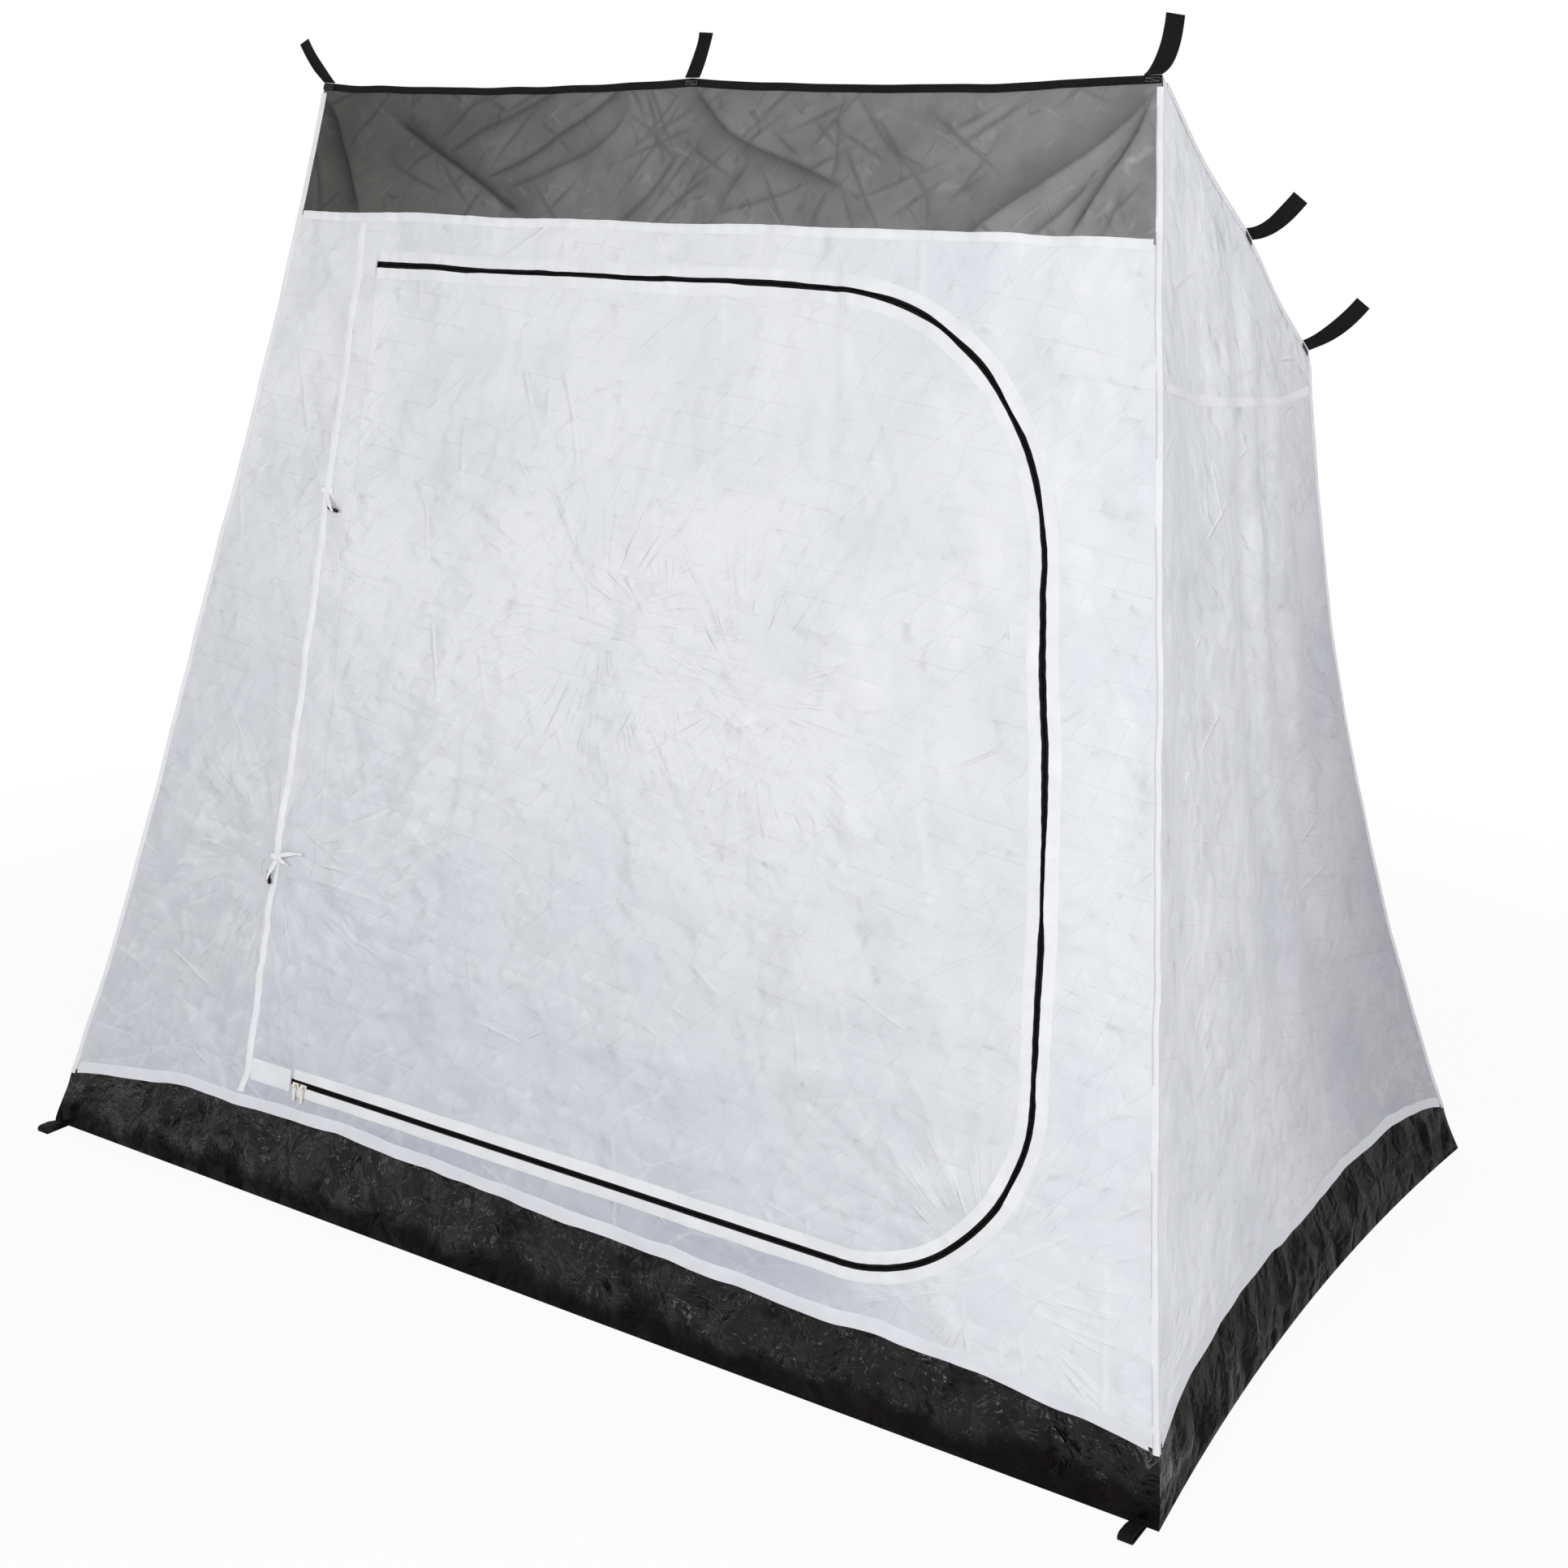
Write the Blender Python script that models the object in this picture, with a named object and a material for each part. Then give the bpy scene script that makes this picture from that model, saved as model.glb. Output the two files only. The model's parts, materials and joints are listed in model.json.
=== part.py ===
"""Inner tent for two sleepers: a white hanging cabin on a black bathtub groundsheet.

Lengths are metres and +Z is up. The origin is the centre of the floor's underside, and the
door side faces -Y. A wall is described by two fractions: u runs along it, anticlockwise round
the tent as seen from above, and v runs up it. The front wall is flat, so its pieces are drawn
as plain outlines in x (across) and h (up the slope). The other walls are patches hung between
their four seams.
"""
import math

import bpy
from mathutils import Matrix, Vector
from mathutils.geometry import delaunay_2d_cdt

# Cabin
FLOOR_WIDTH = 2.10
FLOOR_DEPTH = 1.40
FRONT_HEIGHT = 1.78
BACK_HEIGHT = 1.415
SIDE_LEAN = 0.1765          # inward lean of the side walls, per metre of height
FRONT_SETBACK = 0.412       # front top edge behind the front of the floor
BACK_SETBACK = 0.498        # back top edge ahead of the back of the floor

# How far the hanging cloth draws its seams in
FRONT_LEFT_PULL = 0.032
FRONT_RIGHT_PULL = 0.003
BACK_PULL_ACROSS = 0.045
BACK_PULL_DEEP = 0.034
FLOOR_SIDE_PULL = 0.037
TOP_SAG = 0.010             # front top edge between two straps
BACK_TOP_SAG = 0.018
ROOF_EDGE_SAG = 0.005       # roof side edge between two straps
ROOF_SAG = 0.022            # middle of the roof
FOLD_DEPTH = 0.0065         # hanging folds of the side and back walls
FOLD_WAVES = 4
BACK_FOLD_WAVES = 5
FOLD_DRIFT = 0.30           # how far the folds stray from even spacing, in folds

# Cloth, seams and tapes
CLOTH = 0.0006
GROUNDSHEET = 0.0008
TAPE = 0.0005
CLEARANCE = 0.0005          # between two layers that lie on each other
SEWN_GAP = 0.0003           # between two edges that are sewn together
FOLDED_SEAM_GAP = 0.0012    # from a corner seam to the edge of each wall
CORNER_TAPE_LEG = 0.008
TOP_BINDING_LEG = 0.009
SEAM_TAPE_WIDTH = 0.014
TAPE_END_ROOM = 0.0025      # between a tape's end and the tape that crosses it
HEM_ON_WALL = 0.015         # tub hem tape above the tub's edge
HEM_ON_TUB = 0.006
FOOT_GAP = 0.0007           # from the tub's rim up to the walls
EDGE_BAND = 0.016           # first row of points inside an edge, under its tape

# Bathtub groundsheet
TUB_HEIGHT = 0.136
TUB_CORNER_DIP = 0.040
TUB_SWAY = 0.010            # front edge above its course on the left, below it on the right
TUB_BELLY = 0.006
TUB_LEVELS = 3
TUB_RIM = 0.009             # straight band below the tub's edge, under the hem tape

# Front wall: door seam, mesh window and D-shaped door
SEAM_INSET = 0.445          # door seam from the floor's left corner
MESH_DROP = 0.213           # mesh window's lower edge below the front top edge
HINGE_TOP_INSET = 0.039     # hinge line from the door seam
HINGE_BOTTOM_INSET = 0.098
ZIP_TOP_DROP = 0.289        # door's top zip below the front top edge
ZIP_BOTTOM = 0.205
ZIP_SIDE_MARGIN = 0.187     # right run's foot, drawn down to the floor, from the floor's corner
ZIP_SIDE_LEAN = 0.156       # right run's lean, per metre up the slope
ZIP_TOP_RADIUS = 0.39
ZIP_BOTTOM_RADIUS = 0.25
ZIP_TEETH = 0.0038          # width of one half of the teeth
ZIP_TEETH_THICKNESS = 0.0028
ZIP_MESH_GAP = 0.0016       # between the halves, for the slider's post
ZIP_TAPE_WIDTH = 0.017
ZIP_START = 0.006           # zip's ends from the hinge line
PATCH_HEIGHT = 0.036

# Sliders and pulls
SLIDER_LENGTH = 0.014
SLIDER_WIDTH = 0.0085
SLIDER_WALL = 0.0012
SLIDER_POST = 0.0009
SLIDER_CLEARANCE = 0.0003
SLIDER_SPACING = 0.017
BRIDGE_BAR = 0.0011
BRIDGE_THICKNESS = 0.0016
BRIDGE_DROP = 0.0036        # the pull's pin line below the zip's centre
PULL_THICKNESS = 0.0010
PULL_WIDTH = 0.0055
PULL_NECK_WIDTH = 0.0036
PULL_NECK_DROP = 0.0030     # from the pull's eye to its neck
PULL_LENGTH = 0.027
EYE_SLACK = 0.0015          # the eye's length beyond the bridge

# Side walls
SIDE_COLUMNS = 17
STRAP_COLUMN = 9            # the roof edge strap's place among the side columns
SIDE_SEAM_DROP = 0.049      # cross seam's back end below the back top edge
SIDE_SEAM_RISE = 0.031      # its front end above its back end
SIDE_SEAM_SAG = 0.022
LOWER_ROW_COUNT = 9
UPPER_ROW_COUNT = 2
FRONT_COLUMNS = 14
BACK_COLUMNS = 16

# Pocket inside the right wall
POCKET_START = 5            # pocket's edges, among the right wall's columns
POCKET_END = 11
POCKET_BASE = 0.155
POCKET_HEIGHT = 0.215
POCKET_SWELL = 0.030
POCKET_STEPS = 14
POCKET_ROWS = 6
POCKET_SEWN = 0.0013        # from the wall's middle to the pocket's, where it is sewn

# Webbing straps and peg loops
WEBBING = 0.0014
STRAP_WIDTH = 0.025
STRAP_STANDOFF = 0.0007
LOOP_WIDTH = 0.020
LOOP_LENGTH = 0.050
LOOP_RADIUS = 0.0055
LOOP_LOW_RUN = (0.3, 0.7)   # where the peg loop lies on the ground, along its length
LOOP_HIGH_RUN = (0.62, 0.26)
LOOP_FOOT_RISE = 0.4        # its upper side's rise near the foot, in radii

# Toggles on the door seam
TOGGLE_HEIGHTS = {"upper": 1.167, "lower": 0.562}
TOGGLE_TURNS = {"upper": math.radians(48), "lower": math.radians(-14)}
RIBBON_WIDTH = 0.009
RIBBON_LENGTH = 0.034
RIBBON_TIP_WIDTH = 0.0054
TAB_LENGTH = 0.026
TAB_HEIGHT = 0.009
BAR_LENGTH = 0.023
BAR_RADIUS = 0.0032
BAR_WAIST = 0.0023
BAR_LEAN = math.radians(30) # bar from the ribbon's direction
CORD_RADIUS = 0.0009
CORD_LOOP = 0.016
CORD_LOOP_SQUEEZE = 0.6     # the loop's width, as a share of its height

front_slope = math.hypot(FRONT_HEIGHT, FRONT_SETBACK)
mesh_line = front_slope - MESH_DROP
zip_top = front_slope - ZIP_TOP_DROP
seam_height = BACK_HEIGHT - SIDE_SEAM_DROP
strap_fraction = STRAP_COLUMN / SIDE_COLUMNS
seam_x = SEAM_INSET - FLOOR_WIDTH / 2
layer = max(CLOTH, GROUNDSHEET) / 2 + CLEARANCE
zip_slot = ZIP_MESH_GAP / 2 + ZIP_TEETH + SEWN_GAP
top_room = TOP_BINDING_LEG + 2 * TAPE_END_ROOM  # from a top edge to the white tapes' ends

UP = Vector((0, FRONT_SETBACK, FRONT_HEIGHT)) / front_slope
OUT = Vector((0, -FRONT_HEIGHT, FRONT_SETBACK)) / front_slope
FRONT_FOOT = Vector((0, -FLOOR_DEPTH / 2, 0))


# Scene and solids
def clear_scene():
    for item in list(bpy.data.objects):
        bpy.data.objects.remove(item, do_unlink=True)


def finish(name, colour, roughness, metallic=0.0):
    """A plain material with the photographed colour, in linear values."""
    made = bpy.data.materials.new(name)
    made.use_nodes = True
    shader = made.node_tree.nodes["Principled BSDF"]
    shader.inputs["Base Color"].default_value = (*colour, 1.0)
    shader.inputs["Roughness"].default_value = roughness
    shader.inputs["Metallic"].default_value = metallic
    return made


def signed_volume(points, faces):
    total = 0.0
    for face in faces:
        for second, third in zip(face[1:], face[2:]):
            total += points[face[0]].dot(points[second].cross(points[third]))
    return total / 6


def add_solid(name, points, faces, material, origin=None, parent=None):
    """One named solid with its faces outwards and its object's origin at a given point."""
    if signed_volume(points, faces) < 0:
        faces = [tuple(reversed(face)) for face in faces]
    origin = Vector(origin) if origin is not None else Vector((0, 0, 0))
    mesh = bpy.data.meshes.new(name)
    mesh.from_pydata([point - origin for point in points], [], faces)
    mesh.update()
    mesh.materials.append(material)
    made = bpy.data.objects.new(name, mesh)
    bpy.context.collection.objects.link(made)
    place(made, origin, parent)
    return made


def place(item, origin, parent):
    """Put an object at a world point, under a parent that is itself unturned."""
    item.location = origin
    if parent:
        item.parent = parent
        above = parent
        while above:
            item.location -= above.location
            above = above.parent


def add_pivot(name, point, parent=None):
    """An empty on a joint's axis, to carry the pieces that turn about it."""
    pivot = bpy.data.objects.new(name, None)
    bpy.context.collection.objects.link(pivot)
    pivot.empty_display_size = 0.05
    place(pivot, Vector(point), parent)
    return pivot


def add_shell(name, outer, inner, material, **where):
    """A sheet between two grids of points that have the same rows and columns."""
    rows, columns = len(outer), len(outer[0])
    points = [point for row in outer for point in row]
    points += [point for row in inner for point in row]
    back = rows * columns

    def at(row, column):
        return row * columns + column

    faces = []
    for row in range(rows - 1):
        for column in range(columns - 1):
            a, b = at(row, column), at(row, column + 1)
            c, d = at(row + 1, column + 1), at(row + 1, column)
            faces += [(a, b, c), (a, c, d)]
            faces += [(back + c, back + b, back + a), (back + d, back + c, back + a)]
    last_row, last_column = rows - 1, columns - 1
    rim = [(at(0, i + 1), at(0, i)) for i in range(last_column)]
    rim += [(at(last_row, i), at(last_row, i + 1)) for i in range(last_column)]
    rim += [(at(i + 1, last_column), at(i, last_column)) for i in range(last_row)]
    rim += [(at(i, 0), at(i + 1, 0)) for i in range(last_row)]
    for a, b in rim:
        faces.append((a, b, back + b, back + a))
    return add_solid(name, points, faces, material, **where)


def is_inside(point, loop):
    """Whether a point lies inside a closed outline."""
    crossings = 0
    for (x0, y0), (x1, y1) in zip(loop, loop[1:] + loop[:1]):
        if (y0 > point.y) != (y1 > point.y):
            crossings += point.x < x0 + (point.y - y0) * (x1 - x0) / (y1 - y0)
    return crossings % 2 == 1


def add_plate(name, outline, holes, into_space, low, high, material, **where):
    """A flat plate: an outline with holes, mapped into space at two depths."""
    flat, edges = [], []
    for loop in [outline] + holes:
        start, count = len(flat), len(loop)
        flat += [Vector(point) for point in loop]
        edges += [(start + i, start + (i + 1) % count) for i in range(count)]
    made = delaunay_2d_cdt(flat, edges, [], 1, 1e-7)
    corners = made[0]
    triangles = [tuple(face) for face in made[2]
                 if not any(is_inside(sum((corners[i] for i in face), Vector((0, 0))) / 3, hole)
                            for hole in holes)]
    points = [into_space(p.x, p.y, high) for p in corners]
    points += [into_space(p.x, p.y, low) for p in corners]
    back = len(corners)
    faces = list(triangles)
    faces += [tuple(back + i for i in reversed(face)) for face in triangles]
    used = {(face[i], face[(i + 1) % 3]) for face in triangles for i in range(3)}
    for a, b in sorted(used):
        if (b, a) not in used:
            faces.append((b, a, back + a, back + b))
    return add_solid(name, points, faces, material, **where)


# Seams and walls
def mix(a, b, t):
    return a + (b - a) * t


def bow(t, power=2.0):
    """A hump that is 0 at both ends and 1 in the middle."""
    return 1 - abs(2 * t - 1) ** power


def ease(t):
    t = min(max(t, 0.0), 1.0)
    return t * t * (3 - 2 * t)


def fade(t, width):
    """1 in the middle, falling smoothly to 0 at both ends."""
    return ease(min(t, 1 - t) / width)


def on_front(x, h, out=0.0):
    return FRONT_FOOT + Vector((x, 0, 0)) + UP * h + OUT * out


def front_half_width(side, h):
    t = h / front_slope
    pull = FRONT_RIGHT_PULL if side > 0 else FRONT_LEFT_PULL
    return FLOOR_WIDTH / 2 - SIDE_LEAN * FRONT_HEIGHT * t - pull * bow(t, 4)


def front_flat(u, v):
    """The front wall's x and h at its fractions u and v."""
    h = v * (front_slope - TOP_SAG * bow(abs(2 * u - 1)))
    return mix(-front_half_width(-1, h), front_half_width(1, h), u), h


def floor_side(side, t):
    return Vector((side * (FLOOR_WIDTH / 2 - FLOOR_SIDE_PULL * bow(t)),
                   mix(-FLOOR_DEPTH / 2, FLOOR_DEPTH / 2, t), 0))


def back_corner(side, t):
    """The back corner seam, from the floor to the roof."""
    half = FLOOR_WIDTH / 2 - SIDE_LEAN * BACK_HEIGHT * t - BACK_PULL_ACROSS * bow(t)
    return Vector((side * half,
                   FLOOR_DEPTH / 2 - BACK_SETBACK * t - BACK_PULL_DEEP * bow(t),
                   BACK_HEIGHT * t))


def roof_side(side, t):
    """The roof's side edge, front to back, sagging between its three straps."""
    u = 1 if side > 0 else 0
    point = mix(on_front(*front_flat(u, 1)), back_corner(side, 1), t)
    if t < strap_fraction:
        part = t / strap_fraction
    else:
        part = (t - strap_fraction) / (1 - strap_fraction)
    sag = ROOF_EDGE_SAG * math.sin(math.pi * part) ** 2
    return point + Vector((-side * 0.7, 0, -0.7)) * sag


def back_top(t):
    """The back top edge, from the left to the right."""
    return mix(back_corner(-1, 1), back_corner(1, 1), t) - Vector((0, 0, BACK_TOP_SAG * bow(t)))


def floor_back(t):
    return Vector((mix(-FLOOR_WIDTH / 2, FLOOR_WIDTH / 2, t), FLOOR_DEPTH / 2, 0))


# Each wall's bottom and top edges along u, and its edges at u = 0 and u = 1 up v
EDGES = {
    "right": (lambda u: floor_side(1, u), lambda u: roof_side(1, u),
              lambda v: on_front(*front_flat(1, v)), lambda v: back_corner(1, v)),
    "back": (lambda u: floor_back(1 - u), lambda u: back_top(1 - u),
             lambda v: back_corner(1, v), lambda v: back_corner(-1, v)),
    "left": (lambda u: floor_side(-1, 1 - u), lambda u: roof_side(-1, 1 - u),
             lambda v: back_corner(-1, v), lambda v: on_front(*front_flat(0, v))),
    "roof": (lambda u: on_front(*front_flat(u, 1)), back_top,
             lambda v: roof_side(-1, v), lambda v: roof_side(1, v)),
}
ROUND = ("front", "right", "back", "left")


def top_height(wall, u):
    """Height of a wall's top edge, before it sags."""
    return {"front": FRONT_HEIGHT, "back": BACK_HEIGHT,
            "right": mix(FRONT_HEIGHT, BACK_HEIGHT, u),
            "left": mix(BACK_HEIGHT, FRONT_HEIGHT, u)}[wall]


def hang(wall, u, v):
    """How the cloth hangs away from the patch between its seams."""
    if wall == "roof":
        return Vector((0, 0, -ROOF_SAG * bow(u) * bow(v)))
    low = (TUB_HEIGHT + EDGE_BAND) / BACK_HEIGHT
    rise = fade(min(max((v - low) / (1 - low), 0), 1), 0.3)
    waves = BACK_FOLD_WAVES if wall == "back" else FOLD_WAVES
    phase = waves * u + FOLD_DRIFT * math.sin(math.tau * (1.3 * u + 0.35 * v))
    depth = FOLD_DEPTH * math.sin(math.tau * phase) * rise * fade(u, 0.2)
    return {"right": Vector((depth, 0, 0)), "left": Vector((-depth, 0, 0)),
            "back": Vector((0, depth, 0))}[wall]


def on_wall(wall, u, v, out=0.0):
    """The point at fractions u and v of a wall, a distance out from its middle surface."""
    if wall == "front":
        return on_front(*front_flat(u, v), out)
    bottom, top, start, end = EDGES[wall]
    point = mix(bottom(u), top(u), v) + mix(start(v), end(v), u)
    point -= mix(mix(start(0), end(0), u), mix(start(1), end(1), u), v)
    point += hang(wall, u, v)
    return point + wall_normal(wall, u, v) * out if out else point


def wall_normal(wall, u, v):
    if wall == "front":
        return OUT
    step = 1e-4
    u0, u1 = max(u - step, 0), min(u + step, 1)
    v0, v1 = max(v - step, 0), min(v + step, 1)
    across = on_wall(wall, u1, v) - on_wall(wall, u0, v)
    return across.cross(on_wall(wall, u, v1) - on_wall(wall, u, v0)).normalized()


def wall_width(wall, v):
    return (on_wall(wall, 1, v) - on_wall(wall, 0, v)).length


def wall_rise(wall, u):
    return (on_wall(wall, u, 1) - on_wall(wall, u, 0)).length


def stops(count, gap):
    """Places along an edge: a fraction, and a distance to add to it."""
    inner = [(i / count, EDGE_BAND * (1 - 2 * i / count)) for i in range(count + 1)]
    return [(0, gap)] + inner + [(1, -gap)]


def at_stop(stop, low, high, length):
    return mix(low, high, stop[0]) + stop[1] / length


COLUMNS = {"front": FRONT_COLUMNS, "right": SIDE_COLUMNS, "back": BACK_COLUMNS,
           "left": SIDE_COLUMNS, "roof": FRONT_COLUMNS}


def tub_height(wall, u):
    sway = TUB_SWAY * math.sin(math.tau * u) if wall == "front" else 0.0
    return TUB_HEIGHT + sway - TUB_CORNER_DIP * abs(2 * u - 1) ** 6


def tub_stops(wall):
    """The tub's points along a wall, as fractions of it."""
    width = wall_width(wall, TUB_HEIGHT / FRONT_HEIGHT)
    return [at_stop(stop, 0, 1, width) for stop in stops(COLUMNS[wall], 0)]


TUB_STOPS = {wall: tub_stops(wall) for wall in ROUND}


def tub_edge(wall, u):
    """The tub's top edge as a fraction v, straight between the tub's points."""
    places = TUB_STOPS[wall]
    for low, high in zip(places, places[1:]):
        if u <= high + 1e-9:
            break
    t = (u - low) / (high - low)
    return mix(tub_height(wall, low) / top_height(wall, low),
               tub_height(wall, high) / top_height(wall, high), t)


def cross_seam(wall, u):
    """The cross seam's fraction v on a side wall; the back wall's rows follow it."""
    from_front = u if wall == "right" else 1 - u
    height = seam_height + SIDE_SEAM_RISE * (1 - from_front) - SIDE_SEAM_SAG * bow(from_front)
    return height / top_height(wall, u)


def lower_rows():
    return [(0, FOOT_GAP)] + stops(LOWER_ROW_COUNT, SEWN_GAP)[1:]


def upper_rows():
    return [(0, SEWN_GAP)] + stops(UPPER_ROW_COUNT, 0)[1:-1] + [(1, -FOLDED_SEAM_GAP)]


def wall_grid(wall, columns, rows, low, high):
    """Fractions u and v for each row and column of a panel."""
    grid = []
    for row in rows:
        line = []
        for column in columns:
            u, v = column[0], row[0]
            for _ in range(3):
                u = at_stop(column, 0, 1, wall_width(wall, v))
                v = at_stop(row, low(wall, u), high(wall, u), wall_rise(wall, u))
            line.append((u, v))
        grid.append(line)
    return grid


def add_wall_panel(name, wall, rows, low, high, material):
    grid = wall_grid(wall, stops(COLUMNS[wall], FOLDED_SEAM_GAP), rows, low, high)
    outer = [[on_wall(wall, u, v, CLOTH / 2) for u, v in line] for line in grid]
    inner = [[on_wall(wall, u, v, -CLOTH / 2) for u, v in line] for line in grid]
    add_shell(name, outer, inner, material)


def front_seam_stops():
    """Fractions v where the side walls have rows, up the front corner seams."""
    low, mid = tub_edge("right", 0), cross_seam("right", 0)
    rise = wall_rise("right", 0)
    places = [at_stop(row, low, mid, rise) for row in lower_rows()]
    return places + [at_stop(row, mid, 1, rise) for row in upper_rows()]


def back_seam_stops():
    low, mid = tub_edge("right", 1), cross_seam("right", 1)
    rise = wall_rise("right", 1)
    places = [at_stop(row, low, mid, rise) for row in lower_rows()]
    return places + [at_stop(row, mid, 1, rise) for row in upper_rows()]


# Groundsheet
def add_groundsheet(material):
    """One sheet: a flat floor and four upstands, welded at their corners."""
    outer, inner = [], []
    previous = "left"
    for wall in ROUND:
        for u in TUB_STOPS[wall][:-1]:
            top = tub_edge(wall, u)
            foot = on_wall(wall, u, 0)
            line_out = [Vector((foot.x, foot.y, 0))]
            line_in = []
            rim = 1 - TUB_RIM / (top * wall_rise(wall, u))
            shares = [rim * level / TUB_LEVELS for level in range(TUB_LEVELS + 1)] + [1.0]
            for level, share in enumerate(shares):
                v = top * share
                if level == 0:
                    v = GROUNDSHEET / top_height(wall, u)
                out = wall_normal(wall, u, v)
                if u == 0:
                    other = wall_normal(previous, 1, v)
                    out = (out + other) / (1 + out.dot(other))
                belly = TUB_BELLY * math.sin(math.pi * min(share / rim, 1)) * fade(u, 0.1)
                point = on_wall(wall, u, v) + out * belly
                if level:
                    line_out.append(point + out * GROUNDSHEET / 2)
                line_in.append(point - out * GROUNDSHEET / 2)
            line_in[0].z = GROUNDSHEET
            outer.append(line_out)
            inner.append(line_in)
        previous = wall
    count, levels = len(outer), TUB_LEVELS + 2
    points = [point for line in outer for point in line]
    points += [point for line in inner for point in line]
    back = count * levels
    faces = []
    for i in range(count):
        j = (i + 1) % count
        for level in range(levels - 1):
            a, b = i * levels + level, j * levels + level
            c, d = b + 1, a + 1
            faces += [(a, b, c), (a, c, d)]
            faces += [(back + c, back + b, back + a), (back + d, back + c, back + a)]
        rim_a, rim_b = i * levels + levels - 1, j * levels + levels - 1
        faces.append((rim_a, rim_b, back + rim_b, back + rim_a))
    floor = delaunay_2d_cdt([line[0].to_2d() for line in outer],
                            [(i, (i + 1) % count) for i in range(count)], [], 1, 1e-7)[2]
    for face in floor:
        faces.append(tuple(levels * i for i in reversed(face)))
        faces.append(tuple(back + levels * i for i in face))
    add_solid("groundsheet_tub", points, faces, material)


# Tapes
def add_corner_tape(name, samples, leg, material):
    """An angle of tape over a seam; a sample is a point, its tangent and two normals."""
    low, high = layer, layer + TAPE
    outer, inner = [], []
    for point, tangent, first, second in samples:
        into_first = first.cross(tangent).normalized()
        into_second = tangent.cross(second).normalized()
        corner = (first + second) / (1 + first.dot(second))
        for depth, rows in ((high, outer), (low, inner)):
            rows.append([point + into_first * leg + first * depth,
                         point + corner * depth,
                         point + into_second * leg + second * depth])
    add_shell(name, outer, inner, material)


def upright_samples(first, second, places):
    """Samples up a corner seam, which ends the first wall and starts the second."""
    samples = []
    for v in places:
        lift = on_wall(first, 1, min(v + 1e-3, 1)) - on_wall(first, 1, v - 1e-3)
        samples.append((on_wall(first, 1, v), lift.normalized(),
                        wall_normal(first, 1, v), wall_normal(second, 0, v)))
    return samples


def top_samples(wall, places, on_roof):
    """Samples along a wall's top edge, from its end to its start."""
    samples = []
    for u in reversed(places):
        run = on_wall(wall, max(u - 1e-3, 0), 1) - on_wall(wall, min(u + 1e-3, 1), 1)
        samples.append((on_wall(wall, u, 1), run.normalized(),
                        wall_normal(wall, u, 1), wall_normal("roof", *on_roof(u))))
    return samples


def add_corner_tapes(material):
    pairs = {"front_right": ("front", "right", front_seam_stops),
             "back_right": ("right", "back", back_seam_stops),
             "back_left": ("back", "left", back_seam_stops),
             "front_left": ("left", "front", front_seam_stops)}
    for name, (first, second, rows) in pairs.items():
        rise = wall_rise(first, 1)
        low = tub_edge(first, 1) - HEM_ON_TUB / rise
        high = 1 - top_room / rise
        places = [low] + [v for v in rows() if low < v < high - CLEARANCE] + [high]
        add_corner_tape("corner_tape_" + name, upright_samples(first, second, places),
                        CORNER_TAPE_LEG, material)


def add_top_tapes(black, white):
    """Black bindings along the front and back top edges, white tapes along the roof's sides."""
    def even(wall, start, end):
        width = wall_width(wall, 1)
        inside = [at_stop(stop, 0, 1, width) for stop in stops(COLUMNS[wall], 0)]
        low, high = start / width, 1 - end / width
        return [low] + [u for u in inside if low + 1e-3 < u < high - 1e-3] + [high]

    bindings = {"front_top_binding": ("front", lambda u: (u, 0)),
                "back_top_binding": ("back", lambda u: (1 - u, 1))}
    for name, (wall, on_roof) in bindings.items():
        places = even(wall, FOLDED_SEAM_GAP, FOLDED_SEAM_GAP)
        add_corner_tape(name, top_samples(wall, places, on_roof), TOP_BINDING_LEG, black)
    sides = {"roof_tape_right": ("right", lambda u: (1, u)),
             "roof_tape_left": ("left", lambda u: (0, 1 - u))}
    for name, (wall, on_roof) in sides.items():
        places = even(wall, top_room, top_room)
        add_corner_tape(name, top_samples(wall, places, on_roof), CORNER_TAPE_LEG, white)


def add_wall_tape(name, wall, middle, below, above, material):
    """A flat tape that follows a line v = middle(wall, u) between two corner tapes."""
    end = CORNER_TAPE_LEG + 2 * TAPE_END_ROOM
    columns = [(0, end)] + stops(COLUMNS[wall], 0)[1:-1] + [(1, -end)]
    outer, inner = [], []
    for column in columns:
        u = at_stop(column, 0, 1, wall_width(wall, middle(wall, column[0])))
        rise = wall_rise(wall, u)
        limits = (middle(wall, u) - below / rise, middle(wall, u) + above / rise)
        outer.append([on_wall(wall, u, v, layer + TAPE) for v in limits])
        inner.append([on_wall(wall, u, v, layer) for v in limits])
    add_shell(name, outer, inner, material)


# Front wall
def edge_line(side, low, high):
    """Points up a front corner seam between two heights, inside its seam gap."""
    places = [low] + [v * front_slope for v in front_seam_stops()
                      if low + 1e-3 < v * front_slope < high - 1e-3] + [high]
    return [(side * (front_half_width(side, h) - FOLDED_SEAM_GAP), h) for h in places]


def tub_line():
    """The tub's top edge on the front wall, as points x and h."""
    return [front_flat(u, tub_edge("front", u)) for u in TUB_STOPS["front"]]


def tub_line_at(x):
    line = tub_line()
    for (x0, h0), (x1, h1) in zip(line, line[1:]):
        if x <= x1:
            break
    return mix(h0, h1, (x - x0) / (x1 - x0)) + FOOT_GAP


def panel_foot(low, high):
    """A front panel's lower edge between two x, just above the tub."""
    inside = [x for x, _ in tub_line() if low + 1e-3 < x < high - 1e-3]
    return [(x, tub_line_at(x)) for x in [low] + inside + [high]]


def foot_corner(side):
    h = tub_edge("front", 0) * front_slope
    return side * (front_half_width(side, h) - FOLDED_SEAM_GAP)


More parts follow.
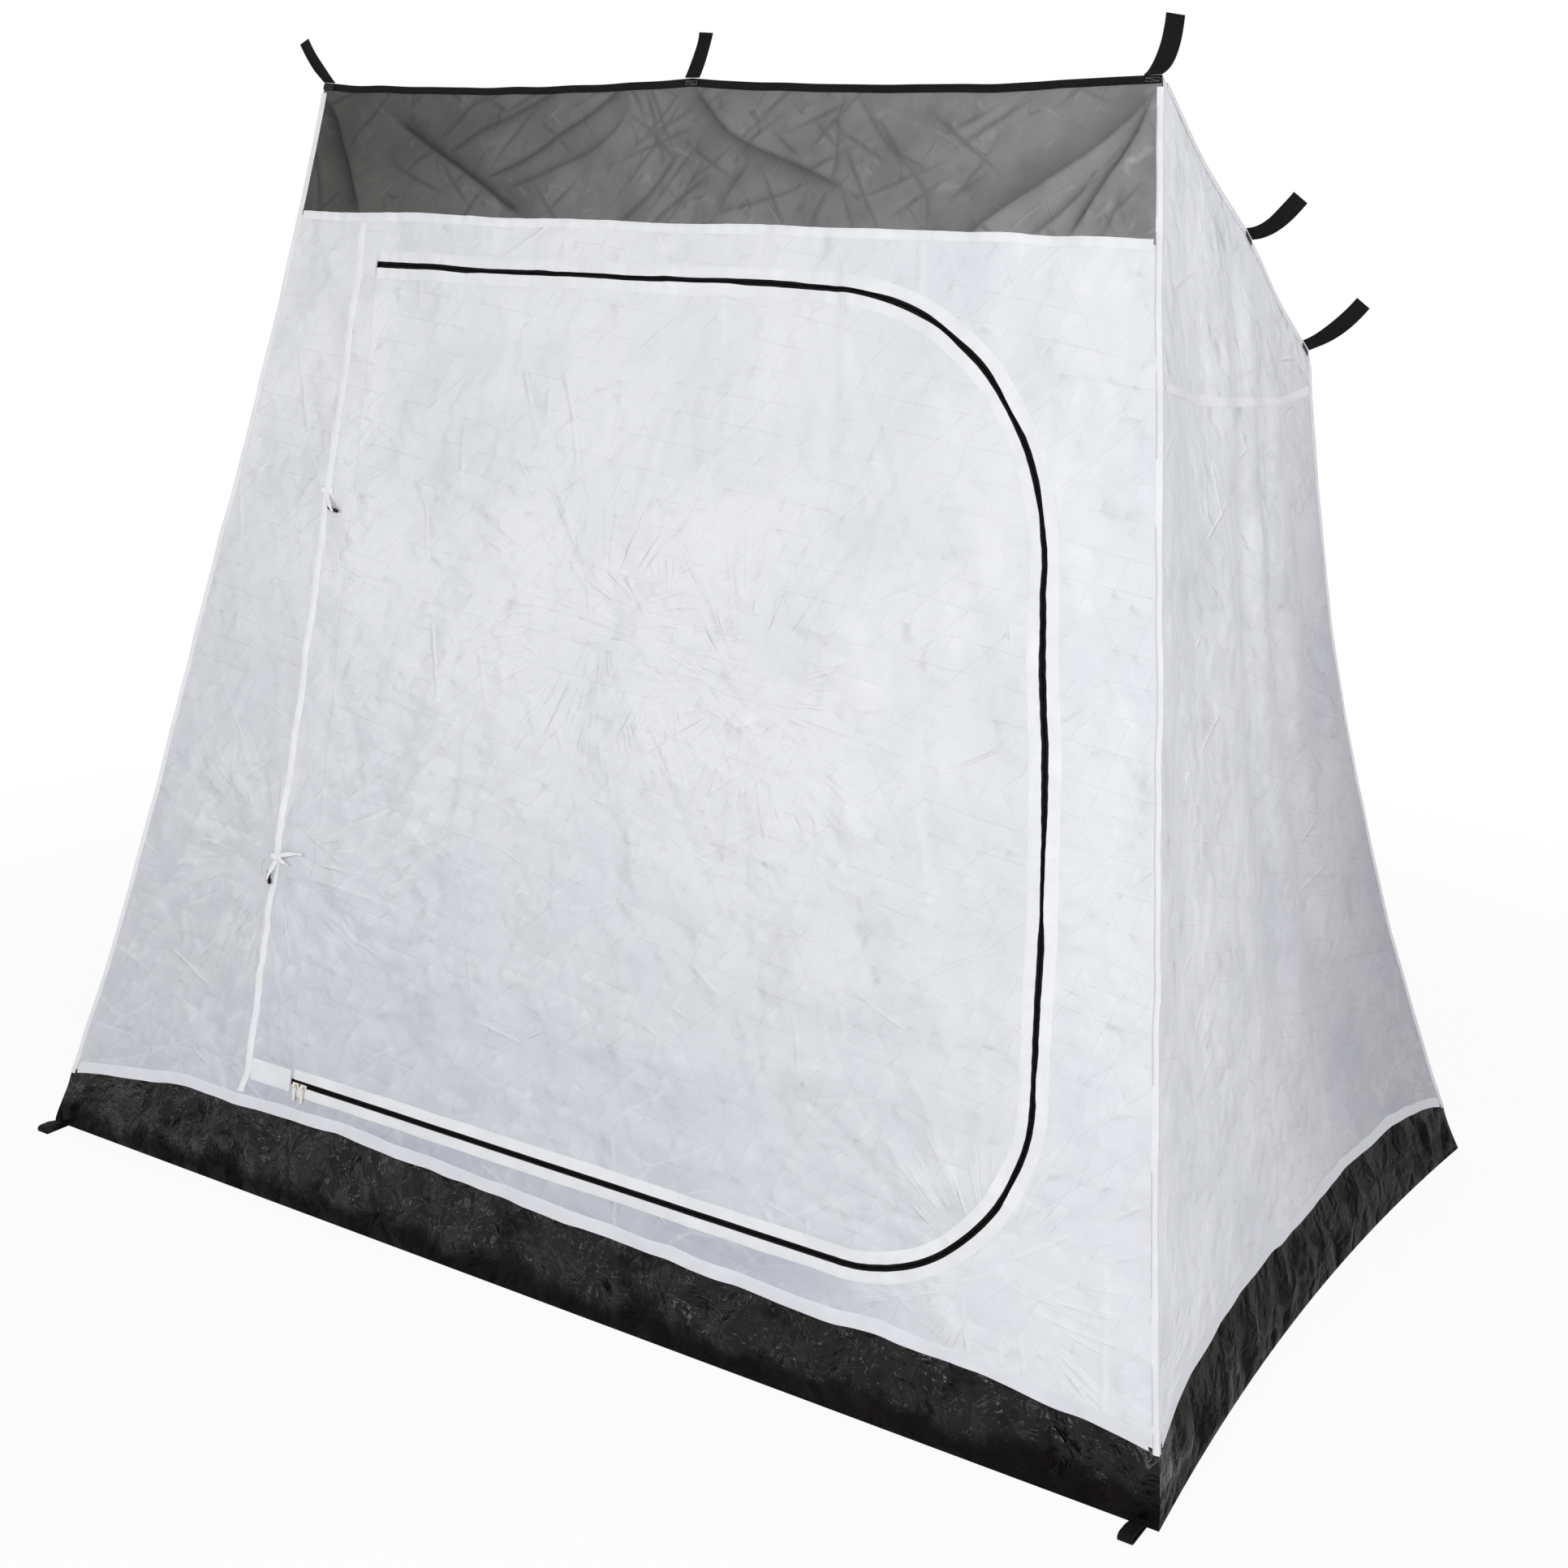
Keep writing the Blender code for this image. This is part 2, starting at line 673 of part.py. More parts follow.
def fillet(before, corner, after, radius, count):
    """Arc points at a corner between two lines, each with its outward normal."""
    first = (before - corner).normalized()
    second = (after - corner).normalized()
    half = first.angle(second) / 2
    centre = corner + (first + second).normalized() * radius / math.sin(half)
    start = corner + first * radius / math.tan(half) - centre
    sweep = math.pi - 2 * half
    made = []
    for i in range(count + 1):
        turn = -sweep * i / count
        arm = Vector((start.x * math.cos(turn) - start.y * math.sin(turn),
                      start.x * math.sin(turn) + start.y * math.cos(turn)))
        made.append((centre + arm, arm.normalized()))
    return made


def hinge_x(h):
    share = (h - ZIP_BOTTOM) / (zip_top - ZIP_BOTTOM)
    return seam_x + mix(HINGE_BOTTOM_INSET, HINGE_TOP_INSET, share)


def right_run_x(h):
    """The zip's right run, a little steeper than the corner seam."""
    return FLOOR_WIDTH / 2 - ZIP_SIDE_MARGIN - ZIP_SIDE_LEAN * h


def door_path(start):
    """The zip's centre line from the top of the hinge round to its foot."""
    first = Vector((hinge_x(zip_top) + start, zip_top))
    last = Vector((hinge_x(ZIP_BOTTOM) + start, ZIP_BOTTOM))
    high = Vector((right_run_x(zip_top), zip_top))
    low = Vector((right_run_x(ZIP_BOTTOM), ZIP_BOTTOM))
    path = [(first, Vector((0, 1)))]
    path += fillet(first, high, low, ZIP_TOP_RADIUS, 12)
    path += fillet(high, low, last, ZIP_BOTTOM_RADIUS, 12)
    path.append((last, Vector((0, -1))))
    return path


def offset_path(offset, start=0.0):
    return [tuple(point + normal * offset) for point, normal in door_path(start)]


def add_zip_band(name, near, far, low, high, material, **where):
    """A band along the zip between two distances from its centre line."""
    start = ZIP_START
    lines = [offset_path(near, start), offset_path(far, start)]
    outer = [[on_front(*a, high), on_front(*b, high)] for a, b in zip(*lines)]
    inner = [[on_front(*a, low), on_front(*b, low)] for a, b in zip(*lines)]
    return add_shell(name, outer, inner, material, **where)


def on_hinge(h):
    """The door's hinge line, just proud of the cloth."""
    return on_front(hinge_x(h), h, CLOTH / 2 + SEWN_GAP / 2)


def add_front_wall(cloth, mesh, tape, teeth):
    half, gap = CLOTH / 2, SEWN_GAP / 2
    low, high = -half, half
    left, right = foot_corner(-1), foot_corner(1)
    left_edge = edge_line(-1, tub_line_at(left), mesh_line - gap)
    right_edge = edge_line(1, tub_line_at(right), mesh_line - gap)
    add_plate("front_left_panel",
              panel_foot(left, seam_x - gap) + [(seam_x - gap, mesh_line - gap)]
              + list(reversed(left_edge[1:])),
              [], on_front, low, high, cloth)
    hole = offset_path(zip_slot)
    hole[0] = (hinge_x(hole[0][1]) - gap, hole[0][1])
    hole[-1] = (hinge_x(hole[-1][1]) - gap, hole[-1][1])
    add_plate("front_door_surround",
              panel_foot(seam_x + gap, right) + right_edge[1:] + [(seam_x + gap, mesh_line - gap)],
              [hole], on_front, low, high, cloth)

    top = [front_flat(u, 1) for u in reversed(front_top_stops())]
    top = [(x, h - FOLDED_SEAM_GAP) for x, h in top]
    add_plate("front_mesh_panel",
              edge_line(-1, mesh_line + gap, mesh_line + gap)[:1]
              + edge_line(1, mesh_line + gap, top[0][1] - FOLDED_SEAM_GAP)
              + top + list(reversed(edge_line(-1, mesh_line + gap, top[-1][1] - FOLDED_SEAM_GAP)))[:-1],
              [], on_front, low, high, mesh)

    hem_low, hem_high = mesh_line - SEAM_TAPE_WIDTH / 2, mesh_line + SEAM_TAPE_WIDTH / 2
    end = CORNER_TAPE_LEG + TAPE_END_ROOM
    hem = [(side * (front_half_width(side, h) - end), h)
           for side, h in ((-1, hem_low), (1, hem_low), (1, hem_high), (-1, hem_high))]
    add_plate("mesh_hem_tape", hem, [], on_front, layer, layer + TAPE, tape)

    width = SEAM_TAPE_WIDTH / 2
    foot = tub_line_at(seam_x) + HEM_ON_WALL + 3 * CLEARANCE
    top_end = hem_low - 2 * CLEARANCE
    add_plate("door_seam_tape",
              [(seam_x - width, foot), (seam_x + width, foot),
               (seam_x + width, top_end), (seam_x - width, top_end)],
              [], on_front, layer, layer + TAPE, tape)
    for name, h in (("upper", zip_top), ("lower", ZIP_BOTTOM)):
        start = seam_x + width + 2 * CLEARANCE
        low_h, high_h = h - PATCH_HEIGHT / 2, h + PATCH_HEIGHT / 2
        inset = ZIP_MESH_GAP
        add_plate("zip_end_patch_" + name,
                  [(start, low_h), (hinge_x(low_h) - inset, low_h),
                   (hinge_x(high_h) - inset, high_h), (start, high_h)],
                  [], on_front, layer, layer + TAPE, tape)
    middle = ZIP_MESH_GAP / 2
    side = zip_slot + ZIP_TAPE_WIDTH
    thick = ZIP_TEETH_THICKNESS / 2
    add_zip_band("zip_wall_teeth", middle, middle + ZIP_TEETH, -thick, thick, teeth)
    add_zip_band("zip_wall_tape", zip_slot, side, layer, layer + TAPE, tape)


def front_top_stops():
    width = wall_width("front", 1)
    low = FOLDED_SEAM_GAP / width
    inside = [at_stop(stop, 0, 1, width) for stop in stops(COLUMNS["front"], 0)]
    return [low] + [u for u in inside if low < u < 1 - low] + [1 - low]


def add_door(cloth, tape, teeth):
    """The door and its half of the zip, carried by the hinge line."""
    hinge = add_pivot("door_hinge", on_hinge(ZIP_BOTTOM))
    where = {"origin": hinge.location, "parent": hinge}
    gap, half = SEWN_GAP / 2, CLOTH / 2
    outline = offset_path(-zip_slot)
    outline[0] = (hinge_x(outline[0][1]) + gap, outline[0][1])
    outline[-1] = (hinge_x(outline[-1][1]) + gap, outline[-1][1])
    add_plate("door_panel", outline, [], on_front, -half, half, cloth, **where)
    middle = ZIP_MESH_GAP / 2
    side = zip_slot + ZIP_TAPE_WIDTH
    thick = ZIP_TEETH_THICKNESS / 2
    add_zip_band("zip_door_teeth", -middle, -middle - ZIP_TEETH, -thick, thick, teeth, **where)
    add_zip_band("zip_door_tape", -zip_slot, -side, layer, layer + TAPE, tape, **where)


# Zip sliders and pulls
def slider_rest(index):
    """The middle of a parked slider on the zip's lower run."""
    return hinge_x(ZIP_BOTTOM) + ZIP_START + SLIDER_LENGTH / 2 + index * SLIDER_SPACING


def pull_axis():
    """The pull's pin line: its distance below the zip's centre and out from the wall."""
    deck = ZIP_TEETH_THICKNESS / 2 + SLIDER_CLEARANCE + SLIDER_WALL
    return BRIDGE_DROP, deck + PULL_THICKNESS / 2 + 2 * SLIDER_CLEARANCE


def add_slider(name, index, metal, parent):
    """A slider round the wall's half of the teeth, with the bridge that its pull hangs on."""
    x = slider_rest(index)
    origin = on_front(x, ZIP_BOTTOM)
    under = ZIP_TEETH_THICKNESS / 2 + SLIDER_CLEARANCE
    over = under + SLIDER_WALL
    post = SLIDER_POST / 2
    plate_end = SLIDER_WIDTH - post
    lower_end = zip_slot - SEWN_GAP

    def across(d, n, along):
        return on_front(x + along, ZIP_BOTTOM - d, n)

    half = SLIDER_LENGTH / 2
    channel = [(-post, -over), (lower_end, -over), (lower_end, -under), (post, -under),
               (post, under), (plate_end, under), (plate_end, over), (-post, over)]
    body = add_plate(name, channel, [], across, -half, half, metal, origin=origin, parent=parent)
    d, n = pull_axis()
    room = 2 * SLIDER_CLEARANCE + PULL_THICKNESS / 2
    near, far = d - room - SLIDER_CLEARANCE, d + 2 * room
    near_leg, far_leg = near - BRIDGE_BAR, far + BRIDGE_BAR
    sunk = over - SLIDER_WALL / 2
    crown = n + room
    arch = [(near_leg, sunk), (near, sunk), (near, crown), (far, crown), (far, sunk),
            (far_leg, sunk), (far_leg, crown + BRIDGE_BAR), (near_leg, crown + BRIDGE_BAR)]
    bridge = add_plate(name + "_bridge", arch, [], across, -BRIDGE_THICKNESS / 2,
                       BRIDGE_THICKNESS / 2, metal, origin=origin, parent=parent)
    bridge.hide_render = True
    bridge.display_type = "WIRE"
    union = body.modifiers.new("bridge", "BOOLEAN")
    union.operation = "UNION"
    union.solver = "EXACT"
    union.object = bridge
    return body


def add_pull(name, index, metal, slider):
    """A narrow tab whose eye goes round the slider's bridge."""
    x = slider_rest(index)
    d, n = pull_axis()
    bar = PULL_THICKNESS / 2
    eye = d + 2 * (2 * SLIDER_CLEARANCE + bar) + BRIDGE_BAR + EYE_SLACK
    half_eye = BRIDGE_THICKNESS / 2 + 2 * SLIDER_CLEARANCE
    half = PULL_WIDTH / 2
    end = d + PULL_LENGTH
    neck = PULL_NECK_WIDTH / 2
    shoulder = eye + PULL_NECK_DROP
    tip = [(half * math.sin(a), end - half + half * math.cos(a))
           for a in (math.radians(deg) for deg in range(90, -91, -30))]
    outline = [(-half, d - bar), (half, d - bar), (half, eye + bar), (neck, shoulder)] + tip
    outline += [(-neck, shoulder), (-half, eye + bar)]
    hole = [(-half_eye, d + bar), (half_eye, d + bar), (half_eye, eye), (-half_eye, eye)]

    def into_space(a, b, out):
        return on_front(x + a, ZIP_BOTTOM - b, out)

    return add_plate(name, outline, [hole], into_space, n - bar, n + bar, metal,
                     origin=on_front(x, ZIP_BOTTOM - d, n), parent=slider)


# Toggles on the door seam
def seam_top():
    return layer + TAPE + CLEARANCE


def toggle_base(name):
    """Where a toggle's ribbon leaves its tab: on the seam, clear of the tab's end."""
    return seam_x, TOGGLE_HEIGHTS[name] - TAB_HEIGHT / 2 - 2 * CLEARANCE


def toggle_frame(name):
    turn = TOGGLE_TURNS[name]
    along = Vector((math.sin(turn), -math.cos(turn)))
    across = Vector((math.cos(turn), math.sin(turn)))
    return along, across


def add_toggle(name, white, black):
    """A tab sewn over the seam, a ribbon hanging from it and a barred toggle at its end."""
    low = seam_top()
    half, tall = TAB_LENGTH / 2, TAB_HEIGHT / 2
    h = TOGGLE_HEIGHTS[name]
    add_plate("toggle_tab_" + name,
              [(seam_x - half, h - tall), (seam_x + half, h - tall),
               (seam_x + half, h + tall), (seam_x - half, h + tall)],
              [], on_front, low, low + TAPE, white)
    base = Vector(toggle_base(name))
    along, across = toggle_frame(name)
    base -= Vector((0, RIBBON_WIDTH / 2 * abs(math.sin(TOGGLE_TURNS[name]))))
    root = on_front(*base, low + TAPE / 2)
    bar_rise = low + BAR_RADIUS
    ribbon_rise = bar_rise + BAR_RADIUS + CLEARANCE
    outer, inner = [], []
    steps = 8
    for i in range(steps + 1):
        s = i / steps
        spot = base + along * RIBBON_LENGTH * s
        out = mix(low, ribbon_rise, ease(s * 1.4))
        wide = (RIBBON_WIDTH if i < steps else RIBBON_TIP_WIDTH) / 2
        line = [spot - across * wide, spot + across * wide]
        outer.append([on_front(*p, out + TAPE) for p in line])
        inner.append([on_front(*p, out) for p in line])
    pivot = add_pivot("toggle_pivot_" + name, root)
    add_shell("toggle_ribbon_" + name, outer, inner, white, origin=root, parent=pivot)

    centre = base + along * (RIBBON_LENGTH - RIBBON_WIDTH / 2)
    lean = along.copy()
    lean.rotate(Matrix.Rotation(BAR_LEAN, 2))
    axis = Vector((lean.x, 0, 0)) + UP * lean.y
    side = axis.cross(OUT).normalized()
    profile = [(-0.5, 0.72), (-0.42, 0.9), (-0.16, 1.0), (-0.08, BAR_WAIST / BAR_RADIUS),
               (0.08, BAR_WAIST / BAR_RADIUS), (0.16, 1.0), (0.42, 0.9), (0.5, 0.72)]
    middle = on_front(*centre, bar_rise)
    rings, sides = [], 10
    for share, size in profile:
        ring = []
        for i in range(sides):
            angle = math.tau * i / sides
            arm = side * math.cos(angle) + OUT * math.sin(angle)
            ring.append(middle + axis * share * BAR_LENGTH + arm * size * BAR_RADIUS)
        rings.append(ring)
    add_loft("toggle_bar_" + name, rings, black, origin=root, parent=pivot)


def add_loft(name, rings, material, **where):
    """A closed form through rings that have the same number of points."""
    sides = len(rings[0])
    points = [point for ring in rings for point in ring]
    faces = [tuple(range(sides))]
    for ring in range(len(rings) - 1):
        for i in range(sides):
            a, b = ring * sides + i, ring * sides + (i + 1) % sides
            faces.append((a, a + sides, b + sides, b))
    faces.append(tuple(reversed(range(len(points) - sides, len(points)))))
    return add_solid(name, points, faces, material, **where)


def add_cord_loop(name, white):
    """The elastic loop beside the lower toggle, flat on the wall and sewn in at both ends."""
    h = TOGGLE_HEIGHTS[name] - TAB_HEIGHT / 2 - CORD_RADIUS - 2 * CLEARANCE
    out = layer + CORD_RADIUS
    left = seam_x - SEAM_TAPE_WIDTH / 2
    rings, sides, steps = [], 6, 16
    centre = Vector((left - CORD_LOOP, h - CORD_LOOP))
    path = [(Vector((left - CORD_RADIUS - CLEARANCE, h)), Vector((0, 1)))]
    for i in range(steps + 1):
        angle = mix(math.radians(80), math.radians(300), i / steps)
        arm = Vector((math.cos(angle), math.sin(angle)))
        flat = Vector((arm.x * CORD_LOOP_SQUEEZE, arm.y)) * CORD_LOOP
        path.append((centre + flat, arm))
    for spot, arm in path:
        ring = []
        for k in range(sides):
            turn = math.tau * k / sides
            flat = spot + arm * CORD_RADIUS * math.cos(turn)
            ring.append(on_front(*flat, out + CORD_RADIUS * math.sin(turn)))
        rings.append(ring)
    add_loft("toggle_loop_" + name, rings, white)


# Webbing
def add_strap(name, base, rise, across, tip_across, length, bend, material):
    """A webbing strap that stands up from its stitched foot, twisting and bending to its tip."""
    steps = 6
    outer, inner = [], []
    for i in range(steps + 1):
        s = i / steps
        point = base + rise * length * s + bend * s * s
        tangent = (rise * length + bend * 2 * s).normalized()
        wide = mix(across, tip_across, ease(s))
        square = wide - tangent * wide.dot(tangent)
        wide = mix(wide, square, ease(2 * s)).normalized()
        face = wide.cross(tangent).normalized()
        ends = [point - wide * STRAP_WIDTH / 2, point + wide * STRAP_WIDTH / 2]
        outer.append([end + face * WEBBING / 2 for end in ends])
        inner.append([end - face * WEBBING / 2 for end in ends])
    pivot = add_pivot(name + "_pivot", base)
    add_shell(name, outer, inner, material, origin=base, parent=pivot)


def strap_foot(wall, u, on_roof):
    """A point just off the tape on a top edge, and the direction of that edge."""
    normal = wall_normal(wall, u, 1)
    other = wall_normal("roof", *on_roof)
    corner = (normal + other) / (1 + normal.dot(other))
    foot = on_wall(wall, u, 1) + corner * (layer + TAPE) + corner.normalized() * STRAP_STANDOFF
    step = STRAP_WIDTH / 2 / wall_width(wall, 1)
    edge = on_wall(wall, min(u + step, 1), 1) - on_wall(wall, max(u - step, 0), 1)
    return foot, edge.normalized()


def add_straps(material):
    """The front straps, then one on the middle and one on the back end of each roof side."""
    inset = (STRAP_WIDTH / 2 + CLEARANCE) / (2 * front_half_width(1, front_slope))
    front = {"left": (inset, Vector((-0.63, -0.31, 0.71)), Vector((0.94, 0.02, -0.35)),
                      0.084, Vector((0.025, 0.009, -0.008))),
             "middle": (0.5, Vector((0.27, 0.33, 0.90)), Vector((0.85, -0.08, 0.52)),
                        0.090, Vector((-0.011, -0.016, -0.018))),
             "right": (1 - inset, Vector((0.63, 0.58, 0.51)), Vector((0.80, 0.58, -0.10)),
                       0.049, Vector((-0.020, 0.004, 0.051)))}
    for name, (u, rise, tip, length, bend) in front.items():
        foot, edge = strap_foot("front", u, (u, 0))
        add_strap("strap_front_" + name, foot, rise.normalized(), edge, tip.normalized(),
                  length, bend, material)
    back = 1 - (STRAP_WIDTH / 2 + top_room) / wall_width("right", 1)
    places = {"side": (strap_fraction, (0.84, 0.54, 0.10), (0.81, 0.56, 0.18),
                       0.062, (0.001, 0.014, 0.045)),
              "back": (back, (0.77, 0.56, 0.32), (-0.75, -0.25, 0.61),
                       0.089, (-0.006, 0.009, 0.035))}
    for side, name in ((1, "right"), (-1, "left")):
        mirror = Vector((side, 1, 1))
        for place_name, (share, rise, tip, length, bend) in places.items():
            u = share if side > 0 else 1 - share
            foot, edge = strap_foot(name, u, (max(side, 0), share))
            across = edge * side
            if across.dot(Vector(tip) * mirror) < 0:
                across.negate()
            add_strap(f"strap_{place_name}_{name}", foot, (Vector(rise) * mirror).normalized(),
                      across, (Vector(tip) * mirror).normalized(), length,
                      Vector(bend) * mirror, material)


def loop_section():
    """A peg loop from the side: out along the ground, round its end and back over itself."""
    layers = WEBBING / 2 + CLEARANCE
    far = LOOP_LENGTH - LOOP_RADIUS - WEBBING / 2
    centre = WEBBING / 2 + LOOP_RADIUS + CLEARANCE
    line = [(0.0, layers)] + [(share * far, centre - LOOP_RADIUS) for share in LOOP_LOW_RUN]
    for i in range(7):
        angle = mix(-90, 90, i / 6)
        line.append((far + LOOP_RADIUS * math.cos(math.radians(angle)),
                     centre + LOOP_RADIUS * math.sin(math.radians(angle))))
    high, near = LOOP_HIGH_RUN
    line += [(high * far, centre + LOOP_RADIUS),
             (near * far, centre + LOOP_RADIUS * LOOP_FOOT_RISE),
             (0.0, layers + WEBBING + CLEARANCE)]
    return line


def add_peg_loop(name, foot, outward, sideways, material):
    """A peg loop from a point on the ground; it turns about the top of its sewn end."""
    line = [Vector(point) for point in loop_section()]
    outer, inner = [], []
    for i, point in enumerate(line):
        run = line[min(i + 1, len(line) - 1)] - line[max(i - 1, 0)]
        face = Vector((-run.y, run.x)).normalized() * WEBBING / 2
        for spot, rows in ((point + face, outer), (point - face, inner)):
            here = foot + outward * spot.x + Vector((0, 0, spot.y))
            rows.append([here, here + sideways * LOOP_WIDTH])
    sewn = foot + Vector((0, 0, line[-1].y + WEBBING / 2))
    pivot = add_pivot(name + "_pivot", sewn)
    add_shell(name, outer, inner, material, origin=sewn, parent=pivot)


def add_peg_loops(material):
    """The front loops lie outwards; the back ones lie folded along the tub's foot."""
    for side, name in ((1, "right"), (-1, "left")):
        corner = FLOOR_WIDTH / 2 - EDGE_BAND
        foot = Vector((side * corner, -FLOOR_DEPTH / 2 - CLEARANCE, 0))
        inward = Vector((-side, 0, 0))
        add_peg_loop("peg_loop_front_" + name, foot, Vector((0, -1, 0)), inward, material)
        foot = Vector((side * corner, FLOOR_DEPTH / 2 + CLEARANCE, 0))
        add_peg_loop("peg_loop_back_" + name, foot, inward, Vector((0, 1, 0)), material)


# Pocket
def on_panel(grid, column, height):
    """The point of a panel's flat facets at a place among its columns and at a height."""
    low = min(int(column), len(grid[0]) - 2)
    found = []
    for place in (low, low + 1):
        line = [row[place] for row in grid]
        for below, above in zip(line, line[1:]):
            if height <= above.z:
                break
        found.append(mix(below, above, (height - below.z) / (above.z - below.z)))
    return mix(found[0], found[1], column - low)


def add_pocket(material):
    """A sheet sewn to the wall at its sides, foot and middle, and slack at its mouth."""
    places = wall_grid("right", stops(SIDE_COLUMNS, FOLDED_SEAM_GAP), lower_rows(),
                       tub_edge, cross_seam)
    panel = [[on_wall("right", u, v) for u, v in line] for line in places]
    inward = Vector((-1, 0, -SIDE_LEAN)).normalized()
    outer, inner = [], []
    for row in range(POCKET_ROWS + 1):
        t = row / POCKET_ROWS
        line_out, line_in = [], []
        for step in range(POCKET_STEPS + 1):
            s = step / POCKET_STEPS
            column = mix(POCKET_START, POCKET_END, s) + 1
            point = on_panel(panel, column, POCKET_BASE + POCKET_HEIGHT * t)
            point += inward * POCKET_SWELL * math.sin(math.tau * s) ** 2 * ease(t * 1.3)
            line_out.append(point + inward * (POCKET_SEWN - CLOTH / 2))
            line_in.append(point + inward * (POCKET_SEWN + CLOTH / 2))
        outer.append(line_out)
        inner.append(line_in)
    add_shell("inner_pocket", outer, inner, material)


def build():
    clear_scene()
    white = finish("white_polyester", (0.80, 0.80, 0.82), 0.6)
    tape = finish("white_tape", (0.86, 0.86, 0.88), 0.55)
    net = finish("mosquito_mesh", (0.17, 0.17, 0.17), 0.7)
    poly = finish("black_groundsheet", (0.012, 0.011, 0.011), 0.3)
    webbing = finish("black_webbing", (0.014, 0.014, 0.015), 0.6)
    teeth = finish("black_zip", (0.012, 0.012, 0.012), 0.4)
    nickel = finish("nickel", (0.72, 0.68, 0.62), 0.25, 1.0)
    plastic = finish("black_plastic", (0.015, 0.013, 0.014), 0.35)

    def edge(wall, u):
        return 1.0

    add_groundsheet(poly)
    add_front_wall(white, net, tape, teeth)
    for wall in ("right", "left"):
        add_wall_panel(wall + "_wall_lower", wall, lower_rows(), tub_edge, cross_seam, white)
        add_wall_panel(wall + "_wall_upper", wall, upper_rows(), cross_seam, edge, white)
        half = SEAM_TAPE_WIDTH / 2
        add_wall_tape(wall + "_cross_seam_tape", wall, cross_seam, half, half, tape)
    rise = back_seam_stops()
    back_rows = [((v - rise[0]) / (rise[-1] - rise[0]), 0) for v in rise]

    def back_low(wall, u):
        return tub_edge(wall, u) + FOOT_GAP / wall_rise(wall, u)

    def back_high(wall, u):
        return 1 - FOLDED_SEAM_GAP / wall_rise(wall, u)

    add_wall_panel("back_wall", "back", back_rows, back_low, back_high, white)
    roof_rows = stops(SIDE_COLUMNS, FOLDED_SEAM_GAP)
    add_wall_panel("roof_panel", "roof", roof_rows, lambda wall, u: 0.0, edge, white)
    for wall in ROUND:
        add_wall_tape("tub_hem_" + wall, wall, tub_edge, HEM_ON_TUB, HEM_ON_WALL, tape)
    add_corner_tapes(tape)
    add_top_tapes(webbing, tape)
    add_door(white, tape, teeth)
    trailing = add_slider("zip_slider_trailing", 0, nickel, None)
    leading = add_slider("zip_slider_leading", 1, nickel, trailing)
    add_pull("zip_pull_trailing", 0, nickel, trailing)
    add_pull("zip_pull_leading", 1, nickel, leading)
    for name in TOGGLE_HEIGHTS:
        add_toggle(name, tape, plastic)
    add_cord_loop("lower", tape)
    add_straps(webbing)
    add_peg_loops(webbing)
    add_pocket(white)
    bpy.context.view_layer.update()


build()
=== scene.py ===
"""Looks of the inner tent: cloth, tapes, zip, webbing and studio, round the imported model.

Lengths are metres and +Z is up. A wall is described by two fractions, u along it and v up it,
as in the part's source; the front wall is flat, and uses x across and h up its slope. Every
layer of a wall is laid out from the same surface, so tapes and stitches follow its creases.
"""
import itertools
import json
import math

import bpy
import numpy as np
from mathutils import Matrix, Vector
from mathutils.geometry import delaunay_2d_cdt
from mathutils.kdtree import KDTree


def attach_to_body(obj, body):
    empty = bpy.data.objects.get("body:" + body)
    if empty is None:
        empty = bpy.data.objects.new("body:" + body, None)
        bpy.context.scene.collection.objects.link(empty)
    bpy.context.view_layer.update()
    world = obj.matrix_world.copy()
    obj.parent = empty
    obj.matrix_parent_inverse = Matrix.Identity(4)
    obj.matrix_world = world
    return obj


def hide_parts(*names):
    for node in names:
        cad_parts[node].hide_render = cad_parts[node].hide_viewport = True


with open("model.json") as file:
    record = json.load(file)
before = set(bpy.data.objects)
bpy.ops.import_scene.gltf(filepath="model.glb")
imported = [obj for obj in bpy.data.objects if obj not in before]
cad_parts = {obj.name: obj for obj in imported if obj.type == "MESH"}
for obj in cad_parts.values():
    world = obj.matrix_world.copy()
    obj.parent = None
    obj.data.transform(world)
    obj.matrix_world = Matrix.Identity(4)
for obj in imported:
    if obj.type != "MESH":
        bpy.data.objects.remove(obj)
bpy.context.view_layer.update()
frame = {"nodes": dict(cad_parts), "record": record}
BODY = {node: body for body, nodes in frame["record"]["behaviour"]["bodies"].items()
        for node in nodes}

# Cabin, as in the part's source
FLOOR_WIDTH = 2.10
FLOOR_DEPTH = 1.40
FRONT_HEIGHT = 1.78
BACK_HEIGHT = 1.415
SIDE_LEAN = 0.1765
FRONT_SETBACK = 0.412
BACK_SETBACK = 0.498
FRONT_LEFT_PULL = 0.032
FRONT_RIGHT_PULL = 0.003
BACK_PULL_ACROSS = 0.045
BACK_PULL_DEEP = 0.034
FLOOR_SIDE_PULL = 0.037
TOP_SAG = 0.010
BACK_TOP_SAG = 0.018
ROOF_EDGE_SAG = 0.005
ROOF_SAG = 0.022
FOLD_DEPTH = 0.0065
FOLD_WAVES = 4
BACK_FOLD_WAVES = 5
EDGE_BAND = 0.016
STRAP_SHARE = 9 / 17        # the roof edge strap's place along the side
SIDE_SEAM_DROP = 0.049
SIDE_SEAM_RISE = 0.031
SIDE_SEAM_SAG = 0.022

CLOTH = 0.0006
GROUNDSHEET = 0.0008
TAPE = 0.0005
CLEARANCE = 0.0005
SEWN_GAP = 0.0003
FOLDED_SEAM_GAP = 0.0012
CORNER_TAPE_LEG = 0.008
TOP_BINDING_LEG = 0.009
SEAM_TAPE_WIDTH = 0.014
TAPE_END_ROOM = 0.0025
HEM_ON_WALL = 0.015
HEM_ON_TUB = 0.006
FOOT_GAP = 0.0007

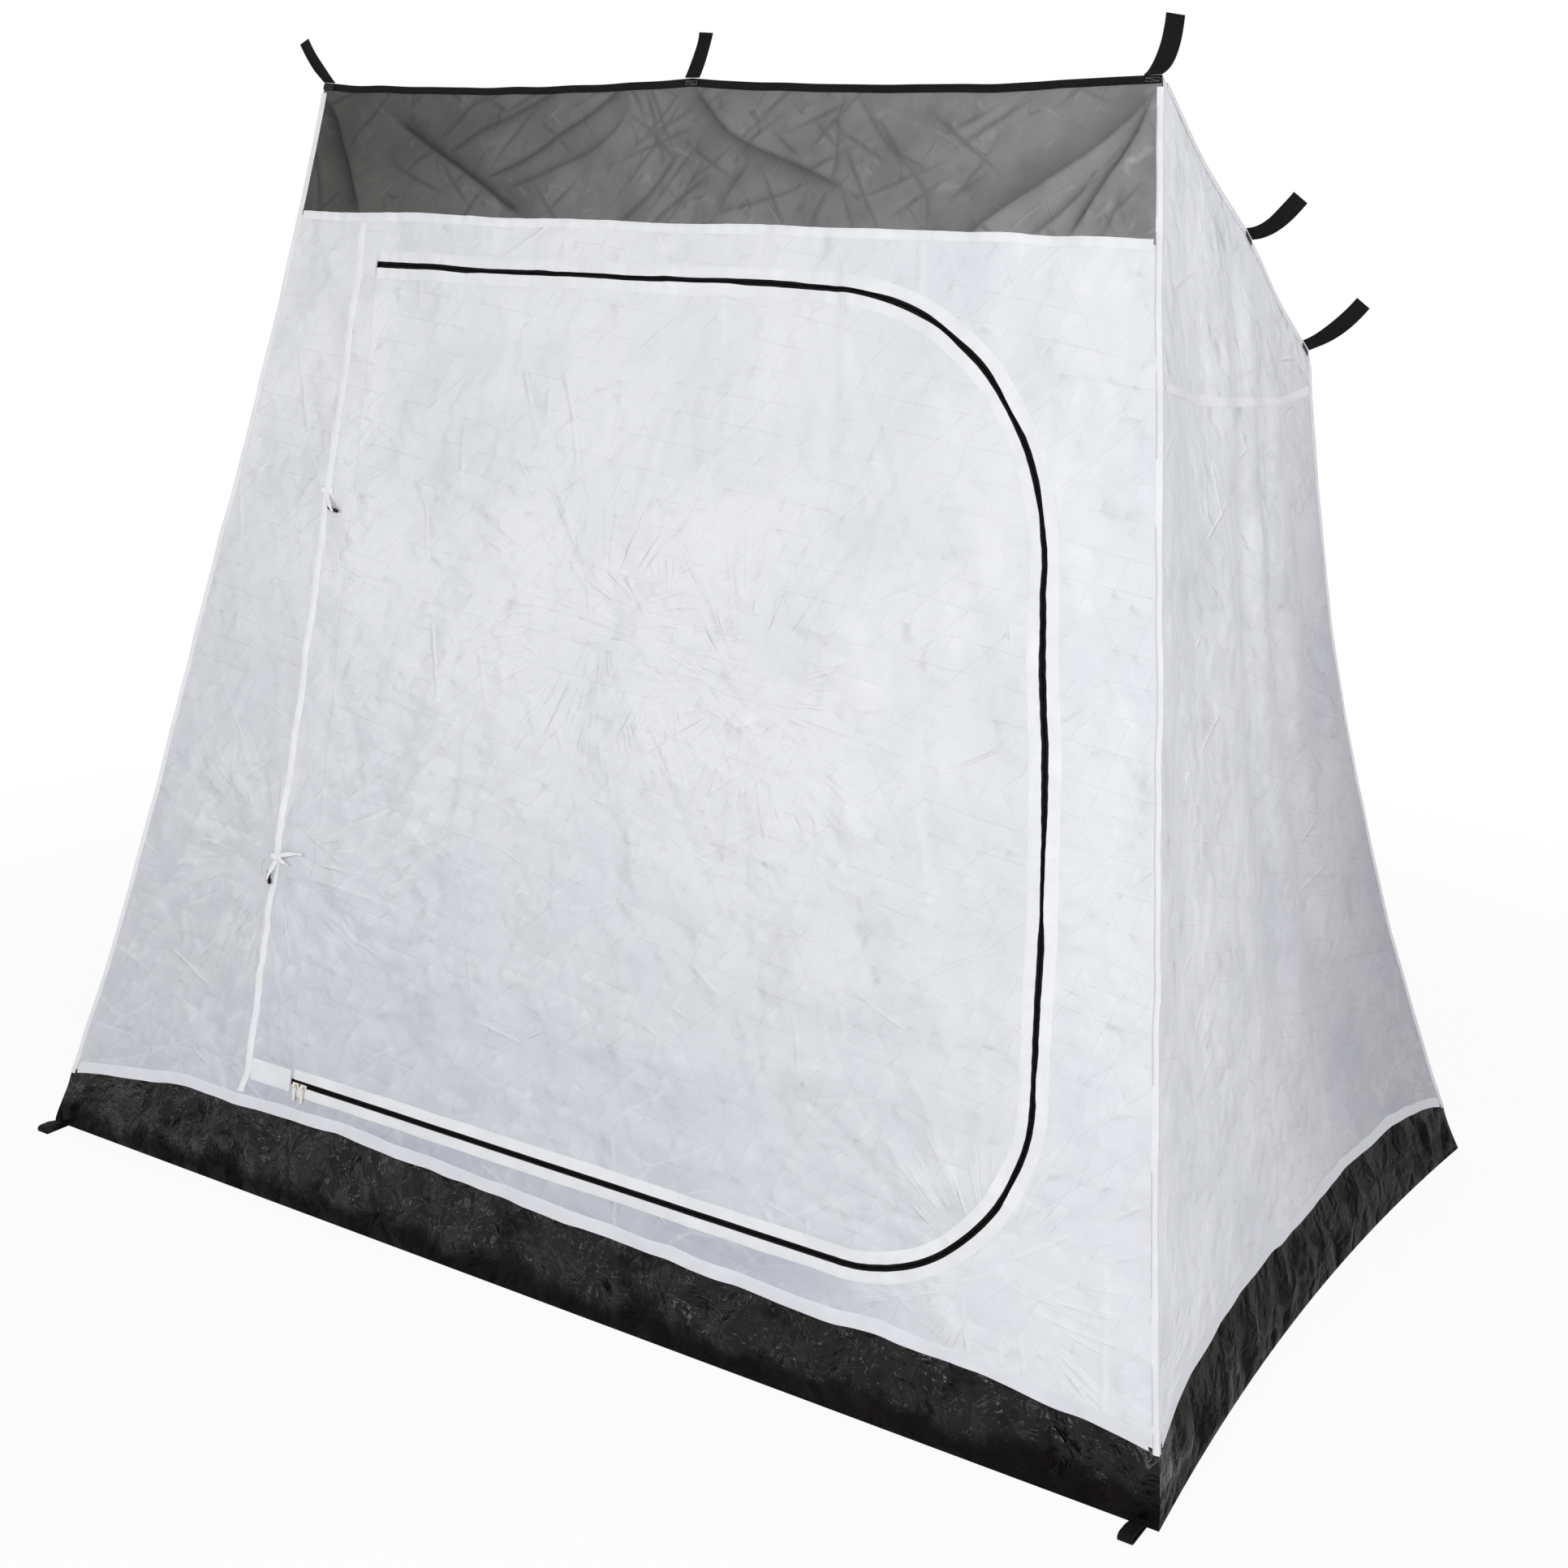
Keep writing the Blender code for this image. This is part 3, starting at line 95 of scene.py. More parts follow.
TUB_HEIGHT = 0.136
TUB_CORNER_DIP = 0.040
TUB_SWAY = 0.010
TUB_BELLY = 0.006
TUB_RIM = 0.011

SEAM_X = -0.605
MESH_DROP = 0.213
HINGE_TOP_X = -0.566
HINGE_BOTTOM_X = -0.507
ZIP_TOP_DROP = 0.289
ZIP_BOTTOM = 0.205
ZIP_SIDE_MARGIN = 0.187
ZIP_SIDE_LEAN = 0.156
ZIP_TOP_RADIUS = 0.39
ZIP_BOTTOM_RADIUS = 0.25
ZIP_TEETH = 0.0038
ZIP_MESH_GAP = 0.0016
ZIP_TAPE_WIDTH = 0.017
ZIP_START = 0.006
PATCH_HEIGHT = 0.036
SLIDER_REST_X = -0.4855     # between the two parked sliders
SLIDE_TRAVEL = 1.0          # how far the lower run stays straight from there

POCKET_BASE = 0.155
POCKET_HEIGHT = 0.215
POCKET_SWELL = 0.030
POCKET_SEWN = 0.0013
TUB_LEVELS = 25
POCKET_WIDTH = 0.45
POCKET_SPAN = (0.303, 0.641)

WEBBING = 0.0014
STRAP_WIDTH = 0.025
STRAP_STANDOFF = 0.0007
LOOP_WIDTH = 0.020
LOOP_LENGTH = 0.050
LOOP_RADIUS = 0.0055

TOGGLE_HEIGHTS = {"upper": 1.167, "lower": 0.562}
TOGGLE_TURNS = {"upper": math.radians(48), "lower": math.radians(-14)}
RIBBON_WIDTH = 0.009
RIBBON_LENGTH = 0.034
TAB_LENGTH = 0.026
TAB_HEIGHT = 0.009
BAR_LENGTH = 0.023
BAR_RADIUS = 0.0032
BAR_WAIST = 0.0023
BAR_SIDES = 28
BAR_LEAN = math.radians(30)
CORD_RADIUS = 0.0009
CORD_SIDES = 12
CORD_LOOP = 0.016

# Fineness of the meshes
WALL_STEP = 0.0070
MESH_STEP = 0.0033
TUB_STEP = 0.0055
TAPE_STEP = 0.005
ZIP_STEP = 0.004
STITCH_LENGTH = 0.0024
STITCH_PITCH = 0.0038
THREAD = 0.00055
EDGE_DROP = 0.00048         # how far a sewn tape's edges are pressed down
COIL_PITCH = 0.0013

front_slope = math.hypot(FRONT_HEIGHT, FRONT_SETBACK)
mesh_line = front_slope - MESH_DROP
zip_top = front_slope - ZIP_TOP_DROP
seam_height = BACK_HEIGHT - SIDE_SEAM_DROP
layer = GROUNDSHEET / 2 + CLEARANCE
top_room = TOP_BINDING_LEG + 2 * TAPE_END_ROOM
zip_slot = ZIP_MESH_GAP / 2 + ZIP_TEETH + SEWN_GAP
half_cloth = CLOTH / 2
on_tape = layer + TAPE + THREAD * 0.3       # where the stitches lie
over_tape = layer + TAPE + CLEARANCE        # what lies loose on a tape

ACROSS = np.array((1.0, 0.0, 0.0))
UP = np.array((0.0, FRONT_SETBACK, FRONT_HEIGHT)) / front_slope
OUT = np.array((0.0, -FRONT_HEIGHT, FRONT_SETBACK)) / front_slope
FRONT_FOOT = np.array((0.0, -FLOOR_DEPTH / 2, 0.0))
ROUND = ("front", "right", "back", "left")


# Curves and noise
def grid_of(a, b):
    """Every pair of two rows of numbers, as a grid."""
    return np.stack(np.meshgrid(a, b, indexing="ij"), -1)


def read_along(run, points, places):
    """The points' values at places along their run."""
    return np.stack([np.interp(places, run, column) for column in points.T], -1)


def run_of(points):
    """How far along a line each of its points lies."""
    return np.concatenate([[0], np.cumsum(np.linalg.norm(np.diff(points, axis=0), axis=1))])


def mitre(first, second):
    """Offsets from a seam that keep both of its sides' layers parallel."""
    return (first + second) / (1 + np.einsum("ij,ij->i", first, second))[:, None]


def search_tree(points):
    """A tree that finds the nearest of some flat points."""
    tree = KDTree(len(points))
    for i, spot in enumerate(points):
        tree.insert((spot[0], spot[1], 0), i)
    tree.balance()
    return tree


def lerp(a, b, t):
    """Between two values or two sets of points."""
    t = np.asarray(t, float)
    a, b = np.asarray(a, float), np.asarray(b, float)
    if a.ndim and a.shape[-1] == 3:
        t = t[..., None]
    return a + (b - a) * t


def vec(*parts):
    return np.stack(np.broadcast_arrays(*[np.asarray(part, float) for part in parts]), -1)


def unit(rows):
    return rows / np.linalg.norm(rows, axis=-1, keepdims=True)


def bow(t, power=2.0):
    return 1 - np.abs(2 * np.asarray(t, float) - 1) ** power


def ease(t):
    t = np.clip(t, 0.0, 1.0)
    return t * t * (3 - 2 * t)


def fade(t, width):
    return ease(np.minimum(t, 1 - t) / width)


def chance(cell, seed):
    """A fixed number from -1 to 1 for each lattice point."""
    n = cell[..., 0] * 73856093 ^ cell[..., 1] * 19349663 ^ cell[..., 2] * 83492791
    n = (n ^ seed * 2654435761) & 0x7FFFFFFF
    n = ((n ^ n >> 13) * 1274126177) & 0x7FFFFFFF
    n = ((n ^ n >> 15) * 668265263) & 0x7FFFFFFF
    return (n >> 7 & 0xFFFF) / 32767.5 - 1


def swell(points, size, seed):
    """Smooth noise from -1 to 1 at points in space; size is the width of one swelling."""
    spot = np.asarray(points, float) / size
    cell = np.floor(spot).astype(np.int64)
    part = spot - cell
    part = part * part * (3 - 2 * part)
    total = np.zeros(spot.shape[:-1])
    for corner in itertools.product((0, 1), repeat=3):
        weight = np.ones(spot.shape[:-1])
        for axis, side in enumerate(corner):
            weight = weight * (part[..., axis] if side else 1 - part[..., axis])
        total += weight * chance(cell + np.array(corner), seed)
    return total


def swell_flat(a, b, size, seed):
    return swell(vec(a, b, 0.37), size, seed)


def crease_height(a, b, creases):
    """Height of a set of creases over a flat sheet, at a across and b up."""
    high = np.zeros(a.shape)
    for x, y, turn, reach, width, depth, bend in creases:
        close = (np.abs(a - x) < reach) & (np.abs(b - y) < reach)
        if not close.any():
            continue
        da, db = a[close] - x, b[close] - y
        along = da * math.cos(turn) + db * math.sin(turn)
        aside = db * math.cos(turn) - da * math.sin(turn) - bend * along * along / reach
        window = np.clip(1 - (along / reach) ** 2, 0, 1) ** 2
        ridge = np.clip(1 - np.abs(aside) / (2.2 * width), 0, 1)
        high[close] += depth * window * ridge
    return high


def facets(a, b, size, seed):
    """Flat-sided folds in a few directions that come and go, from about -1 to 1."""
    draw = np.random.default_rng(seed)
    bent_a = a + 0.4 * size * swell_flat(a, b, size * 1.7, seed + 1)
    bent_b = b + 0.4 * size * swell_flat(a, b, size * 1.7, seed + 2)
    total = np.zeros(np.shape(a))
    for i in range(4):
        turn, wave = math.pi * (i + draw.uniform(0, 1)) / 4, size * draw.uniform(0.7, 1.5)
        place = (bent_a * math.cos(turn) + bent_b * math.sin(turn)) / wave + draw.uniform(0, 1)
        tent = np.abs(place - np.floor(place) - 0.5) * 4 - 1
        total += tent * np.clip(0.4 + swell_flat(a, b, size * 2.4, seed + 5 + i), 0, 1)
    return total / 2


def smooth_line(points):
    """Points along a smooth curve through a few given ones."""
    line = np.asarray(points, float)
    line = np.concatenate([2 * line[:1] - line[1:2], line, 2 * line[-1:] - line[-2:-1]])
    t = np.linspace(0, 1, 8, endpoint=False)[:, None]
    made = []
    for p0, p1, p2, p3 in zip(line, line[1:], line[2:], line[3:]):
        made.append(p1 + 0.5 * t * (p2 - p0 + t * (2 * p0 - 5 * p1 + 4 * p2 - p3
                                                   + t * (3 * (p1 - p2) + p3 - p0))))
    return np.concatenate([*made, line[-2:-1]])


def mesh_folds(a, b):
    """The mesh's folds, from 0 to 1: soft on one side and sharp on the other."""
    total = np.zeros(a.shape)
    for points, soft, depth in MESH_FOLDS:
        line = smooth_line(points)
        away, side = np.full(a.shape, np.inf), np.zeros(a.shape)
        for start, run in zip(line, np.diff(line, axis=0)):
            t = ((a - start[0]) * run[0] + (b - start[1]) * run[1]) / (run @ run)
            t = np.clip(t, 0, 1)
            gap_a, gap_b = a - start[0] - run[0] * t, b - start[1] - run[1] * t
            gap = np.hypot(gap_a, gap_b)
            side = np.where(gap < away, run[0] * gap_b - run[1] * gap_a, side)
            away = np.minimum(gap, away)
        ends = np.minimum(np.hypot(a - line[0, 0], b - line[0, 1]),
                          np.hypot(a - line[-1, 0], b - line[-1, 1]))
        width = np.where(side > 0, soft, 0.0022)
        total = np.maximum(total, depth * np.exp(-away / width) * (0.35 + 0.65 * ease(ends / 0.03)))
    return total


def random_creases(seed, count, low, high, reach, width, depth, turns=(0.0, math.pi)):
    """Creases strewn over a rectangle, half of them outwards and half inwards."""
    draw = np.random.default_rng(seed)
    made = []
    for _ in range(count):
        x, y = draw.uniform(low[0], high[0]), draw.uniform(low[1], high[1])
        size = draw.uniform(*reach)
        made.append((x, y, draw.uniform(*turns), size, draw.uniform(*width),
                     draw.uniform(*depth) * draw.choice((-1, 1)), draw.uniform(-0.12, 0.12)))
    return made


def ray_creases(seed, count, centre, turns, reach, width, depth, start=0.02):
    """Creases that fan out from a point where the cloth is held."""
    draw = np.random.default_rng(seed)
    made = []
    for i in range(count):
        turn = turns[0] + (turns[1] - turns[0]) * (i + draw.uniform(0.15, 0.85)) / count
        size = draw.uniform(*reach)
        away = start + size * 0.85
        made.append((centre[0] + away * math.cos(turn), centre[1] + away * math.sin(turn), turn,
                     size, draw.uniform(*width), draw.uniform(*depth) * (1 if i % 2 else -1),
                     draw.uniform(-0.08, 0.08)))
    return made


# The front wall's outlines
def on_front(x, h):
    x, h = np.broadcast_arrays(np.asarray(x, float), np.asarray(h, float))
    return FRONT_FOOT + x[..., None] * ACROSS + h[..., None] * UP


def front_half_width(side, h):
    t = np.asarray(h, float) / front_slope
    pull = FRONT_RIGHT_PULL if side > 0 else FRONT_LEFT_PULL
    return FLOOR_WIDTH / 2 - SIDE_LEAN * FRONT_HEIGHT * t - pull * bow(t, 4)


def front_flat(u, v):
    h = v * (front_slope - TOP_SAG * bow(np.abs(2 * np.asarray(u, float) - 1)))
    return lerp(-front_half_width(-1, h), front_half_width(1, h), u), h


def front_u(x, h):
    left, right = front_half_width(-1, h), front_half_width(1, h)
    return (x + left) / (left + right)


def front_top(x):
    u = np.clip(front_u(x, front_slope), 0, 1)
    return front_slope - TOP_SAG * bow(np.abs(2 * u - 1))


# The other walls
def floor_side(side, t):
    return vec(side * (FLOOR_WIDTH / 2 - FLOOR_SIDE_PULL * bow(t)),
               lerp(-FLOOR_DEPTH / 2, FLOOR_DEPTH / 2, t), 0)


def back_corner(side, t):
    half = FLOOR_WIDTH / 2 - SIDE_LEAN * BACK_HEIGHT * t - BACK_PULL_ACROSS * bow(t)
    return vec(side * half, FLOOR_DEPTH / 2 - BACK_SETBACK * t - BACK_PULL_DEEP * bow(t),
               BACK_HEIGHT * t)


def roof_side(side, t):
    t = np.asarray(t, float)
    point = lerp(on_front(*front_flat(1 if side > 0 else 0, 1.0)), back_corner(side, 1.0), t)
    part = np.where(t < STRAP_SHARE, t / STRAP_SHARE, (t - STRAP_SHARE) / (1 - STRAP_SHARE))
    sag = ROOF_EDGE_SAG * np.sin(np.pi * part) ** 2
    return point + sag[..., None] * np.array((-side * 0.7, 0, -0.7))


def back_top(t):
    sag = BACK_TOP_SAG * bow(t)
    return lerp(back_corner(-1, 1.0), back_corner(1, 1.0), t) - vec(0, 0, sag)


def floor_back(t):
    return vec(lerp(-FLOOR_WIDTH / 2, FLOOR_WIDTH / 2, t), FLOOR_DEPTH / 2, 0)


def front_edge(u):
    return lambda v: on_front(*front_flat(u, v))


EDGES = {
    "right": (lambda u: floor_side(1, u), lambda u: roof_side(1, u),
              front_edge(1.0), lambda v: back_corner(1, v)),
    "back": (lambda u: floor_back(1 - u), lambda u: back_top(1 - u),
             lambda v: back_corner(1, v), lambda v: back_corner(-1, v)),
    "left": (lambda u: floor_side(-1, 1 - u), lambda u: roof_side(-1, 1 - u),
             lambda v: back_corner(-1, v), front_edge(0.0)),
    "roof": (lambda u: on_front(*front_flat(u, 1.0)), back_top,
             lambda v: roof_side(-1, v), lambda v: roof_side(1, v)),
}


def top_height(wall, u):
    return {"front": FRONT_HEIGHT + 0 * u, "back": BACK_HEIGHT + 0 * u,
            "right": lerp(FRONT_HEIGHT, BACK_HEIGHT, u),
            "left": lerp(BACK_HEIGHT, FRONT_HEIGHT, u)}[wall]


def hang(wall, u, v):
    if wall == "roof":
        return vec(0, 0, -ROOF_SAG * bow(u) * bow(v))
    low = (TUB_HEIGHT + EDGE_BAND) / BACK_HEIGHT
    rise = fade(np.clip((v - low) / (1 - low), 0, 1), 0.3)
    waves = BACK_FOLD_WAVES if wall == "back" else FOLD_WAVES
    phase = waves * u + 0.30 * np.sin(2 * np.pi * (1.3 * u + 0.35 * v))
    depth = FOLD_DEPTH * np.sin(2 * np.pi * phase) * rise * fade(u, 0.2)
    direction = {"right": (1, 0, 0), "left": (-1, 0, 0), "back": (0, 1, 0)}[wall]
    return depth[..., None] * np.array(direction)


def patch(wall, u, v):
    """The point at fractions u and v of a wall, before its creases."""
    u, v = np.broadcast_arrays(np.asarray(u, float), np.asarray(v, float))
    if wall == "front":
        return on_front(*front_flat(u, v))
    bottom, top, start, end = EDGES[wall]
    point = lerp(bottom(u), top(u), v) + lerp(start(v), end(v), u)
    point = point - lerp(lerp(start(0.0), end(0.0), u), lerp(start(1.0), end(1.0), u), v)
    return point + hang(wall, u, v)


def wall_normal(wall, u, v):
    u, v = np.broadcast_arrays(np.asarray(u, float), np.asarray(v, float))
    if wall == "front":
        return np.broadcast_to(OUT, u.shape + (3,))
    step = 1e-4
    across = patch(wall, np.minimum(u + step, 1), v) - patch(wall, np.maximum(u - step, 0), v)
    lift = patch(wall, u, np.minimum(v + step, 1)) - patch(wall, u, np.maximum(v - step, 0))
    return unit(np.cross(across, lift))


def wall_width(wall, v):
    return float(np.linalg.norm(patch(wall, 1.0, v) - patch(wall, 0.0, v)))


WIDTHS = {wall: (wall_width(wall, 0.0), wall_width(wall, 1.0)) for wall in (*ROUND, "roof")}


def width_at(wall, v):
    return lerp(*WIDTHS[wall], v)


def rise_at(wall, u):
    return np.linalg.norm(patch(wall, u, 1.0) - patch(wall, u, 0.0), axis=-1)


def tub_edge(wall, u):
    """The tub's top edge as a fraction v of a wall; it wanders a little."""
    u = np.asarray(u, float)
    sway = TUB_SWAY * np.sin(2 * np.pi * u) if wall == "front" else 0.0
    height = TUB_HEIGHT + sway - TUB_CORNER_DIP * np.abs(2 * u - 1) ** 6
    seed = ROUND.index(wall)
    run = u * WIDTHS[wall][0]
    height = height + 0.0060 * swell_flat(run, 0.0, 0.13, 40 + seed) * fade(u, 0.1)
    height = height + 0.0022 * swell_flat(run, 0.5, 0.040, 50 + seed) * fade(u, 0.1)
    return height / top_height(wall, u)


def cross_seam(wall, u):
    u = np.asarray(u, float)
    from_front = u if wall == "right" else 1 - u
    height = seam_height + SIDE_SEAM_RISE * (1 - from_front) - SIDE_SEAM_SAG * bow(from_front)
    return height / top_height(wall, u)


# The zip's path
def hinge_x(h):
    share = (h - ZIP_BOTTOM) / (zip_top - ZIP_BOTTOM)
    return HINGE_BOTTOM_X + (HINGE_TOP_X - HINGE_BOTTOM_X) * share


def right_run_x(h):
    return FLOOR_WIDTH / 2 - ZIP_SIDE_MARGIN - ZIP_SIDE_LEAN * h


def fillet(before, corner, after, radius, step):
    """Arc points at a corner between two lines, each with its outward normal."""
    first, second = unit(before - corner), unit(after - corner)
    half = math.acos(float(np.clip(first @ second, -1, 1))) / 2
    centre = corner + unit(first + second) * radius / math.sin(half)
    start = corner + first * radius / math.tan(half) - centre
    sweep = math.pi - 2 * half
    count = max(int(radius * sweep / step), 4)
    turns = -sweep * np.linspace(0, 1, count + 1)
    arms = np.stack([start[0] * np.cos(turns) - start[1] * np.sin(turns),
                     start[0] * np.sin(turns) + start[1] * np.cos(turns)], -1)
    return centre + arms, unit(arms)


def zip_path(start, step):
    """The zip's centre line in x and h with its outward normals, from the top of the hinge."""
    first = np.array((hinge_x(zip_top) + start, zip_top))
    last = np.array((hinge_x(ZIP_BOTTOM) + start, ZIP_BOTTOM))
    high = np.array((right_run_x(zip_top), zip_top))
    low = np.array((right_run_x(ZIP_BOTTOM), ZIP_BOTTOM))
    places = [(first[None], np.array([(0.0, 1.0)])),
              fillet(first, high, low, ZIP_TOP_RADIUS, step),
              fillet(high, low, last, ZIP_BOTTOM_RADIUS, step),
              (last[None], np.array([(0.0, -1.0)]))]
    points = np.concatenate([place[0] for place in places])
    normals = np.concatenate([place[1] for place in places])
    return resample(points, step, normals)


def resample(points, step, extra=None):
    """The same line with points about a step apart."""
    run = run_of(points)
    count = max(int(round(run[-1] / step)), 1)
    places = np.linspace(0, run[-1], count + 1)
    made = read_along(run, points, places)
    return made if extra is None else (made, unit(read_along(run, extra, places)))


zip_tree = search_tree(zip_path(0.0, ZIP_STEP)[0])
zip_points, zip_normals = zip_path(ZIP_START, ZIP_STEP)


def zip_distance(x, h):
    """Distance from the zip's centre line and how far along the zip, for each point."""
    found = [zip_tree.find((p, q, 0))[1:] for p, q in zip(x.ravel(), h.ravel())]
    away = np.array([item[1] for item in found]).reshape(x.shape)
    along = np.array([item[0] for item in found]).reshape(x.shape) * ZIP_STEP
    return away, along


# Creases of each wall. The pressed ones are the cloth's folds from its packing.
PRESSED = [
    (-0.07, 1.30, 1.571, 0.24, 0.005, 0.0012, 0.0), (0.26, 0.80, 1.60, 0.22, 0.004, 0.0012, 0.0),
    (-0.78, 0.33, 0.03, 0.17, 0.004, 0.0012, 0.0), (-0.35, 0.36, 0.02, 0.24, 0.004, 0.0010, 0.0),
    (0.42, 1.12, 1.55, 0.30, 0.004, 0.0010, 0.0), (0.10, 0.40, 0.05, 0.30, 0.004, 0.0010, 0.0)]
FRONT_CREASES = (
    random_creases(1, 700, (-1.0, 0.15), (1.0, 1.6), (0.03, 0.10), (0.0030, 0.0060),
                   (0.0004, 0.0012))
    + random_creases(2, 90, (-1.0, 0.15), (1.0, 1.6), (0.12, 0.42), (0.006, 0.013),
                     (0.0008, 0.0024), (0.3, 2.5))
    + ray_creases(3, 20, (SEAM_X, TOGGLE_HEIGHTS["lower"]), (0.0, 2 * math.pi),
                  (0.08, 0.30), (0.004, 0.008), (0.0012, 0.0030))
    + ray_creases(4, 9, (SEAM_X, TOGGLE_HEIGHTS["upper"]), (0.0, 2 * math.pi),
                  (0.05, 0.14), (0.004, 0.007), (0.0008, 0.0018))
    + ray_creases(5, 17, (-0.02, 1.03), (0.0, 2 * math.pi), (0.10, 0.36), (0.004, 0.009),
                  (0.0010, 0.0024), 0.09)
    + ray_creases(6, 13, (0.25, 0.95), (0.0, 2 * math.pi), (0.08, 0.28), (0.004, 0.008),
                  (0.0010, 0.0022), 0.08)
    + ray_creases(7, 12, (0.77, 0.24), (1.2, 3.3), (0.08, 0.30), (0.004, 0.009),
                  (0.0010, 0.0026), 0.05)
    + random_creases(8, 90, (-1.0, 0.16), (-0.2, 0.75), (0.06, 0.22), (0.004, 0.009),
                     (0.0010, 0.0026), (0.2, 1.1))
    + PRESSED
)
MESH_CREASES = (
    random_creases(14, 60, (-0.72, mesh_line), (0.72, front_slope), (0.04, 0.13),
                   (0.0035, 0.0070), (0.0010, 0.0024), (0.35, 1.1))
    + random_creases(15, 40, (-0.72, mesh_line), (0.72, front_slope), (0.04, 0.13),
                     (0.0035, 0.0070), (0.0010, 0.0024), (2.0, 2.8))
)
# The netting's main folds: their course in x and h, the soft side's width and their depth
MESH_FOLDS = [
    ([(-0.564, 1.768), (-0.467, 1.717), (-0.374, 1.673), (-0.282, 1.624)], 0.012, 1.0),
    ([(-0.223, 1.826), (-0.317, 1.782), (-0.400, 1.745), (-0.469, 1.712)], 0.006, 0.60),
    ([(-0.491, 1.731), (-0.461, 1.749), (-0.409, 1.790), (-0.354, 1.823)], 0.005, 0.45),
    ([(-0.114, 1.825), (-0.226, 1.750), (-0.277, 1.719), (-0.374, 1.676)], 0.006, 0.70),
    ([(-0.325, 1.663), (-0.195, 1.711), (-0.135, 1.750), (-0.110, 1.787)], 0.005, 0.50),
    ([(-0.619, 1.620), (-0.661, 1.700), (-0.696, 1.762), (-0.734, 1.811)], 0.016, 0.95),
    ([(-0.746, 1.747), (-0.725, 1.690), (-0.706, 1.623)], 0.004, 0.60),
    ([(0.286, 1.678), (0.193, 1.711), (0.081, 1.752), (0.0, 1.822)], 0.014, 0.70),
    ([(-0.011, 1.722), (-0.049, 1.665), (-0.105, 1.611)], 0.005, 0.60),
    ([(0.052, 1.693), (0.001, 1.657), (-0.045, 1.613)], 0.005, 0.55),
    ([(0.263, 1.812), (0.258, 1.770), (0.262, 1.700), (0.235, 1.615)], 0.006, 0.45),
    ([(0.07, 1.635), (0.17, 1.660), (0.262, 1.690), (0.31, 1.620)], 0.005, 0.40),
    ([(0.28, 1.812), (0.33, 1.750), (0.41, 1.680), (0.43, 1.615)], 0.005, 0.35),
    ([(0.47, 1.605), (0.55, 1.665), (0.66, 1.740), (0.735, 1.812)], 0.030, 0.60),
    ([(0.635, 1.615), (0.675, 1.690), (0.705, 1.740), (0.725, 1.800)], 0.006, 0.90),
    ([(0.575, 1.612), (0.64, 1.672), (0.665, 1.705)], 0.006, 0.60),
    ([(0.690, 1.618), (0.705, 1.680)], 0.004, 0.55),
]
# About how wide and tall each wall's room for creases is
ROOMS = {"right": (1.40, 1.80), "left": (1.40, 1.80), "back": (2.10, 1.50), "roof": (1.7, 0.62)}


def wall_creases(wall, seed):
    """Small creases all over a wall, long ones up it and slanting ones near its foot."""
    wide, tall = ROOMS[wall]
    low, high = (-wide / 2, 0.0), (wide / 2, tall)
    upright = (1.2, 1.9) if wall != "roof" else (0.0, math.pi)
    per_area = wide * tall
    return (random_creases(seed, int(300 * per_area), low, high, (0.02, 0.08), (0.0035, 0.0065),
                           (0.0004, 0.0013))
            + random_creases(seed + 1, int(22 * per_area), low, high, (0.12, 0.45),
                             (0.008, 0.018), (0.0010, 0.0030), upright)
            + random_creases(seed + 2, int(18 * per_area), low, (high[0], tall * 0.5),
                             (0.06, 0.20), (0.005, 0.010), (0.0010, 0.0026), (0.5, 2.6)))


CREASES = {wall: wall_creases(wall, 20 + 5 * i) for i, wall in enumerate(ROOMS)}


def front_relief(x, h):
    """How far the front wall's creases stand out, fading to nothing at its edges."""
    u = np.clip(front_u(x, h), 0, 1)
    top = front_top(x)
    foot = tub_edge("front", u) * front_slope
    left = x + front_half_width(-1, h)
    right = front_half_width(1, h) - x
    keep = (ease(left / 0.045) * ease(right / 0.045) * ease((top - h) / 0.030)
            * ease((h - foot) / 0.045))
    in_mesh = ease((h - mesh_line + 0.006) / 0.012)
    height = 0.0042 * swell_flat(x, h, 0.46, 1) + 0.0019 * swell_flat(x, h, 0.17, 2)
    height = height + 0.0042 * facets(x, h * 0.8, 0.15, 301) + 0.0012 * facets(x, h, 0.06, 302)
    height = height + crease_height(x, h, FRONT_CREASES) * (1 - in_mesh)
    if in_mesh.any():
        folds = 0.0040 * mesh_folds(x, h)
        height = height + (crease_height(x, h, MESH_CREASES) - folds) * in_mesh
    away, along = zip_distance(x, h)
    phase = along / 0.024 + 0.35 * np.sin(along / 0.07)
    pucker = np.sin(2 * np.pi * phase) * np.exp(-(away / 0.022) ** 2)
    height = height + 0.0007 * pucker * (0.5 + 0.5 * swell_flat(along, 0, 0.15, 4))
    hem = (np.exp(-np.abs(h - mesh_line) / 0.02)
           * np.sin(2 * np.pi * x / 0.031 + 3 * swell_flat(x, 0, 0.1, 5)))
    height = height + 0.0006 * hem
    run = ease((x + 0.62) / 0.03) * ease((SLIDER_REST_X + SLIDE_TRAVEL + 0.03 - x) / 0.05)
    quiet = 1 - 0.93 * run * np.exp(-((h - ZIP_BOTTOM) / 0.020) ** 2)
    tie = np.ones(x.shape)
    for height_of_tie in TOGGLE_HEIGHTS.values():
        apart = np.hypot(x - SEAM_X, h - height_of_tie + 0.015)
        tie = np.minimum(tie, 0.25 + 0.75 * ease((apart - 0.02) / 0.05))
    return height * keep * quiet * tie


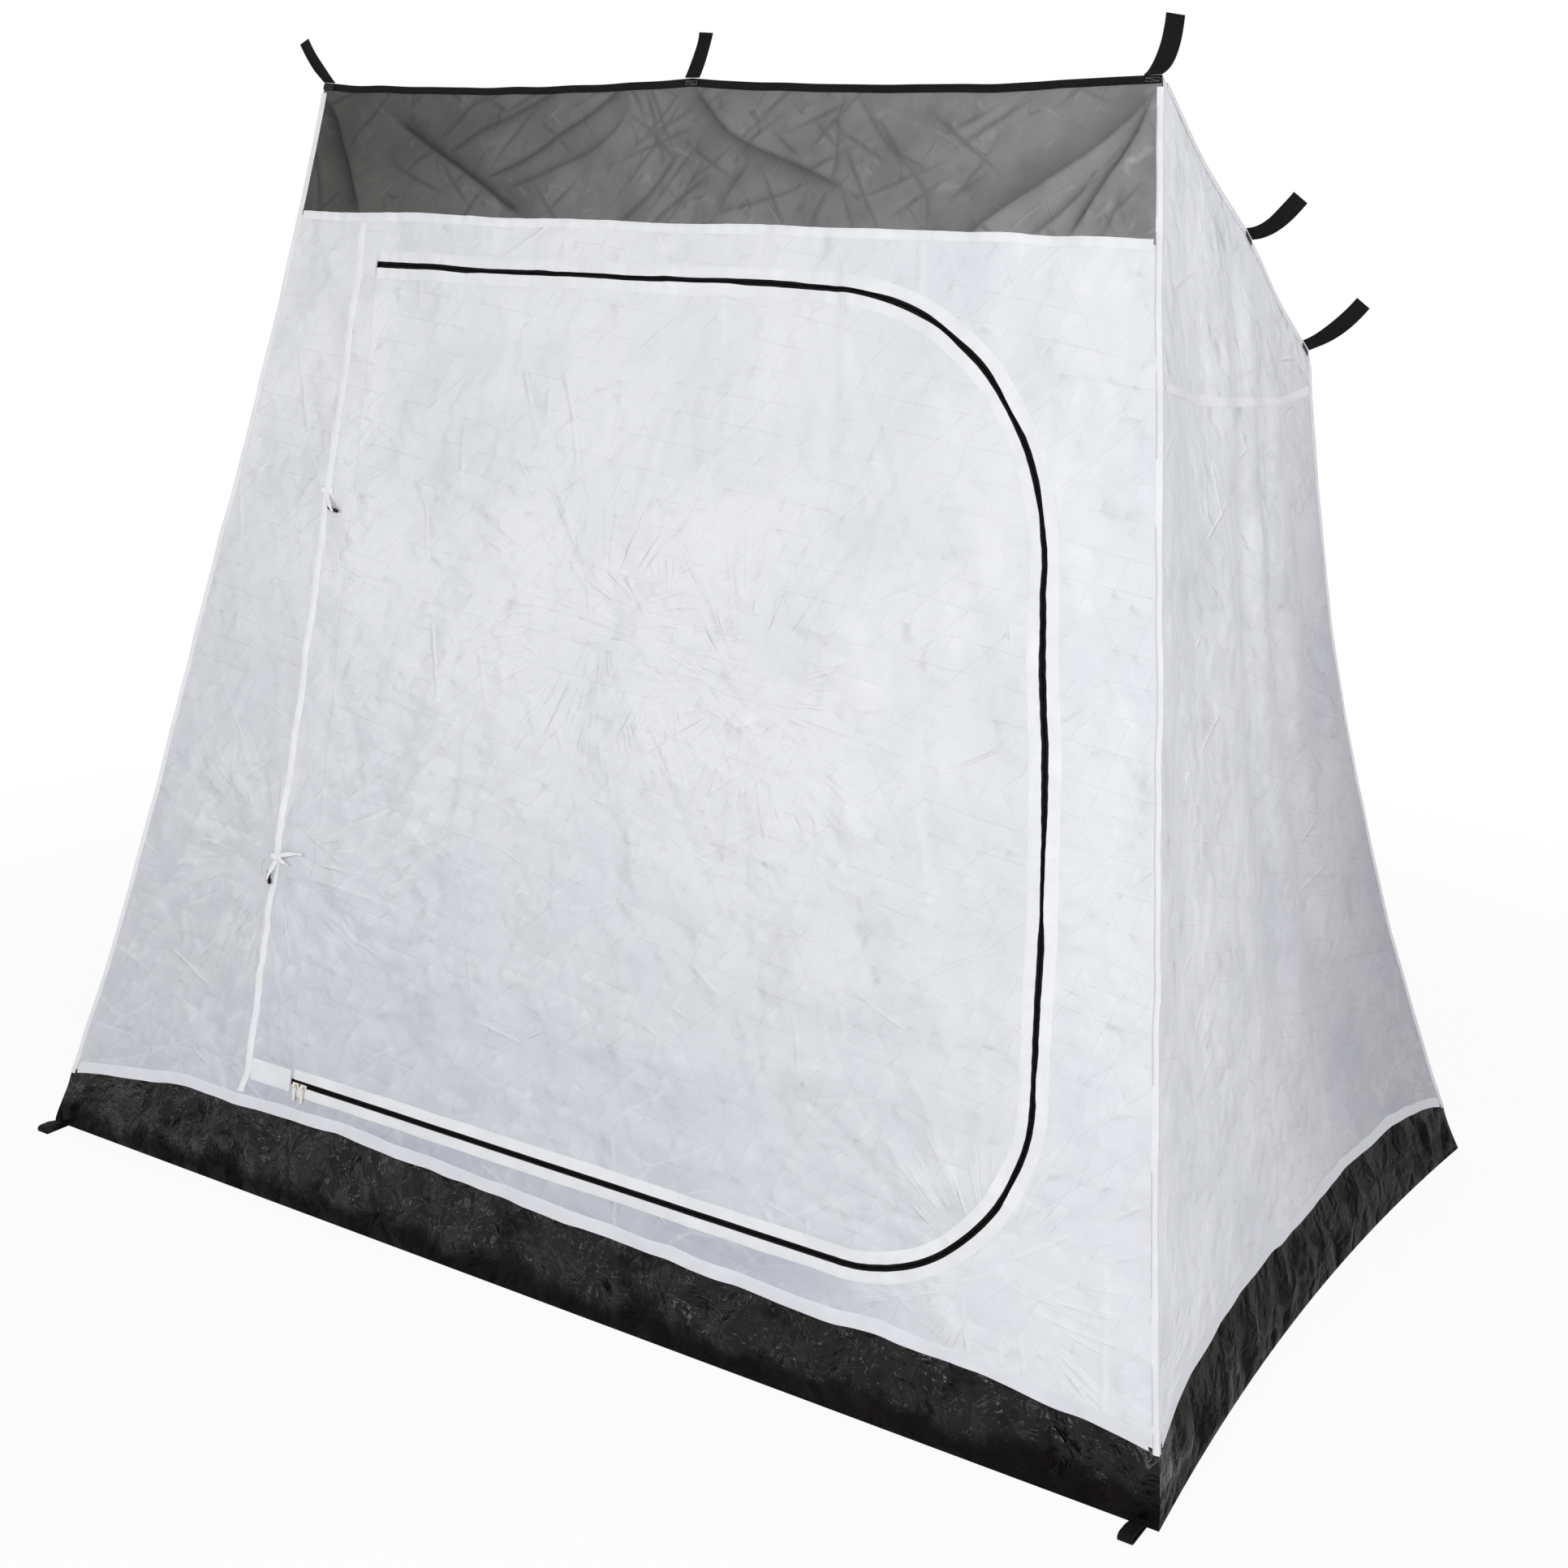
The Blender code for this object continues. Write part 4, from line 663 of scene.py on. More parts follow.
def wall_relief(wall, u, v):
    """How far another wall's creases stand out, fading to nothing at its edges."""
    width, rise = width_at(wall, v), ROOMS[wall][1]
    a, b = (u - 0.5) * width, v * rise
    if wall == "roof":
        keep = ease(u * width / 0.04) * ease((1 - u) * width / 0.04)
        keep = keep * ease(v * rise / 0.04) * ease((1 - v) * rise / 0.04)
    else:
        foot = tub_edge(wall, u)
        keep = ease(u * width / 0.045) * ease((1 - u) * width / 0.045)
        keep = keep * ease((1 - v) * rise / 0.035) * ease((v - foot) * rise / 0.045)
        seam = np.abs(v - cross_seam(wall, u)) * rise if wall != "back" else 1.0
        keep = keep * (0.35 + 0.65 * ease(seam / 0.05))
    seed = 60 + 7 * list(ROOMS).index(wall)
    height = 0.0045 * swell_flat(a, b * 0.45, 0.24, seed)
    height = height + 0.0016 * swell_flat(a, b, 0.11, seed + 1)
    height = height + 0.0030 * facets(a, b * 0.5, 0.17, seed + 200)
    height = height + 0.0012 * facets(a, b, 0.06, seed + 300)
    calm = 1.0 if wall in ("back", "roof") else 0.6
    return (height + crease_height(a, b, CREASES[wall])) * keep * calm


LOWER_RUN = (-0.6538, 0.1997)       # y and z of the zip's lower run


def wander(base):
    """A small drift in space that all layers share, so that no seam runs quite straight."""
    drift = 0.0024 * np.stack([swell(base, 0.17, 101 + i) for i in range(3)], -1)
    drift = drift + 0.0012 * np.stack([swell(base, 0.055, 111 + i) for i in range(3)], -1)
    off_front = (base - FRONT_FOOT) @ OUT
    on_run = np.exp(-((base[..., 0] - 0.75) / 0.11) ** 2 - ((base[..., 2] - 0.83) / 0.24) ** 2)
    drift[..., 0] += 0.012 * on_run * np.exp(-(off_front / 0.08) ** 2)
    calm = ease(base[..., 2] / 0.05)
    near_run = np.hypot(base[..., 2] - LOWER_RUN[1], base[..., 1] - LOWER_RUN[0])
    along = ease((base[..., 0] + 0.66) / 0.06) * ease((0.60 - base[..., 0]) / 0.06)
    calm = calm * (1 - 0.92 * along * np.exp(-(near_run / 0.045) ** 2))
    return drift * calm[..., None]


def seam_point(wall, u, v):
    """The point at fractions u and v of a wall, with the drift that all layers share."""
    base = patch(wall, u, v)
    return base + wander(base)


def wall_place(wall, u, v):
    """What layers() takes for fractions u and v of a wall."""
    return front_flat(u, v) if wall == "front" else (u, v)


def layers(wall, a, b, outs):
    """Points at several depths over a wall. a, b are x, h on the front and u, v elsewhere."""
    a, b = np.broadcast_arrays(np.asarray(a, float), np.asarray(b, float))
    if wall == "front":
        base, normal, relief = on_front(a, b), OUT, front_relief(a, b)
    else:
        base, normal = patch(wall, a, b), wall_normal(wall, a, b)
        relief = wall_relief(wall, a, b)
    moved = base + wander(base)
    return [moved + normal * (relief + out)[..., None] for out in outs]


# Meshes
def make_object(name, mesh):
    made = bpy.data.objects.new(name, mesh)
    bpy.context.scene.collection.objects.link(made)
    return made


def make_mesh(name, points, faces, material, flat=None, sharp=55):
    """A closed mesh with its faces outwards; flat is the cloth's own u, v for each point."""
    points = np.asarray(points, float).reshape(-1, 3)
    total = 0.0
    for part in faces:
        for i in range(1, part.shape[1] - 1):
            corner = points[part[:, [0, i, i + 1]]]
            total += np.einsum("ij,ij->", corner[:, 0], np.cross(corner[:, 1], corner[:, 2]))
    if total < 0:
        faces = [part[:, ::-1] for part in faces]
    rows = [row for part in faces for row in part.tolist()]
    mesh = bpy.data.meshes.new(name)
    mesh.from_pydata(points.tolist(), [], rows)
    mesh.polygons.foreach_set("use_smooth", np.ones(len(mesh.polygons), bool))
    if flat is not None:
        corners = np.zeros(len(mesh.loops), np.int32)
        mesh.loops.foreach_get("vertex_index", corners)
        shown = mesh.uv_layers.new(name="cut")
        shown.uv.foreach_set("vector", np.asarray(flat, float).reshape(-1, 2)[corners].ravel())
    mesh.set_sharp_from_angle(angle=math.radians(sharp))
    mesh.materials.append(material)
    mesh.update()
    return make_object(name, mesh)


def grid_faces(rows, columns, shift=0):
    at = np.arange(rows * columns).reshape(rows, columns) + shift
    return np.stack([at[:-1, :-1], at[:-1, 1:], at[1:, 1:], at[1:, :-1]], -1).reshape(-1, 4)


def grid_shell(name, outer, inner, material, flat=None, **kind):
    """A sheet between two grids of points with the same rows and columns."""
    rows, columns = outer.shape[:2]
    count = rows * columns
    at = np.arange(count).reshape(rows, columns)
    rim = np.concatenate([at[0, ::-1], at[1:, 0], at[-1, 1:], at[-2::-1, -1]])
    rim_faces = np.stack([rim[:-1], rim[1:], rim[1:] + count, rim[:-1] + count], -1)
    faces = [grid_faces(rows, columns), grid_faces(rows, columns, count)[:, ::-1], rim_faces]
    points = np.concatenate([outer.reshape(-1, 3), inner.reshape(-1, 3)])
    if flat is not None:
        flat = np.concatenate([flat.reshape(-1, 2)] * 2)
    return make_mesh(name, points, faces, material, flat, **kind)


def inside(x, y, loop):
    """Whether points lie inside a closed outline."""
    odd = np.zeros(np.shape(x), bool)
    for (x0, y0), (x1, y1) in zip(loop, np.roll(loop, -1, axis=0)):
        if y0 != y1:
            odd ^= ((y0 > y) != (y1 > y)) & (x < x0 + (y - y0) * (x1 - x0) / (y1 - y0))
    return odd


def close_loop(loop, step):
    """A closed outline with points no more than a step apart."""
    made = []
    for a, b in zip(loop, np.roll(loop, -1, axis=0)):
        count = max(int(math.ceil(np.linalg.norm(b - a) / step)), 1)
        made.append(a + (b - a) * (np.arange(count) / count)[:, None])
    return np.concatenate(made)


def fill_plate(outline, holes, step):
    """Triangles that fill an outline round its holes, about a step apart."""
    loops = [close_loop(np.asarray(loop, float), step) for loop in [outline, *holes]]
    edge = np.concatenate(loops)
    tree = search_tree(edge)
    low, high = loops[0].min(0), loops[0].max(0)
    across = np.arange(low[0], high[0], step)
    upward = np.arange(low[1], high[1], step * 0.866)
    x, y = np.meshgrid(across, upward)
    x = (x + (np.arange(len(upward)) % 2)[:, None] * step / 2).ravel()
    y = y.ravel()
    keep = inside(x, y, loops[0])
    for hole in loops[1:]:
        keep &= ~inside(x, y, hole)
    x, y = x[keep], y[keep]
    clear = [tree.find((p, q, 0))[2] > 0.62 * step for p, q in zip(x, y)]
    flat = np.concatenate([edge, np.stack([x, y], -1)[clear]])
    edges, start = [], 0
    for loop in loops:
        edges += [(start + i, start + (i + 1) % len(loop)) for i in range(len(loop))]
        start += len(loop)
    made = delaunay_2d_cdt([Vector(spot) for spot in flat.tolist()], edges, [], 1, 1e-9)
    flat = np.array([tuple(spot) for spot in made[0]])
    faces = np.array([face for face in made[2] if len(face) == 3])
    centre = flat[faces].mean(1)
    stay = np.ones(len(faces), bool)
    for hole in loops[1:]:
        stay &= ~inside(centre[:, 0], centre[:, 1], hole)
    return flat, faces[stay]


def border(faces, count):
    """The directed edges that only one face uses."""
    edges = np.concatenate([faces[:, [0, 1]], faces[:, [1, 2]], faces[:, [2, 0]]])
    forward, backward = edges[:, 0] * count + edges[:, 1], edges[:, 1] * count + edges[:, 0]
    return edges[~np.isin(forward, backward)]


def mark(piece, name, values):
    """Keep a value for each point of a piece, for its material to read."""
    kept = piece.data.attributes.new(name, "FLOAT", "POINT")
    kept.data.foreach_set("value", np.clip(values, 0, 1).astype(np.float32).ravel())


def front_plate(name, outline, holes, step, material, shade=None):
    """A piece of the front wall's cloth, cut to an outline round its holes."""
    flat, faces = fill_plate(outline, holes, step)
    outer, inner = layers("front", flat[:, 0], flat[:, 1], (half_cloth, -half_cloth))
    count = len(flat)
    rim = border(faces, count)
    rim = np.stack([rim[:, 1], rim[:, 0], rim[:, 0] + count, rim[:, 1] + count], -1)
    parts = [faces, faces[:, ::-1] + count, rim]
    made = make_mesh(name, np.concatenate([outer, inner]), parts, material,
                     np.concatenate([flat, flat]))
    if shade:
        mark(made, "fold", np.tile(shade(flat[:, 0], flat[:, 1]), 2))
    return made


def dress(piece, *nodes):
    """The piece stands for CAD nodes of one body: it moves with the body, and the nodes are hidden.
    """
    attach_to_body(piece, BODY[nodes[0]])
    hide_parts(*nodes)
    return piece


def attach(piece, body):
    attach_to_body(piece, body)
    return piece


# Node trees
class Wire:
    """An output socket that takes part in arithmetic; each operator adds a Math node."""

    def __init__(self, tree, socket):
        self.tree, self.socket = tree, socket

    def maths(self, operation, *values):
        return self.tree.node("ShaderNodeMath", {"operation": operation}, *values)

    def vector(self, operation, *values, out=0):
        return self.tree.node("ShaderNodeVectorMath", {"operation": operation}, *values, out=out)

    def __add__(self, other):
        return self.maths("ADD", self, other)

    def __sub__(self, other):
        return self.maths("SUBTRACT", self, other)

    def __rsub__(self, other):
        return self.maths("SUBTRACT", other, self)

    def __mul__(self, other):
        return self.maths("MULTIPLY", self, other)

    def __truediv__(self, other):
        return self.maths("DIVIDE", self, other)

    def __pow__(self, other):
        return self.maths("POWER", self, other)

    def __abs__(self):
        return self.maths("ABSOLUTE", self)

    __radd__ = __add__
    __rmul__ = __mul__


class Tree:
    """Adds nodes to a node tree: settings are set first, then sockets by place or name."""

    def __init__(self, tree):
        self.tree = tree

    def node(self, kind, settings=None, *values, out=0, **named):
        made = self.tree.nodes.new(kind)
        for name, value in (settings or {}).items():
            setattr(made, name, value)
        given = list(enumerate(values)) + [(name.replace("_", " "), value)
                                           for name, value in named.items()]
        for name, value in given:
            socket = made.inputs[name]
            if isinstance(value, Wire):
                self.tree.links.new(value.socket, socket)
            else:
                socket.default_value = value
        if not made.outputs:
            return made
        return Wire(self, made.outputs[out])


class Finish(Tree):
    """One material's nodes."""

    def __init__(self, name):
        self.material = bpy.data.materials.new(name)
        self.material.use_nodes = True
        super().__init__(self.material.node_tree)
        self.tree.nodes.clear()

    def spot(self):
        return self.node("ShaderNodeTexCoord", out="Object")

    def place(self, turn=0.0, stretch=1.0):
        """The cloth's own u and v, turned, and stretched along the turned Y."""
        flat = self.node("ShaderNodeTexCoord", out="UV")
        return self.node("ShaderNodeMapping", {"vector_type": "TEXTURE"}, flat,
                         Rotation=(0.0, 0.0, turn), Scale=(1.0, stretch, 1.0))

    def noise(self, place, size, detail=3.0, rough=0.55, twist=0.0):
        return self.node("ShaderNodeTexNoise", {"normalize": True}, place, out="Fac",
                         Scale=1 / size, Detail=detail, Roughness=rough, Distortion=twist)

    def between(self, value, low, high, to_low=0.0, to_high=1.0):
        return self.node("ShaderNodeMapRange", {"interpolation_type": "SMOOTHSTEP"}, value, low,
                         high, to_low, to_high)

    def colours(self, factor, first, second):
        made = self.tree.nodes.new("ShaderNodeMix")
        made.data_type = "RGBA"
        self.tree.links.new(factor.socket, made.inputs["Factor"])
        for name, value in (("A", first), ("B", second)):
            socket = [item for item in made.inputs if item.name == name and item.type == "RGBA"][0]
            if isinstance(value, Wire):
                self.tree.links.new(value.socket, socket)
            else:
                socket.default_value = (*value, 1.0)
        shown = [item for item in made.outputs if item.type == "RGBA"][0]
        return Wire(self, shown)

    def axis(self, place, name):
        return self.node("ShaderNodeSeparateXYZ", None, place, out=name)

    def relief(self, *steps):
        """Bumps over each other, each a height of 0 to 1, what 1 stands for in metres, and a
        strength where it isn't 1."""
        extra = {}
        for height, depth, *strength in steps:
            extra["Normal"] = self.node("ShaderNodeBump", None, Strength=(*strength, 1.0)[0],
                                        Distance=depth, Height=height, **extra)
        return extra["Normal"]

    def times(self, colour, share):
        return colour.vector("MULTIPLY", colour, (share,) * 3)

    def surface(self, **sockets):
        shader = self.node("ShaderNodeBsdfPrincipled", None, **sockets)
        self.node("ShaderNodeOutputMaterial", None, shader)
        return self.material


def facet(paint, size, turn, stretch):
    """Flat faces that meet in crisp straight creases: a height from 0 up."""
    place = paint.place(turn, stretch)
    bend = paint.node("ShaderNodeTexNoise", None, place, out="Color", Scale=0.6 / size, Detail=2.0)
    bend = bend.vector("SUBTRACT", bend, (0.5, 0.5, 0.5))
    place = bend.vector("MULTIPLY_ADD", bend, (0.7 * size,) * 3, place)
    return paint.node("ShaderNodeTexVoronoi", {"feature": "DISTANCE_TO_EDGE"}, place,
                      out="Distance", Scale=1 / size, Randomness=1.0)


def line_where(paint, value, sharp):
    """A thin line where a noise of 0 to 1 passes its middle: 1 on it and 0 away from it."""
    return paint.between(abs(value * 2 - 1), 1 / sharp, 0.0)


def long_lines(paint, size, turn, stretch, sharp):
    """Long pressed lines that come and go."""
    line = line_where(paint, paint.noise(paint.place(turn, stretch), size, 1.0,
                                         0.4, 0.15), sharp)
    patches = paint.noise(paint.place(turn + 0.7), size * 1.1, 2.0)
    return line * paint.between(patches, 0.50, 0.66)


def held_lines(paint, centre, reach):
    """Creases that run straight out from a point where the cloth is held."""
    spot = paint.place()
    away = spot.vector("SUBTRACT", spot, (*centre, 0.0))
    near = away.vector("LENGTH", away, out="Value")
    turn = away.vector("NORMALIZE", away)
    ring = paint.times(away, 2.2)
    place = turn.vector("MULTIPLY_ADD", turn, (3.2, 3.2, 1.0), ring)
    line = line_where(paint, paint.noise(place, 1.0, 3.0, 0.55), 7.0)
    uneven = paint.noise(paint.place(0.3), reach * 0.22, 2.0)
    window = paint.between(near, reach, reach * 0.2) * paint.between(near, 0.02, 0.13)
    return line * window * paint.between(uneven, 0.38, 0.6)


def swept(paint, kinds):
    """Folds with a soft and a sharp side: each kind is a width, a turn and a stretch."""
    total = None
    for i, (size, turn, stretch) in enumerate(kinds):
        wave = paint.node("ShaderNodeTexWave", {"wave_profile": "SAW"},
                          paint.place(turn, stretch), out="Fac",
                          Scale=0.314 / size, Distortion=3.2, Detail=1.5, Detail_Scale=0.9,
                          Detail_Roughness=0.5)
        patches = paint.noise(paint.place(1.7 + i, 1 / 0.6), size * 2.0, 2.0)
        part = wave * paint.between(patches, 0.44, 0.62)
        total = part if total is None else total + part
    return total


def weave(paint, pitch, place=None):
    """Crossed threads, from 0 to 1."""
    place = place or paint.place()
    step = 2 * math.pi / pitch
    across = paint.axis(place, "X").maths("SINE", paint.axis(place, "X") * step)
    upward = across.maths("SINE", paint.axis(place, "Y") * step)
    return across * upward * 0.5 + 0.5


def white_cloth(name, tint, low_tint, held=(), rear_tint=None, foot_tint=None,
                right_tint=None):
    """Thin white polyester: flat facets and thin crisp creases. Light and shade are painted into
    its
    colour: painted shade makes it greyer and bluer towards the floor, its creases carry painted
    highlights, and some copies add painted light to the right, painted shade to the rear and foot,
    and a paler patch where the pocket lies behind. Each held item is a point where the cloth is
    held and how far its creases run."""
    paint = Finish(name)
    spot = paint.spot()
    across, deep = paint.axis(spot, "X"), paint.axis(spot, "Y")
    height = paint.axis(spot, "Z")
    behind = paint.node("ShaderNodeAttribute", {"attribute_name": "behind"}, out="Fac")
    mottle = paint.noise(paint.place(0.0, 1 / 0.6), 0.30, 4.0, 0.55)
    # painted light and shade: towards the floor and the left the colour moves from tint to
    # low_tint, darker on the front and lighter on the side walls; the crumples grow stronger there
    # too
    low = paint.between(height + across * 0.32 + mottle * 0.5 - 0.25, 1.05, 0.05)
    wide = facet(paint, 0.230, 0.5, 1.3)
    middle = facet(paint, 0.085, 1.9, 2.6)
    fine = facet(paint, 0.036, 1.1, 2.2)
    patches = paint.between(paint.noise(paint.place(0.9), 0.24, 2.0), 0.44, 0.66)
    crumpled = patches * (low * 0.6 + 0.4)
    lines = long_lines(paint, 0.16, 0.25, 9.0, 24.0) + long_lines(paint, 0.13, 2.2, 7.0, 22.0)
    lines = lines + long_lines(paint, 0.10, 1.2, 6.0, 18.0) * (low * 0.7 + 0.3)
    for centre, reach in held:
        lines = lines + held_lines(paint, centre, reach)
    folds = swept(paint, ((0.075, 0.60, 4.0), (0.055, 2.35, 4.5), (0.042, 1.45, 5.0),
                          (0.034, 2.80, 4.0)))
    creased = paint.between(middle, 0.035, 0.0) * crumpled + lines + folds * 0.45
    # painted shade towards the floor, from the mask above
    colour = paint.colours(low, tint, low_tint)
    # painted light: towards the right the cloth is painted lighter, also low down
    if right_tint:
        colour = paint.colours(paint.between(across, 0.10, 0.80), colour, right_tint)
    # painted shade: the side walls are painted darker towards the back and the foot
    if rear_tint:
        rear = paint.between(deep - height * 0.26 + mottle * 0.20 - 0.10, -0.45, 0.50)
        colour = paint.colours(rear, colour, rear_tint)
    # painted shade: a darker, bluer band low down, below the zip, fading out towards the right
    if foot_tint:
        foot = paint.between(height, 0.27, 0.17) * paint.between(across, 0.85, 0.35)
        colour = paint.colours(foot, colour, foot_tint)
    # painted shade: bluer, darker patches laid out by noise, standing for the shade in the cloth's
    # hollows
    cool_shade = colour.vector("MULTIPLY", colour, (0.935, 0.942, 0.965))
    colour = paint.colours(paint.between(mottle + patches * 0.15, 0.40, 0.72), colour, cool_shade)
    # painted highlights: the creases and fold lines are painted paler, more so low down
    crease_highlight = colour.vector("MULTIPLY_ADD", colour, (0.84, 0.84, 0.84), (0.160, 0.160, 0.160))
    colour = paint.colours(paint.between(creased * (low * 0.6 + 0.4), 0.0, 1.1), colour, crease_highlight)
    # painted light: paler where the pocket lies behind the wall, as if seen through the cloth
    if rear_tint:
        clear = colour.vector("MULTIPLY_ADD", colour, (0.66, 0.66, 0.66), (0.265, 0.265, 0.275))
        colour = paint.colours(behind * 0.85, colour, clear)
    shape = paint.relief((wide, 0.0150), (folds, 0.0030),
                         (middle * (crumpled * 0.75 + 0.25), 0.0056), (fine * crumpled, 0.0018),
                         (lines, 0.0013), (weave(paint, 0.0011), 0.00005, 0.3))
    rough = paint.between(mottle, 0.3, 0.7, 0.44, 0.56)
    return paint.surface(Base_Color=colour, Roughness=rough, Normal=shape, Sheen_Weight=0.10,
                         Sheen_Roughness=0.4)


def white_tape(name, tint, pitch=0.0014):
    """Woven tape with fine ribs across it."""
    paint = Finish(name)
    place = paint.place()
    ribs = paint.axis(place, "X").maths("SINE", paint.axis(place, "X") * (2 * math.pi / pitch))
    folds = paint.noise(paint.place(0.0, 1 / 0.25), 0.012, 3.0, 0.6)
    soil = paint.noise(paint.spot(), 0.05, 3.0)
    dark = tuple(c * 0.93 for c in tint)
    colour = paint.colours(paint.between(soil, 0.3, 0.7), tint, dark)
    shape = paint.relief((folds, 0.0016, 0.6), (ribs * 0.5 + 0.5, 0.00012, 0.6))
    rough = paint.between(folds, 0.3, 0.7, 0.45, 0.62)
    return paint.surface(Base_Color=colour, Roughness=rough, Normal=shape, Sheen_Weight=0.15)


def mosquito_mesh():
    """Fine dark netting: its threads merge into grey, with light and shade painted in: lighter
    towards the right, paler and darker lines along its creases, and darker where a fold doubles
    it, partly for the doubled netting and partly as painted shade.
    """
    paint = Finish("mosquito_mesh")
    fold = paint.node("ShaderNodeAttribute", {"attribute_name": "fold"}, out="Fac")
    across = paint.axis(paint.spot(), "X")
    mottle = paint.noise(paint.place(), 0.10, 4.0, 0.6)
    net = weave(paint, 0.0021)
    grain = paint.noise(paint.place(), 0.0020, 2.0, 0.7)
    middle, fine = facet(paint, 0.060, 0.7, 2.4), facet(paint, 0.026, 2.4, 2.0)
    lines = long_lines(paint, 0.050, 0.95, 5.0, 14.0) + long_lines(paint, 0.045, 2.35, 5.0, 14.0)
    # painted light and shade: the netting is painted darker at its left end and lighter towards the
    # right
    base = paint.colours(paint.between(across + mottle * 0.2 - 0.1, -0.75, 0.05),
                         (0.105, 0.102, 0.098), (0.222, 0.222, 0.221))
    base = paint.colours(paint.between(across + mottle * 0.2 - 0.1, 0.05, 0.80), base,
                         (0.300, 0.300, 0.300))
    dark = paint.times(base, 0.62)
    shade = paint.between(mottle + grain * 0.30 + net * 0.06, 0.45, 1.0)
    colour = paint.colours(shade, base, dark)
    light = paint.times(base, 1.35)
    # darker along the creases: partly the netting seen denser there, partly painted shade
    edge = paint.between(middle, 0.020, 0.0) * paint.between(mottle, 0.45, 0.60)
    thin = long_lines(paint, 0.038, 0.60, 4.0, 16.0) + long_lines(paint, 0.042, 2.70, 4.0, 16.0)
    colour = paint.colours(paint.between(thin + edge * 0.5, 0.0, 1.5), colour, dark)
    # painted highlights along the long lines
    colour = paint.colours(paint.between(lines, 0.0, 2.2), colour, light)
    # darker, near black, where a fold doubles the netting: partly the doubled netting, partly
    # painted shade on the fold's soft side
    black = paint.times(base, 0.22)
    colour = paint.colours(fold ** 0.8, colour, black)
    shape = paint.relief((middle, 0.0065), (fine, 0.0024), (lines, 0.0009), (net, 0.00010, 0.6))
    cover = paint.between(fold + net * 0.25, 0.0, 1.0, 0.94, 1.0)
    return paint.surface(Base_Color=colour, Roughness=0.65, Normal=shape, Alpha=cover,
                         Specular_IOR_Level=0.10)


def black_sheet():
    """Coated woven polyethylene: deep black, with a fine weave and crisp crumples that
    shine where they turn upwards."""
    paint = Finish("black_groundsheet")
    place = paint.place()
    spot = paint.spot()
    grid = weave(paint, 0.0027, place)
    dust = paint.noise(place, 0.09, 5.0, 0.65)
    wide, middle = facet(paint, 0.085, 0.6, 1.2), facet(paint, 0.036, 2.0, 1.3)
    fine = facet(paint, 0.016, 1.2, 1.2)
    bent = paint.noise(place, 0.050, 3.0, 0.6, 0.8)
    patches = paint.noise(paint.place(0.4), 0.115, 3.0, 0.6)
    upper = paint.between(paint.axis(spot, "Z") + patches * 0.09 - 0.045, 0.022, 0.060)
    film = paint.between(patches, 0.34, 0.50, 0.30, 1.0) * upper
    film = film * paint.between(paint.axis(spot, "Y"), -0.54, -0.66, 0.12, 1.0)
    colour = paint.colours(paint.between(dust, 0.45, 0.75), (0.0048, 0.0041, 0.0037),
                           (0.0085, 0.0075, 0.0066))
    shape = paint.relief((bent, 0.015), (wide, 0.034), (middle, 0.0085), (fine, 0.0014),
                         (grid, 0.00012, 0.8))
    rough = paint.between(dust + grid * 0.1, 0.35, 0.75, 0.14, 0.25)
    matt = paint.node("ShaderNodeBsdfPrincipled", None, Base_Color=colour, Roughness=0.45,
                      Normal=shape, Specular_IOR_Level=0.035)
    shiny = paint.node("ShaderNodeBsdfPrincipled", None, Base_Color=colour, Roughness=rough,
                       Normal=shape, Specular_IOR_Level=0.20)
    both = paint.node("ShaderNodeMixShader", None, film, matt, shiny)
    paint.node("ShaderNodeOutputMaterial", None, both)
    return paint.material


def black_webbing(name="black_webbing", tint=(0.0050, 0.0048, 0.0050)):
    """Ribbed polypropylene webbing."""
    paint = Finish(name)
    place = paint.place()
    along, across = paint.axis(place, "Y"), paint.axis(place, "X")
    waver = across.maths("SINE", across * 2600) * 0.9
    rib = along.maths("SINE", along * (2 * math.pi / 0.0021) + waver)
    cord = across.maths("SINE", across * (2 * math.pi / 0.0032))
    wear = paint.noise(paint.spot(), 0.01, 4.0, 0.7)
    light = tuple(c * 2.6 for c in tint)
    colour = paint.colours(paint.between(wear + rib * 0.15, 0.5, 0.85), tint, light)
    shape = paint.relief((rib * 0.5 + 0.5, 0.00035, 0.8), (cord * 0.5 + 0.5, 0.00025, 0.6))
    rough = paint.between(wear, 0.3, 0.7, 0.48, 0.68)
    return paint.surface(Base_Color=colour, Roughness=rough, Normal=shape, Specular_IOR_Level=0.07)


def speckled(name, tint, light, size, roughness, depth, **sockets):
    """A small part's finish: a tint that varies a little, with fine unevenness."""
    paint = Finish(name)
    place = paint.spot()
    patches = paint.noise(place, size, 4.0, 0.6)
    colour = paint.colours(paint.between(patches, 0.4, 0.7), tint, light)
    shape = paint.relief((paint.noise(place, size * 0.4, 3.0), depth, 0.6))
    rough = paint.between(patches, 0.3, 0.7, roughness[0], roughness[1])
    return paint.surface(Base_Color=colour, Roughness=rough, Normal=shape, **sockets)


# Where the front wall's cloth is held, and how far its creases run from there
HELD = (((SEAM_X, TOGGLE_HEIGHTS["lower"]), 0.42), ((SEAM_X, TOGGLE_HEIGHTS["upper"]), 0.18),
        ((-0.02, 1.03), 0.46), ((0.25, 0.95), 0.38), ((0.77, 0.24), 0.40), ((0.10, 1.00), 0.30))
